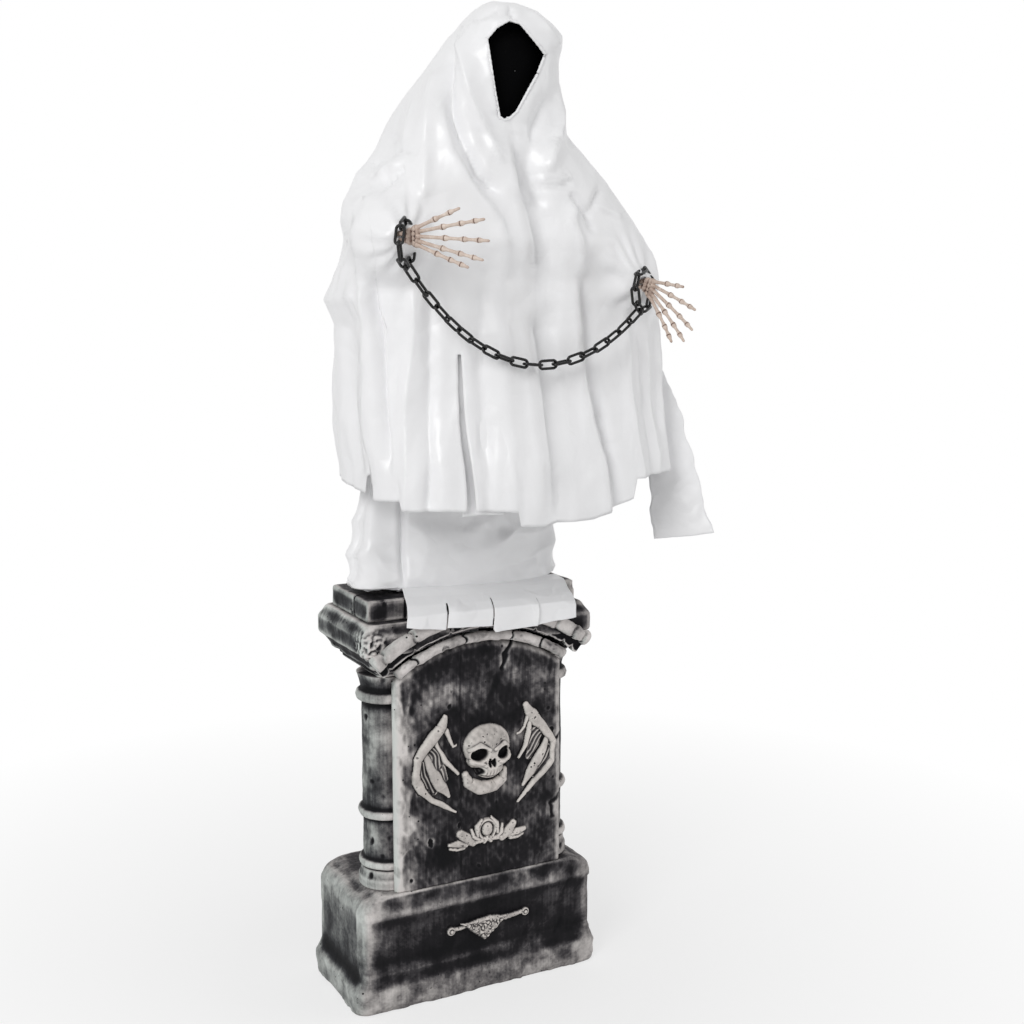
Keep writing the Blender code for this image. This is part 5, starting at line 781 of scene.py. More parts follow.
for solid, strokes, limits in (("wing_left", left_wing, (-0.120, -0.038)),
                               ("wing_right", right_wing, (0.062, 0.138))):
    x, z, place = field(*limits, 0.296, 0.472)
    wave = 0.0010 * swell(place, 0.030, 73)
    bones = np.zeros_like(x)
    for path, widths, height in strokes:
        bones = np.maximum(bones, rod(x + wave, z + wave, path, widths, height))
    web = np.maximum(rod(x, z, *webs[solid], 0.0038), rod(x, z, *folds[solid], 0.0034))
    off, share, side = path_distance(x + wave, z + wave, webs[solid][0])
    to_ray = np.mod(off * np.sign(side) + 0.02 + 0.004 * share, 0.0066) - 0.0033
    sinew = np.exp(-(to_ray / 0.0015) ** 2) * (web > 0.001)
    web = web + 0.0014 * sinew
    high = np.maximum(bones, web) - 0.0016 * smooth_step(swell(place, 0.010, 74), 1.3, 2.0)
    carving(solid.replace("wing_", "bone_wing_"), solid, x, z, high, panel_y,
            np.where(bones > web, 0.07, -0.17 + 0.06 * sinew))

x, z, place = field(-0.062, 0.085, 0.238, 0.289)
high = dome(x, z, (0.0095, 0.2690), (0.0095, 0.0115), 0.0070)
high = np.maximum(high, 0.0040 * np.exp(-((np.hypot((x - 0.0095) / 0.0145, (z - 0.2680) / 0.0160) - 1) / 0.14) ** 2))
for path, widths, height in (
        (((-0.0080, 0.2600), (-0.0085, 0.2760), (0.0000, 0.2850)), (0.0030, 0.0048, 0.0022), 0.0066),
        (((0.0280, 0.2600), (0.0262, 0.2760), (0.0175, 0.2865)), (0.0030, 0.0046, 0.0022), 0.0066),
        (((-0.0060, 0.2540), (-0.0150, 0.2600), (-0.0180, 0.2720)), (0.0034, 0.0042, 0.0020), 0.0056),
        (((0.0270, 0.2530), (0.0345, 0.2600), (0.0370, 0.2720)), (0.0034, 0.0042, 0.0020), 0.0056),
        (((-0.0160, 0.2500), (0.0098, 0.2530), (0.0350, 0.2515)), (0.0040, 0.0046, 0.0040), 0.0052),
        (((0.0040, 0.2480), (0.0098, 0.2560), (0.0160, 0.2480)), (0.0028, 0.0036, 0.0028), 0.0064),
        (((-0.0150, 0.2500), (-0.0270, 0.2590), (-0.0380, 0.2690)), (0.0060, 0.0092, 0.0068), 0.0062),
        (((-0.0290, 0.2500), (-0.0430, 0.2530), (-0.0570, 0.2535)), (0.0055, 0.0060, 0.0030), 0.0056),
        (((-0.0330, 0.2455), (-0.0450, 0.2445), (-0.0560, 0.2470)), (0.0040, 0.0036, 0.0022), 0.0046),
        (((0.0370, 0.2500), (0.0480, 0.2590), (0.0565, 0.2700)), (0.0060, 0.0088, 0.0062), 0.0062),
        (((0.0500, 0.2520), (0.0640, 0.2550), (0.0770, 0.2570)), (0.0050, 0.0066, 0.0036), 0.0056),
        (((0.0520, 0.2470), (0.0640, 0.2465), (0.0740, 0.2490)), (0.0036, 0.0034, 0.0020), 0.0044)):
    high = np.maximum(high, rod(x, z, path, widths, height))
high -= 0.0010 * smooth_step(swell(place, 0.0055, 75), 0.5, 1.6)
carving("flower", "shell_ornament", x, z, high, panel_y, 0.02)

x, z, place = field(-0.066, 0.089, 0.079, 0.129)
high = rod(x, z, ((-0.0560, 0.1130), (-0.0400, 0.1120), (-0.0200, 0.1165), (0.0128, 0.1185), (0.0420, 0.1140),
                  (0.0750, 0.1180)), (0.0034, 0.0030, 0.0048, 0.0050, 0.0042, 0.0034), 0.0056)
for centre in ((-0.0570, 0.1108), (0.0765, 0.1165)):
    high = np.maximum(high, dome(x, z, centre, (0.0070, 0.0070), 0.0068))
    high -= 0.0030 * np.exp(-((np.hypot(x - centre[0], z - centre[1]) - 0.0036) / 0.0009) ** 2)
leaves = np.clip(1 - np.abs(x - 0.0036) / 0.042 - (0.1160 - z) / 0.0340, 0, 1) * (z < 0.1190)
leaves = smooth_step(leaves, 0.0, 0.20) * (0.0036 + 0.0024 * np.abs(swell(place, 0.0075, 76)))
for centre in ((-0.0130, 0.1060), (0.0036, 0.1010), (0.0200, 0.1060)):
    leaves = np.maximum(leaves, dome(x, z, centre, (0.0075, 0.0075), 0.0066))
high = np.maximum(high, leaves) - 0.0012 * smooth_step(swell(place, 0.0050, 77), 0.3, 1.4)
carving("scroll", "scroll_ornament", x, z, high, -0.0985, -0.06)


# ---------------------------------------------------------------- Lift inside the tombstone
# A zinc-plated steel channel holds a gear motor, whose nylon pinion climbs the rack on the
# mast between two nylon guides.  The motor's bracket is riveted to the channel.

def plated(name, colour=(0.60, 0.60, 0.62), rough=0.36, spangle=60.0):
    """Zinc-plated steel: soft spangled crystals in the tone, drawn lines along it, a little white bloom."""
    made, tree, shader = material(name)
    place = node(tree, "TexCoord").outputs["Object"]
    crystal = node(tree, "TexVoronoi", {"Vector": place, "Scale": spangle}).outputs["Color"]
    crystal = node(tree, "SeparateColor", {"Color": crystal}).outputs[0]
    drawn = node(tree, "Mapping", {"Vector": place, "Scale": (900.0, 900.0, 20.0)}).outputs[0]
    drawn = node(tree, "TexNoise", {"Vector": drawn, "Scale": 1.0, "Detail": 2.0}).outputs["Fac"]
    bloom = node(tree, "TexNoise", {"Vector": place, "Scale": 35.0, "Detail": 5.0}).outputs["Fac"]
    mix = node(tree, "Math", {0: crystal, 1: 0.5, 2: bloom}, operation="MULTIPLY_ADD")
    tone = ramp_colour(tree, mix.outputs[0], ((0.35, [c * 0.80 for c in colour]),
                                              (1.0, [min(c * 1.12, 1.0) for c in colour])))
    shine = node(tree, "MapRange", {"Value": mix.outputs[0], "To Min": rough - 0.08, "To Max": rough + 0.14})
    feed(tree, shader, tone, shine.outputs[0], drawn, 0.15, 0.0004)
    shader.inputs["Metallic"].default_value = 1.0
    return made


def moulded(name, colour, rough=0.45, grain=260.0, depth=0.12, spread=0.12, second=None):
    """A moulded, foamed or pressed material: a fine grained skin, and a tone that drifts slightly over it."""
    made, tree, shader = material(name)
    place = node(tree, "TexCoord").outputs["Object"]
    drift = node(tree, "TexNoise", {"Vector": place, "Scale": 22.0, "Detail": 5.0, "Roughness": 0.6}).outputs["Fac"]
    fine = node(tree, "TexVoronoi", {"Vector": place, "Scale": grain}).outputs["Distance"]
    tone = ramp_colour(tree, drift, ((0.30, second or [c * (1 - spread) for c in colour]), (0.72, colour)))
    shine = node(tree, "MapRange", {"Value": drift, "To Min": rough - 0.06, "To Max": rough + 0.08})
    feed(tree, shader, tone, shine.outputs[0], fine, depth, 0.0005)
    return made


def finished(material, *names):
    """CAD solids that stay in view take this finish."""
    for name in names:
        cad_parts[name].data.materials.clear()
        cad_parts[name].data.materials.append(material)


finished(plated("zinc_sheet", spangle=90.0), "lift_channel", "motor_bracket")
finished(plated("zinc_bright", (0.66, 0.66, 0.67), 0.30, 200.0), "lift_motor", "turn_motor", "door_hinge_pin")
finished(moulded("natural_nylon", (0.85, 0.84, 0.79), 0.48, 400.0, 0.08, 0.05), "lift_pinion", "low_guide",
         "top_guide")
finished(plated("zinc_tube", (0.58, 0.58, 0.60), 0.34, 140.0), "mast_tube", "rack")


# ---------------------------------------------------------------- Battery box, switch and control board
# The box of black plastic stands on a hardboard floor behind the swinging door, beside a
# slide switch with a red knob.  The green lacquered board stands on its post at the front.

finished(moulded("black_casing", (0.022, 0.022, 0.023), 0.42, 500.0, 0.20, 0.35), "battery_box", "switch_body",
         "switch_plate")
finished(moulded("red_knob", (0.50, 0.030, 0.022), 0.32, 600.0, 0.06, 0.10), "switch_knob")
finished(moulded("hardboard_sheet", (0.32, 0.21, 0.125), 0.62, 300.0, 0.35, 0.30, (0.19, 0.115, 0.062)),
         "floor_plate")
finished(moulded("green_lacquer", (0.030, 0.215, 0.085), 0.30, 700.0, 0.10, 0.35), "control_board")
finished(stone_finish("door_stone", streaks=0.10, lift=0.33), "battery_door")
def joined(name, grids, wrap_u=False, **attributes):
    """One mesh of many grids that each close round their columns."""
    points, faces, count = [], [], 0
    for grid in grids:
        points.append(grid.reshape(-1, 3))
        faces.append(cells(*grid.shape[:2], wrap_u, True).reshape(-1, 4) + count)
        count += grid.shape[0] * grid.shape[1]
    return mesh_object(name, np.vstack(points), np.vstack(faces), **attributes)


ears = []
for low_x in (-0.0583, 0.0503):
    # one ear: a foot on the shell that rises into a round eye about the pin
    turn = np.linspace(math.radians(-60), math.radians(240), 25)
    rim = np.stack([0.1017 + 0.0026 * np.cos(turn), 0.0640 + 0.0026 * np.sin(turn)], -1)
    rim = np.vstack([rim, [(0.0965, 0.0640), (0.0965, 0.0608), (0.1030, 0.0608)]])
    ends = (low_x, low_x, low_x + 0.008, low_x + 0.008)
    grid = np.stack([np.column_stack([np.full(len(rim), end_x), rim]) for end_x in ends])
    grid[0], grid[-1] = grid[0].mean(0), grid[-1].mean(0)
    ears.append(grid)
hinge_ears = welded(joined("hinge_ears", ears))
hinge_ears.data.materials.append(stone_finish("ear_stone", lift=0.33))
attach(hinge_ears, "tombstone")


# ---------------------------------------------------------------- Frame of the ghost
# A black hub turns on the motor's shaft and carries a leaning steel spine, a shoulder bar and
# two bent arm tubes.  A ball of white foam on the spine's end gives the head its form.

finished(moulded("black_hub", (0.020, 0.020, 0.021), 0.45, 420.0, 0.15, 0.30), "turn_hub", "skirt_hoop")
finished(plated("zinc_arms", (0.60, 0.60, 0.61), 0.35, 160.0), "spine", "shoulder_bar", "arm_left", "arm_right")
finished(moulded("white_beads", (0.82, 0.82, 0.80), 0.70, 320.0, 0.60, 0.05), "head_form")


# ---------------------------------------------------------------- Robe and hood
# One hooded robe of thin white satin, hung over the head form and the shoulder bar, with a
# hemmed opening for the face, a slit in front, sleeves gathered at the wrists and a torn hem.

def satin(name, colour=(0.93, 0.93, 0.94), crumple=0.16, rough=0.31):
    """Thin shiny white cloth: a fine weave, shallow creases in the bump, and a slightly uneven white."""
    made, tree, shader = material(name)
    place = node(tree, "TexCoord").outputs["Object"]
    broad = node(tree, "TexNoise", {"Vector": place, "Scale": 9.0, "Detail": 3.0, "Distortion": 0.6})
    crease = node(tree, "TexNoise", {"Vector": place, "Scale": 15.0, "Detail": 2.0, "Distortion": 0.3})
    folded = node(tree, "Math", {0: crease.outputs["Fac"], 1: 0.5}, operation="SUBTRACT")
    folded = node(tree, "Math", {0: folded.outputs[0]}, operation="ABSOLUTE")
    weave = node(tree, "TexNoise", {"Vector": place, "Scale": 1400.0, "Detail": 1.0})
    tone = ramp_colour(tree, broad.outputs["Fac"], ((0.3, [c * 0.955 for c in colour]), (0.7, colour)))
    shine = node(tree, "MapRange", {"Value": broad.outputs["Fac"], "To Min": rough - 0.06, "To Max": rough + 0.10})
    height = node(tree, "Math", {0: folded.outputs[0], 1: 6.0, 2: broad.outputs["Fac"]}, operation="MULTIPLY_ADD")
    height = node(tree, "Math", {0: weave.outputs["Fac"], 1: 0.02, 2: height.outputs[0]}, operation="MULTIPLY_ADD")
    feed(tree, shader, tone, shine.outputs[0], height.outputs[0], crumple, 0.004)
    shader.inputs["Specular IOR Level"].default_value = 0.5
    shader.inputs["Sheen Weight"].default_value = 0.05
    return made


def crossed(s, z, folds):
    """The sum of folds. Each is a path down the cloth, its widths left and right, and how far it stands out."""
    total = np.zeros_like(s)
    for path, left, right, height in folds:
        off, share, side = path_distance(s, z, path)
        ends = smooth_step(share, 0.0, 0.14) * (1 - smooth_step(share, 0.90, 1.0)) * 0.8 + 0.2
        away = off / np.where(side > 0, right, left)
        total += height * ends * (0.5 * np.exp(-away ** 2) + 0.5 * np.exp(-1.5 * away))
    return total


def inside(s, z, corners):
    """Whether each place lies inside a closed outline: how often a line towards +s crosses it is odd."""
    odd = np.zeros(s.shape, bool)
    for (s0, z0), (s1, z1) in zip(corners, corners[1:] + corners[:1]):
        if z0 != z1:
            odd ^= ((z0 > z) != (z1 > z)) & (s < s0 + (z - z0) * (s1 - s0) / (z1 - z0))
    return odd


def pipe(path, radii, sides=14):
    """A grid round a path: one ring to each point, square to the path."""
    path, radii = np.array(path, float), np.broadcast_to(radii, len(path))
    along = np.gradient(path, axis=0)
    along /= np.linalg.norm(along, axis=1)[:, None]
    lead = np.tile((0.0, 0.0, 1.0), (len(path), 1))
    lead[np.abs(along[:, 2]) > 0.9] = (1.0, 0.0, 0.0)
    one = np.cross(lead, along)
    one /= np.linalg.norm(one, axis=1)[:, None]
    two = np.cross(along, one)
    spin = np.linspace(0, 2 * math.pi, sides, endpoint=False)
    circle = np.cos(spin)[None, :, None] * one[:, None] + np.sin(spin)[None, :, None] * two[:, None]
    return path[:, None] + circle * radii[:, None, None]


# the outline and the folds are laid out along this level line, which runs to the camera's right
right_way = np.array([0.88295, -0.46947, 0.0])
# height, half width, middle x, middle y, reach to the front, reach to the back
robe_keys = np.array((
    (0.7000, 0.2450, 0.000, -0.0650, 0.1500, 0.1560), (0.8000, 0.2450, 0.000, -0.0650, 0.1500, 0.1560),
    (0.8746, 0.2426, 0.000, -0.0658, 0.1485, 0.1560), (0.9492, 0.2401, 0.000, -0.0666, 0.1455, 0.1544),
    (1.0239, 0.2377, 0.000, -0.0678, 0.1425, 0.1529), (1.0985, 0.2352, 0.000, -0.0694, 0.1395, 0.1513),
    (1.1624, 0.2279, 0.000, -0.0718, 0.1380, 0.1482), (1.2157, 0.2132, 0.000, -0.0754, 0.1365, 0.1451),
    (1.2637, 0.1936, 0.000, -0.0802, 0.1365, 0.1420), (1.3010, 0.1740, 0.002, -0.0858, 0.1290, 0.1388),
    (1.3223, 0.1593, 0.004, -0.0882, 0.1260, 0.1357), (1.3333, 0.1480, 0.008, -0.1150, 0.0990, 0.1600),
    (1.3607, 0.1362, 0.008, -0.1150, 0.0990, 0.1440), (1.4077, 0.1184, 0.008, -0.1150, 0.0990, 0.1152),
    (1.4507, 0.1051, 0.008, -0.1150, 0.0970, 0.0992), (1.4899, 0.0918, 0.008, -0.1150, 0.0911, 0.0832),
    (1.5133, 0.0666, 0.008, -0.1150, 0.0713, 0.0544), (1.5235, 0.0400, 0.008, -0.1150, 0.0500, 0.0300),
    (1.5280, 0.0008, 0.008, -0.1150, 0.0008, 0.0008)))
left_edge = np.array(((0.700, -0.168), (0.822, -0.172), (0.853, -0.176), (0.904, -0.179), (0.955, -0.179),
                      (1.016, -0.179), (1.060, -0.180), (1.080, -0.187), (1.100, -0.194), (1.130, -0.184),
                      (1.164, -0.171), (1.208, -0.159), (1.245, -0.156), (1.262, -0.147), (1.294, -0.1325),
                      (1.321, -0.1126), (1.364, -0.0871), (1.396, -0.0640), (1.429, -0.0413), (1.454, -0.0238),
                      (1.479, -0.0065), (1.493, 0.0083), (1.511, 0.0279), (1.522, 0.046), (1.528, 0.060)))
right_edge = np.array(((0.700, 0.342), (0.835, 0.340), (0.924, 0.3366), (0.987, 0.3345), (1.033, 0.3285),
                       (1.074, 0.3226), (1.125, 0.319), (1.165, 0.3102), (1.195, 0.2913), (1.225, 0.2726),
                       (1.249, 0.2566), (1.273, 0.2407), (1.292, 0.2252), (1.316, 0.2047), (1.3345, 0.1843),
                       (1.353, 0.1700), (1.386, 0.1649), (1.418, 0.1625), (1.450, 0.1640), (1.463, 0.1688),
                       (1.4815, 0.1701), (1.493, 0.1579), (1.509, 0.1386), (1.518, 0.1194), (1.528, 0.062)))
# the hem's height in front by its place on the line, and at the back by the angle
front_hem = np.array(((-0.180, 0.822), (-0.167, 0.823), (-0.112, 0.859), (-0.110, 0.819), (-0.0655, 0.823),
                      (-0.064, 0.8095), (0.010, 0.8095), (0.0385, 0.807), (0.1022, 0.804), (0.105, 0.782),
                      (0.1510, 0.778), (0.1545, 0.783), (0.214, 0.783), (0.2425, 0.793), (0.2785, 0.809),
                      (0.2805, 0.839), (0.338, 0.841)))
back_hem = np.array(((0, 0.835), (24, 0.828), (25, 0.792), (47, 0.800), (48, 0.845), (70, 0.836), (72, 0.803),
                     (104, 0.796), (106, 0.828), (128, 0.838), (130, 0.828), (150, 0.834), (151, 0.846),
                     (180, 0.824)))


def robe_surface(turn, height):
    """The plain robe at an angle and a height, and its place on the line.

    It is a rounded oblong, drawn out along the line until it meets both outlines.
    """
    half, mid_x, mid_y, front, back = (np.interp(height, robe_keys[:, 0], column) for column in robe_keys.T[1:])
    power = np.interp(height, (1.27, 1.36), (0.62, 0.78))
    back = back + np.interp(height, (0.86, 1.00, 1.16, 1.24, 1.32, 1.38), (0.027, 0.026, 0.015, 0.009, 0.007, 0.0))
    cosine, sine = np.cos(turn), np.sin(turn)
    x = mid_x + half * np.sign(cosine) * np.abs(cosine) ** power
    y = mid_y + np.where(sine > 0, back, front) * np.sign(sine) * np.abs(sine) ** power
    s = x * right_way[0] + y * right_way[1]
    low, high = s.min(1, keepdims=True), s.max(1, keepdims=True)
    row = height.mean(1, keepdims=True)
    share = (s - low) / np.maximum(high - low, 1e-6)
    want = np.interp(row, *left_edge.T) * (1 - share) + np.interp(row, *right_edge.T) * share
    return np.dstack([x + (want - s) * right_way[0], y + (want - s) * right_way[1], height]), want


columns = 300
turn = np.linspace(0, 2 * math.pi, columns, endpoint=False)[None]
_, s_low = robe_surface(turn, np.full_like(turn, 0.82))
degrees = np.degrees(turn)
is_front = np.sin(turn) < 0
hem = np.where(is_front, np.interp(s_low, *front_hem.T), np.interp(degrees, *back_hem.T))
rows_share = np.r_[np.linspace(0, 0.735, 100), np.linspace(0.735, 1.0, 62)[1:]][:, None]
foot_level, crown_level = 0.80, 1.528
level = foot_level + rows_share * (crown_level - foot_level)
height = level + (hem - foot_level) * np.clip(1 - rows_share / 0.5, 0, 1)
base, s = robe_surface(turn, np.broadcast_to(level, (len(level), columns)))
base[..., 2] = height
normal = facing(base, wrap_v=True)
normal[..., 2] *= 0.3
normal /= np.maximum(np.linalg.norm(normal, axis=-1), 1e-9)[..., None]
# the front falls in under the elbows, behind the chain
base[..., 1] += 0.022 * smooth_step(base[..., 2], 0.84, 0.98) * (1 - smooth_step(base[..., 2], 1.13, 1.20)) * (
    smooth_step(-normal[..., 1], 0.2, 0.8))
seen = smooth_step(-(normal @ np.array([0.4697, 0.8828, 0.0])), 0.0, 0.45)
z = base[..., 2]
opening = [(0.0585, 1.4631), (0.0720, 1.4790), (0.0900, 1.4895), (0.1050, 1.4860), (0.1330, 1.4560), (0.1401, 1.4480),
           (0.1290, 1.4200), (0.1001, 1.3680), (0.0890, 1.3580), (0.0820, 1.3558), (0.0758, 1.3596), (0.0700, 1.3900)]

hood_folds = (
    (((0.0060, 1.4700), (-0.0029, 1.4436), (0.0124, 1.3567), (0.0308, 1.3157), (0.0491, 1.2799), (0.0800, 1.2470)),
     0.013, 0.010, -0.021),
    (((0.0180, 1.4800), (0.0170, 1.4560), (0.0300, 1.4019), (0.0430, 1.3665), (0.0660, 1.3215), (0.0850, 1.2900)),
     0.006, 0.016, 0.011),
    (((-0.0120, 1.4400), (-0.0167, 1.4152), (-0.0244, 1.3201), (-0.0262, 1.2400)), 0.016, 0.010, 0.010),
    (((-0.0040, 1.3800), (-0.0014, 1.3657), (0.0126, 1.3107), (0.0444, 1.2572), (0.0750, 1.2150), (0.0900, 1.1700)),
     0.014, 0.006, 0.009),
    (((0.1750, 1.4700), (0.1660, 1.4300), (0.1590, 1.3541), (0.1400, 1.2800)), 0.006, 0.016, 0.014),
    (((0.1480, 1.4000), (0.1270, 1.3500), (0.1230, 1.3000), (0.1340, 1.2300)), 0.014, 0.012, -0.014),
    (((0.1340, 1.2760), (0.1560, 1.2740), (0.1790, 1.2860)), 0.010, 0.004, 0.009),
    (((0.1340, 1.2680), (0.1560, 1.2650), (0.1820, 1.2760)), 0.005, 0.012, -0.009),
    (((0.0350, 1.4950), (0.0560, 1.4990), (0.0750, 1.5080)), 0.006, 0.006, -0.005),
    (((0.0950, 1.5100), (0.0900, 1.5000), (0.1000, 1.4930)), 0.005, 0.005, -0.007),
    (((0.1150, 1.5080), (0.1350, 1.4900), (0.1600, 1.4600)), 0.007, 0.009, 0.007),
    (((0.0620, 1.4700), (0.0600, 1.4400), (0.0680, 1.3900), (0.0740, 1.3600)), 0.010, 0.004, 0.006))
robe_folds = (
    (((0.0860, 1.3512), (0.1095, 1.2454), (0.1333, 1.1528), (0.1337, 1.0113), (0.1391, 0.7600)), 0.030, 0.007, 0.012),
    (((0.0960, 1.3400), (0.1210, 1.2454), (0.1450, 1.1528), (0.1450, 1.0113), (0.1500, 0.7600)),
     0.005, 0.022, -0.022),
    (((0.1769, 1.2600), (0.2017, 1.2297), (0.2116, 1.2061)), 0.006, 0.006, -0.010),
    (((0.2278, 1.2701), (0.2118, 1.2397), (0.2016, 1.2249)), 0.005, 0.005, -0.008),
    (((0.2150, 1.2450), (0.2350, 1.2380), (0.2560, 1.2300)), 0.005, 0.006, 0.006),
    (((0.1850, 1.2470), (0.1790, 1.2200), (0.1980, 1.1700), (0.2050, 1.1400)), 0.010, 0.006, 0.010),
    (((-0.1324, 1.3010), (-0.1005, 1.3041), (-0.0681, 1.3138), (-0.0334, 1.3016)), 0.005, 0.006, -0.007),
    (((-0.1400, 1.2850), (-0.1100, 1.2830), (-0.0800, 1.2930), (-0.0600, 1.2950)), 0.006, 0.005, 0.008),
    (((-0.1151, 1.2665), (-0.0817, 1.2719), (-0.0570, 1.2887)), 0.005, 0.005, -0.009),
    (((-0.1300, 1.2560), (-0.0956, 1.2480), (-0.0755, 1.2600), (-0.0470, 1.2640)), 0.005, 0.006, 0.007),
    (((-0.0900, 1.2400), (-0.0600, 1.2350), (-0.0400, 1.2200)), 0.006, 0.006, -0.006),
    (((-0.1350, 1.2250), (-0.1291, 1.2097), (-0.1149, 1.1292), (-0.1142, 1.0595), (-0.1196, 0.8600)),
     0.009, 0.013, 0.010),
    (((-0.1000, 1.2000), (-0.1028, 1.1753), (-0.0949, 1.1063), (-0.0892, 1.0369), (-0.0841, 0.8600)),
     0.012, 0.007, -0.014),
    (((-0.1600, 1.1200), (-0.1500, 1.0700), (-0.1480, 0.9800), (-0.1450, 0.8400)), 0.010, 0.010, -0.010),
    (((-0.0350, 1.1300), (-0.0345, 1.0605), (-0.0498, 0.9212), (-0.0600, 0.7900)), 0.012, 0.018, 0.012),
    (((-0.0150, 1.1500), (-0.0112, 1.1063), (-0.0120, 0.9678), (-0.0250, 0.7900)), 0.012, 0.014, -0.013),
    (((0.0860, 1.2000), (0.0880, 1.1500), (0.0907, 0.9888), (0.0954, 0.7700)), 0.020, 0.016, 0.010),
    (((0.0720, 1.1700), (0.0625, 1.1061), (0.0600, 1.0459), (0.0640, 0.9000), (0.0640, 0.7700)),
     0.012, 0.012, -0.009),
    (((0.1720, 1.2100), (0.1690, 1.0581), (0.1720, 0.8659), (0.1740, 0.7600)), 0.012, 0.020, 0.010),
    (((0.1960, 1.1500), (0.1972, 1.1056), (0.2077, 0.9947), (0.2341, 0.8608), (0.2400, 0.7700)), 0.016, 0.006, 0.012),
    (((0.2060, 1.1400), (0.2080, 1.1056), (0.2190, 0.9947), (0.2460, 0.8608), (0.2520, 0.7700)),
     0.005, 0.014, -0.014),
    (((0.2500, 1.1600), (0.2760, 1.0500), (0.2900, 0.8600), (0.2920, 0.7700)), 0.014, 0.010, 0.010),
    (((0.2750, 1.1300), (0.3050, 1.0300), (0.3130, 0.8800), (0.3150, 0.7700)), 0.010, 0.012, -0.010))
lower = smooth_step(z, 1.30, 0.95)
plain = 0.0070 * lower * np.sin(11 * turn + 2.2 * np.sin(turn * 2 + 0.6) + (1.3 - z) * 1.6)
plain += 0.0040 * lower * np.sin(17 * turn + 1.0 + 2.0 * np.sin(turn * 3))
out = plain * (1 - 0.75 * seen) + seen * crossed(s, z, hood_folds + robe_folds)
out += 0.0035 * swell(base * (1, 1, 0.4), 0.13, 81) * smooth_step(z, 0.80, 1.10)
out -= 0.0026 * np.abs(swell(base * (1, 1, 0.5), 0.080, 82)) * (1 - 0.3 * (z > 1.34))
out -= 0.0009 * np.abs(swell(base * (1, 1, 0.6), 0.034, 83))
out -= 0.0030 * np.abs(swell(base * (1, 1, 0.16), 0.050, 84)) * lower
# the sleeves: the cloth is drawn out along each forearm and gathered in small pleats round the wrist
wrists = {"left": ((-0.1815, -0.2450, 1.1910), math.radians(23)),
          "right": ((0.1985, -0.2450, 1.1290), math.radians(5))}
robe = base + normal * out[..., None]
hole = np.zeros(z.shape)
toward_front = np.array([-0.4695, -0.8829, 0.0])
for wrist, yaw in wrists.values():
    # the cloth lies over the bent arm tube as a tent: it clears the tube and falls away evenly to both sides
    wrist, along = np.array(wrist), np.array((math.sin(yaw), -math.cos(yaw), 0.0))
    start = np.array((math.copysign(0.1503, wrist[0]), -0.0675, 1.2560))
    elbow = start + (math.copysign(0.0256, wrist[0]), -0.055, (wrist[2] - 1.2560) * 0.55)
    end = wrist - along * 0.0323
    knots = np.array([start, start + (math.copysign(0.0128, wrist[0]), 0, 0), elbow, end - along * 0.0128, end])
    run = np.linspace(0, 1, 41)[:, None]
    tube = sum(math.comb(4, k) * (1 - run) ** (4 - k) * run ** k * knots[k] for k in range(5))
    for way, reach in ((normal, 0.05), (toward_front, 0.12)):
        lift = np.zeros(z.shape)
        for point in tube:
            apart = robe - point
            ahead = (apart * way).sum(-1)
            beside = np.sqrt(np.maximum((apart ** 2).sum(-1) - ahead ** 2, 0))
            need = np.where(beside < 0.015, 0.015 - beside ** 2 / 0.030, 0.0075 - (beside - 0.015) * 0.9) - ahead
            lift = np.maximum(lift, np.where((beside < 0.06) & (ahead > -reach), need, 0.0))
        lift = eased(lift * smooth_step((normal * way).sum(-1), 0.0, 0.15), 10, wrap_v=True)
        robe = robe + way * lift[..., None]
    mouth = wrist - along * 0.009
    pull = (mouth - elbow) / np.linalg.norm(mouth - elbow)
    apart = robe - mouth
    ahead = -(apart @ pull)
    apart = apart + ahead[..., None] * pull
    off = np.linalg.norm(apart, axis=-1) + 9 * (robe[..., 1] > -0.10)
    spin = np.arctan2(apart[..., 2], apart[..., 0])
    drawn = np.exp(-np.maximum(off - 0.013, 0) / 0.020)
    robe = robe + pull * (np.clip(ahead, -0.01, 0.15) * drawn)[..., None]
    pleat = np.exp(-((off - 0.036) / 0.020) ** 2) * 0.0042 * np.sin(spin * 9 + 2 * np.sin(spin * 2 + wrist[2] * 30))
    robe = robe + pull * pleat[..., None]
    hole = np.maximum(hole, off < 0.0115)
# the slit: the cloth on its left swings away from it towards the hem
slit = np.abs(np.where(is_front, s_low, 9.0) - 0.0385).argmin()
slit_top = 1.032
wide = 0.009 * np.clip((slit_top - z) / 0.225, 0, 1) ** 0.9
left_of = (s < 0.0405) & (seen > 0.3) & (np.arange(columns)[None] <= slit)
drift = np.where(left_of, wide * np.clip(1 - (0.0405 - s) / 0.11, 0, 1), 0.0)
robe = robe - right_way * drift[..., None] + normal * (drift * 0.25)[..., None]
# the hood's opening: points near its outline are moved onto it, so that the edge runs clean
edge = np.array(opening + opening[:1])
off, _, _ = path_distance(s, z, edge)
for start, end in zip(edge, edge[1:]):
    step = end - start
    t = np.clip(((s - start[0]) * step[0] + (z - start[1]) * step[1]) / (step @ step), 0, 1)
    to_s, to_z = start[0] + t * step[0] - s, start[1] + t * step[1] - z
    hit = (np.hypot(to_s, to_z) < off + 1e-9) & (off < 0.0021) & (seen > 0.3)
    robe = robe + np.where(hit, to_s, 0.0)[..., None] * right_way + np.where(hit, to_z, 0.0)[..., None] * (0, 0, 1)
run = np.r_[0, np.cumsum(np.hypot(*np.diff(edge, axis=0).T))]
at = np.linspace(0, run[-1], 241)
hem_s, hem_z = np.interp(at, run, edge[:, 0]), np.interp(at, run, edge[:, 1])
near = (seen > 0.3) & (off < 0.012)
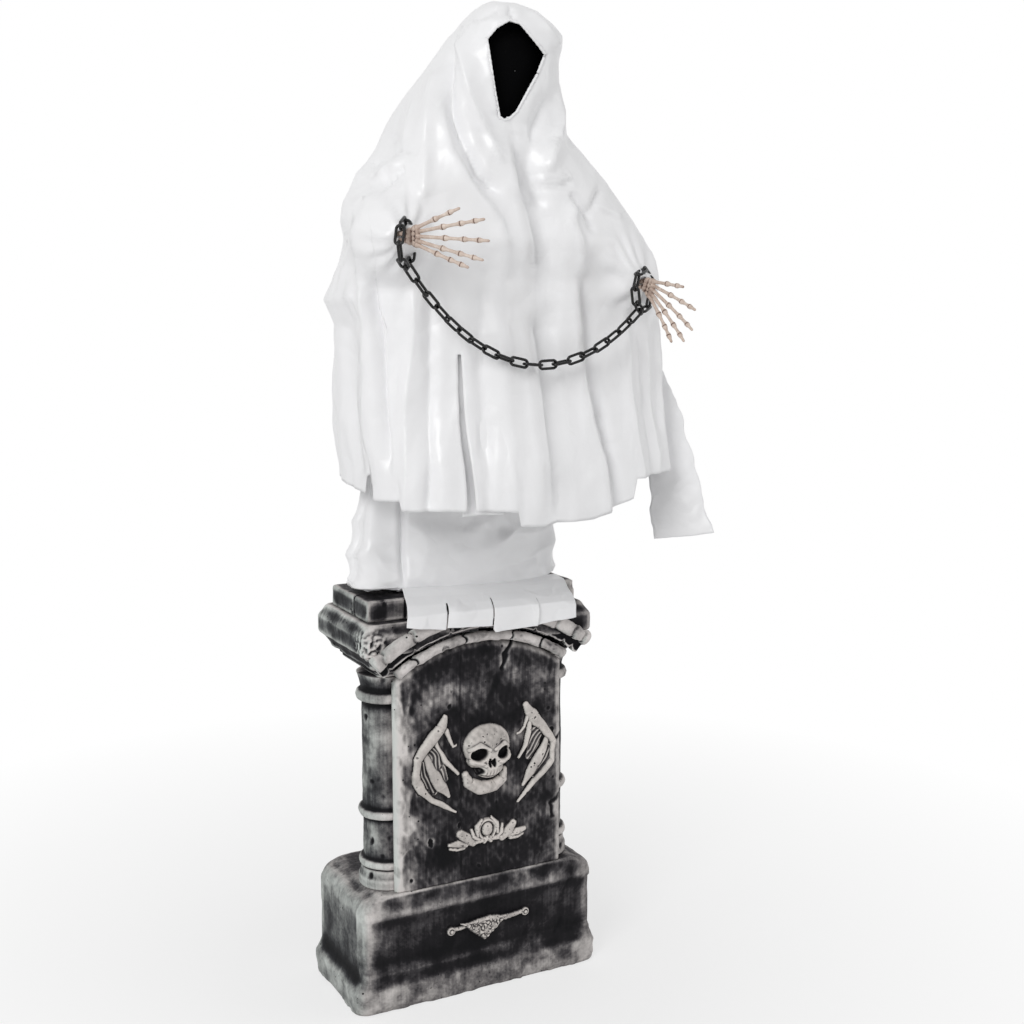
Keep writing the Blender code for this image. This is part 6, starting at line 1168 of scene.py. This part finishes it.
apart = (robe[near] @ right_way - hem_s[:, None]) ** 2 + (robe[near][:, 2] - hem_z[:, None]) ** 2
weight = np.exp(-apart / 0.0030 ** 2)
hem_y = (weight * robe[near][:, 1]).sum(1) / weight.sum(1)
middle_s, middle_z = sum(corner_values(s)) / 4, sum(corner_values(z)) / 4
cut = inside(middle_s, middle_z, opening) & (seen[:-1] > 0.3)
cut |= sum(corner_values(hole)) > 2.5
cut[:, slit] |= middle_z[:, slit] < slit_top
# the cloth that the folds above don't reach lies smooth from the shoulders up
turned = smooth_step(robe[..., 2], 1.21, 1.27) * (1 - smooth_step(seen, 0.0, 0.5)) * (hole < 0.5)
for step in range(3):
    smooth = np.dstack([eased(robe[..., axis], 6, wrap_v=True) for axis in range(3)])
    robe = robe + turned[..., None] * (smooth - robe)
shroud = welded(skin("shroud", robe, ~cut, wrap_v=True))
robe_satin = satin("robe_satin")
shroud.data.materials.append(robe_satin)
cloth_thick = 0.0008
wall(shroud, cloth_thick)
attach(shroud, "ghost")
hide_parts("robe", "hood")
# a narrow rolled hem runs round the opening
hem_line = np.stack([(hem_s - right_way[1] * hem_y) / right_way[0], hem_y - 0.0002, hem_z], -1)
hood_hem = skin("hood_hem", pipe(hem_line, 0.0019 + 0.0002 * np.sin(at * 900), 10)[:, ::-1], wrap_v=True)
hood_hem = welded(hood_hem)
hood_hem.data.materials.append(robe_satin)
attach(hood_hem, "ghost")


# ---------------------------------------------------------------- Robe's loose strips and the face veil
# A long torn strip of the same satin hangs from the robe's right side and a narrow one
# behind the slit, both sewn on inside.  Black cloth is stitched behind the face opening.

def strip(name, left, right, rows, columns, bulge, seed, facing_way, ripple=0.0024):
    """A hanging strip between two edge lines, top to bottom, that swells out between them and ripples downwards."""
    down = np.linspace(1, 0, rows)
    ends = []
    for line in (left, right):
        line = np.array(line, float)
        run = np.r_[0, np.cumsum(np.linalg.norm(np.diff(line, axis=0), axis=1))]
        ends.append(np.stack([np.interp(down, run / run[-1], column) for column in line.T], -1))
    across = np.linspace(0, 1, columns)[None, :, None]
    points = ends[0][:, None] * (1 - across) + ends[1][:, None] * across
    width = np.linalg.norm(ends[1] - ends[0], axis=1)[:, None]
    arc = np.sin(across[..., 0] * math.pi) * bulge + 0.10 * np.sin(across[..., 0] * 9 + down[:, None] * 3 + seed) * (
        bulge * 0.6)
    out = width * arc + ripple * (swell(points, 0.05, seed) + 0.3 * swell(points, 0.02, seed + 1))
    points = points + out[..., None] * np.array(facing_way)
    made = skin(name, points)
    made.data.materials.append(robe_satin)
    wall(made, cloth_thick)
    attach(made, "ghost")
    return made


tail = strip("robe_tail", ((0.284, -0.104, 1.030), (0.287, -0.128, 0.8325), (0.289, -0.143, 0.724)),
             ((0.297, -0.109, 1.030), (0.314, -0.122, 0.990), (0.327, -0.138, 0.950), (0.346, -0.168, 0.850),
              (0.355, -0.210, 0.739)), 90, 26, 0.10, 86, (0.53, -0.85, 0.0))
lining = strip("slit_lining", ((-0.092, -0.1905, 1.060), (-0.092, -0.1955, 0.950), (-0.092, -0.2050, 0.900),
                              (-0.092, -0.2185, 0.850), (-0.092, -0.2225, 0.800)),
               ((-0.030, -0.2135, 1.060), (-0.030, -0.2160, 0.950), (-0.030, -0.2230, 0.900),
                (-0.030, -0.2305, 0.850), (-0.030, -0.2350, 0.800)), 70, 22, -0.09, 88,
               (0.0, -1.0, 0.0), ripple=0.0005)

black_weave, tree, shader = material("black_weave")
place = node(tree, "TexCoord").outputs["Object"]
thread = node(tree, "TexNoise", {"Vector": place, "Scale": 900.0, "Detail": 2.0}).outputs["Fac"]
tone = ramp_colour(tree, thread, ((0.0, (0.0015, 0.0015, 0.0017)), (1.0, (0.0035, 0.0035, 0.0038))))
tree.links.new(tone, shader.inputs["Base Color"])
shader.inputs["Roughness"].default_value = 0.95
shader.inputs["Specular IOR Level"].default_value = 0.03
rings = np.linspace(0.02, 1.0, 24)[:, None]
spin = np.linspace(0, 2 * math.pi, 64, endpoint=False)[None]
x = 0.0055 + 0.0600 * rings * np.cos(spin)
z = 1.4240 + 0.0790 * rings * np.sin(spin)
# it lies on the front of the rounded head form and hangs down from it
bulge = 1 - ((x - 0.008) / 0.062) ** 2 - (np.maximum(z - 1.447, 0) / 0.066) ** 2
y = -np.maximum(0.1436 + 0.055 * np.sqrt(np.maximum(bulge, 0)), 0.1800)
y += 0.012 * smooth_step(1.440 - z, 0.0, 0.09) * (y < -0.1805)
y += 0.0004 * swell(np.dstack([x, y, z]), 0.03, 90)
veil = skin("veil", np.dstack([x, y, z])[::-1], wrap_v=True)
veil.data.materials.append(black_weave)
wall(veil, cloth_thick)
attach(veil, "ghost")
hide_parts("face_veil")


# ---------------------------------------------------------------- Underskirt and flap
# A gathered satin skirt hangs from the hoop on the mast and lies in creases on the block;
# in front a flat piece of it runs over the arch and is cut into four strips.

def skirt_point(turn, height):
    """The plain skirt: a rounded oblong with an elliptical back, narrow at the hoop and spread out on the block."""
    left = np.interp(height, (0.659, 0.667, 0.684, 0.711, 0.756, 0.806, 0.850, 0.900, 0.965),
                     (-0.170, -0.188, -0.181, -0.183, -0.172, -0.160, -0.145, -0.124, -0.096))
    right = np.interp(height, (0.659, 0.670, 0.705, 0.733, 0.800, 0.850, 0.900, 0.965),
                      (0.181, 0.184, 0.180, 0.177, 0.164, 0.148, 0.126, 0.096))
    reach = np.interp(height, (0.659, 0.70, 0.965), (0.068, 0.066, 0.062))
    cosine, sine = np.cos(turn), np.sin(turn)
    power = np.where(sine > 0, 1.0, 0.7)
    reach = np.where(sine > 0, reach - 0.005 * smooth_step(height, 0.67, 0.72), reach)
    x = (left + right) / 2 + (right - left) / 2 * np.sign(cosine) * np.abs(cosine) ** power
    return np.dstack([x, reach * np.sign(sine) * np.abs(sine) ** power, height + 0 * x])


turn = np.linspace(0, 2 * math.pi, 300, endpoint=False)[None]
share = np.linspace(0, 1, 120)[:, None] ** 1.15
height = np.broadcast_to(0.6592 + share * (0.9640 - 0.6592), (120, 300))
base = skirt_point(turn, height)
normal = facing(base, wrap_v=True)
low = 1 - smooth_step(height, 0.675, 0.780)
gathers = 0.0032 * np.sin(23 * turn + 1.5 * np.sin(3 * turn)) * smooth_step(height, 0.80, 0.95)
pleats = 0.0060 * np.sin(7 * turn + 1.8 * np.sin(2 * turn + 0.5)) * smooth_step(height, 0.66, 0.72)
crush = -0.0052 * np.abs(swell(base, 0.085, 91)) - 0.0022 * np.abs(swell(base, 0.040, 92)) * low
bundle = np.exp(-((base[..., 0] - 0.060) / 0.045) ** 2 - ((height - 0.735) / 0.030) ** 2) * (base[..., 1] < 0)
crush += bundle * (0.008 - 0.008 * np.abs(swell(base, 0.045, 93)))
seam = np.exp(-((base[..., 0] + 0.113) / 0.005) ** 2) * (base[..., 1] < 0) * smooth_step(height, 0.66, 0.70)
points = base + normal * (gathers + pleats + crush - 0.012 * seam - 0.002)[..., None]
corner = low * np.exp(-((base[..., 0] + 0.155) / 0.030) ** 2) * smooth_step(-base[..., 1], -0.02, 0.05)
points = points + np.array([-0.004, -0.010, 0.0]) * corner[..., None]
points[..., 2] = np.maximum(points[..., 2] + 0.0015 * np.abs(swell(base, 0.03, 94)) * (1 - low), 0.6589)
skirt = skin("skirt", points, wrap_v=True)
skirt_satin = satin("skirt_satin", crumple=0.22, rough=0.30)
skirt.data.materials.append(skirt_satin)
wall(skirt, cloth_thick)
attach(skirt, "tombstone")
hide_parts("underskirt")
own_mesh(skirt)

across = np.linspace(0, 1, 171)[None]
along = np.linspace(0, 1, 96)[:, None]
# from the skirt's foot over the block's edge and down in front of the arch: (y, z) along the flap's length
line = np.array(((-0.0400, 0.6600), (-0.0600, 0.6592), (-0.0755, 0.6588), (-0.0830, 0.6550), (-0.0930, 0.6480),
                 (-0.1110, 0.6410), (-0.1228, 0.6330), (-0.1262, 0.6230), (-0.1270, 0.6120), (-0.1272, 0.5970)))
run = np.r_[0, np.cumsum(np.hypot(*np.diff(line, axis=0).T))]
left_x, right_x = -0.1180 - 0.0210 * along, 0.1650 - 0.0155 * along
x = left_x + across * (right_x - left_x)
cuts = (0.225, 0.500, 0.765)
number = sum((across > cut).astype(float) for cut in cuts)
down = smooth_step(along, 0.45, 1.0)
short = np.interp(across, (0, 0.2249, 0.2251, 0.4999, 0.5001, 0.7649, 0.7651, 1),
                  (0.0243, 0.0145, 0.0166, 0.0119, 0.0020, 0.0025, 0.0045, 0.0102))
reach = along * (run[-1] - short * down)
y = np.interp(reach, run, line[:, 0])
z = np.interp(reach, run, line[:, 1]) + 0.013 * (1 - across) ** 1.5 * (1 - down) * smooth_step(along, 0.0, 0.3)
place = np.dstack([x + 0 * y, y, z])
local = across - np.select([number == 0, number == 1, number == 2], [0.11, 0.36, 0.63], 0.88)
lean = np.select([number == 0, number == 1, number == 2], [0.0, 0.05, 0.10], 0.07) * down
ripple = 0.0034 * np.sin(across * 21 + number * 2.0) * down + 0.0022 * swell(place, 0.05, 96)
ripple -= 0.0030 * np.abs(swell(place, 0.035, 97)) * (1 - 0.5 * down)
lift = 0.010 * local * np.array(down) * (number - 1.5)
points = place + np.dstack([lean * 0.02 + 0 * y, -np.maximum(ripple + lift, -0.0006) * smooth_step(along, 0.30, 0.7),
                            (0.5 * np.maximum(ripple, 0) + 0 * x) * (1 - down)])
points[..., 2] -= 0.006 * local * down * np.sin(number * 1.7 + 0.4)
keep = np.ones((95, 170), bool)
middle = (across[:, 1:] + across[:, :-1])[0] / 2
for cut, top in zip(cuts, (0.60, 0.54, 0.62)):
    keep[(along[1:, 0] > top), np.abs(middle - cut).argmin()] = False
flap = skin("flap", points[::-1], keep[::-1])
flap.data.materials.append(skirt_satin)
wall(flap, cloth_thick)
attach(flap, "tombstone")
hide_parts("skirt_flap")


# ---------------------------------------------------------------- Skeleton hands
# Each hand is one soft plastic casting in the shape of bones: a cuff of two forearm bones,
# pebble-like wrist bones, a fanned row of hand bones and five jointed fingers, washed brown.

def bone_plastic(name):
    """Pinkish bone plastic, brown wash in the joints and hollows, cloudy and speckled."""
    made, tree, shader = material(name)
    place = node(tree, "TexCoord").outputs["Object"]
    dark = node(tree, "Attribute", attribute_name="joint").outputs["Fac"]
    cloud = node(tree, "TexNoise", {"Vector": place, "Scale": 120.0, "Detail": 5.0, "Roughness": 0.6}).outputs["Fac"]
    speck = node(tree, "TexNoise", {"Vector": place, "Scale": 600.0, "Detail": 3.0}).outputs["Fac"]
    tone = node(tree, "Math", {0: cloud, 1: 0.55, 2: dark}, operation="MULTIPLY_ADD")
    tone = node(tree, "Math", {0: speck, 1: 0.15, 2: tone.outputs[0]}, operation="MULTIPLY_ADD")
    washed = ramp_colour(tree, tone.outputs[0], ((0.20, (0.78, 0.68, 0.60)), (0.46, (0.56, 0.44, 0.37)),
                                                 (0.68, (0.15, 0.080, 0.058)), (0.95, (0.022, 0.012, 0.010))))
    rough = node(tree, "MapRange", {"Value": cloud, "To Min": 0.40, "To Max": 0.65})
    feed(tree, shader, washed, rough.outputs[0], cloud, 0.35, 0.0008)
    return made


def bone_run(start, forward, up, curl_to, length, fan, stops, thick):
    """A row of bones along a fanned, slightly curled line: (path, radii, darkness at each point)."""
    share = np.linspace(0, 1, 120)
    bend = math.radians(8) * share
    along = np.array(forward) * math.cos(fan) + np.array(up) * math.sin(fan)
    path = np.array(start) + along * (length * share * np.cos(bend))[:, None]
    path = path + np.array(curl_to) * (length * share * np.sin(bend) / 2)[:, None]
    near = np.min(np.abs(share[:, None] - np.array(stops)), axis=1) * length
    knob = np.exp(-(near / 0.0046) ** 2)
    radii = thick * (0.60 + 0.50 * knob - 0.22 * np.exp(-(near / 0.0006) ** 2)) * (1 - 0.25 * share)
    tip = smooth_step(share, 0.965, 1.0)
    radii = np.maximum(radii * np.sqrt(np.clip(1 - tip ** 2, 0, 1)), 0.0001)
    radii[0] = 0.0001
    dark = 0.50 * np.exp(-(near / 0.0008) ** 2) + 0.26 * np.exp(-share / 0.12) + 0.12 * smooth_step(share, 0.93, 1.0)
    return path, radii, dark


hand_bone = bone_plastic("hand_bone")
for side, sign, droop, fans in (("left", -1, 0, (18, 7, -4, -14, -20)), ("right", 1, 27, (21, 9, -2, -11, -20))):
    wrist, yaw = wrists[side]
    droop = math.radians(droop)
    level = np.array((math.sin(yaw), -math.cos(yaw), 0.0))
    forward = level * math.cos(droop) - np.array((0, 0, 1)) * math.sin(droop)
    up = level * math.sin(droop) + np.array((0, 0, 1)) * math.cos(droop)
    inward = np.cross(level, (0, 0, 1)) * sign
    grids, darks = [], []
    for index, (reach, fan) in enumerate(zip((0.080, 0.118, 0.125, 0.118, 0.096), fans)):
        start = np.array(wrist) + forward * 0.012 + up * (2 - index) * 0.0050
        stops = (0.02, 0.46, 0.78) if index == 0 else (0.02, 0.42, 0.67, 0.86)
        path, radii, dark = bone_run(start, forward, up, inward, reach, math.radians(fan), stops, 0.0044)
        grids.append(pipe(path, radii))
        darks.append(np.repeat(dark, 14))
    rng = np.random.default_rng(5)
    for row, (out_by, count) in enumerate(((0.003, 3), (0.012, 4))):
        for index in range(count):
            centre = np.array(wrist) + forward * out_by + up * (index - (count - 1) / 2) * 0.0062
            size = rng.uniform(0.0048, 0.0060)
            run = np.linspace(-1, 1, 13)
            path = centre + forward * (run * size)[:, None]
            grids.append(pipe(path, np.maximum(size * np.sqrt(1 - run ** 2), 0.0001)))
            darks.append(np.repeat(0.10 + 0.35 * np.abs(run) ** 3, 14))
    for shift, thick in ((0.0044, 0.0052), (-0.0050, 0.0044)):
        run = np.linspace(0, 1, 40)
        path = np.array(wrist) - level * (0.0318 * run)[:, None] + up * shift
        radii = thick * (0.74 + 0.26 * np.exp(-(run * 0.032 / 0.006) ** 2))
        radii[[0, -1]] = 0.0001
        grids.append(pipe(path, radii))
        darks.append(np.repeat(0.15 + 0.40 * np.exp(-(run * 0.032 / 0.003) ** 2), 14))
    hand = welded(joined("bones_" + side, grids, joint=np.concatenate(darks)))
    hand.data.materials.append(hand_bone)
    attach(hand, "ghost")
    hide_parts("hand_" + side)


# ---------------------------------------------------------------- Chain
# Oval links moulded in glossy black plastic hang from a loop on each wrist.  Every second
# link stands upright, as links of a real chain do.

gloss_black = moulded("gloss_black", (0.005, 0.005, 0.0055), 0.24, 500.0, 0.05, 0.35)
gloss_black.node_tree.nodes["Principled BSDF"].inputs["Specular IOR Level"].default_value = 0.35


def link(centre, along, across, sides=12):
    """A closed grid for one link: a round wire bent into an oval, 31.8 mm long and 15.5 mm wide outside."""
    along, across = np.array(along), np.array(across)
    across = across - along * (across @ along)
    across /= np.linalg.norm(across)
    upright = np.cross(along, across)
    turn = np.linspace(0, 2 * math.pi, 40, endpoint=False)
    out = np.cos(turn)[:, None] * across + np.sin(turn)[:, None] * along
    path = np.array(centre) + 0.00565 * out + np.sign(np.sin(turn))[:, None] * 0.00815 * along
    spin = np.linspace(0, 2 * math.pi, sides, endpoint=False)
    wire = np.cos(spin)[None, :, None] * out[:, None] - np.sin(spin)[None, :, None] * upright
    return path[:, None] + 0.0021 * wire


# the middle of each link, its long direction and its wide direction
links = (
    ((-0.17079, -0.23000, 1.14290), (0.5738, -0.0289, -0.8185), (-0.5706, 0.7028, -0.4248)),
    ((-0.15657, -0.23072, 1.12358), (0.6114, -0.0308, -0.7907), (0.5688, 0.7109, 0.4122)),
    ((-0.14255, -0.23143, 1.10638), (0.6526, -0.0329, -0.7569), (-0.4341, 0.8026, -0.4091)),
    ((-0.12635, -0.23224, 1.08869), (0.6974, -0.0351, -0.7158), (0.5889, 0.5961, 0.5445)),
    ((-0.11034, -0.23305, 1.07334), (0.7453, -0.0375, -0.6656), (-0.2872, 0.8829, -0.3714)),
    ((-0.09186, -0.23398, 1.05808), (0.7956, -0.0401, -0.6044), (0.5486, 0.4691, 0.6910)),
    ((-0.07362, -0.23490, 1.04545), (0.8467, -0.0427, -0.5303), (-0.1422, 0.9424, -0.3028)),
    ((-0.05271, -0.23595, 1.03376), (0.8960, -0.0451, -0.4417), (0.4299, 0.3341, 0.8380)),
    ((-0.03231, -0.23698, 1.02508), (0.9400, -0.0474, -0.3380), (-0.0210, 0.9804, -0.1958)),
    ((-0.00932, -0.23814, 1.01835), (0.9742, -0.0491, -0.2204), (0.2257, 0.1953, 0.9541)),
    ((0.01256, -0.23924, 1.01487), (0.9945, -0.0501, -0.0924), (0.0453, 0.9975, -0.0536)),
    ((0.03651, -0.24045, 1.01424), (0.9979, -0.0503, 0.0404), (-0.0376, 0.0553, 0.9977)),
    ((0.05854, -0.24156, 1.01660), (0.9840, -0.0496, 0.1711), (0.0327, 0.9944, 0.1001)),
    ((0.08183, -0.24273, 1.02219), (0.9548, -0.0481, 0.2934), (-0.2965, -0.0860, 0.9511)),
    ((0.10259, -0.24377, 1.02995), (0.9141, -0.0461, 0.4028), (-0.0538, 0.9710, 0.2331)),
    ((0.12397, -0.24485, 1.04078), (0.8665, -0.0437, 0.4973), (-0.4931, -0.2287, 0.8390)),
    ((0.14264, -0.24579, 1.05273), (0.8157, -0.0411, 0.5770), (-0.1853, 0.9264, 0.3279)),
    ((0.16161, -0.24675, 1.06740), (0.7649, -0.0385, 0.6430), (-0.6083, -0.3699, 0.7014)),
    ((0.17804, -0.24758, 1.08229), (0.7159, -0.0361, 0.6973), (-0.3327, 0.8604, 0.3861)),
)
for first in range(0, len(links), 2):
    number = first // 2 + 1
    solid = "chain_links_%02d" % number
    made = welded(joined("links_%02d" % number, [link(*row) for row in links[first:first + 2]], wrap_u=True))
    made.data.materials.append(gloss_black)
    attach(made, "chain")
    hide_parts(solid)
for side, centre, first, yaw in (("left", (-0.18384, -0.23948, 1.18143), -68, 50),
                                 ("right", (0.19797, -0.23902, 1.11895), -118, 34)):
    level = np.array((math.cos(math.radians(yaw)), math.sin(math.radians(yaw)), 0.0))
    grids = []
    for k in range(8):
        turn = math.radians(first + 45 * k)
        out = level * math.cos(turn) + np.array((0, 0, 1)) * math.sin(turn)
        along = np.array((0, 0, 1)) * math.cos(turn) - level * math.sin(turn)
        grids.append(link(np.array(centre) + out * 0.02822, along, out if k % 2 == 0 else np.cross(out, along)))
    made = welded(joined("loop_" + side, grids, wrap_u=True))
    made.data.materials.append(gloss_black)
    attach(made, "ghost")
    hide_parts("wrist_chain_" + side)
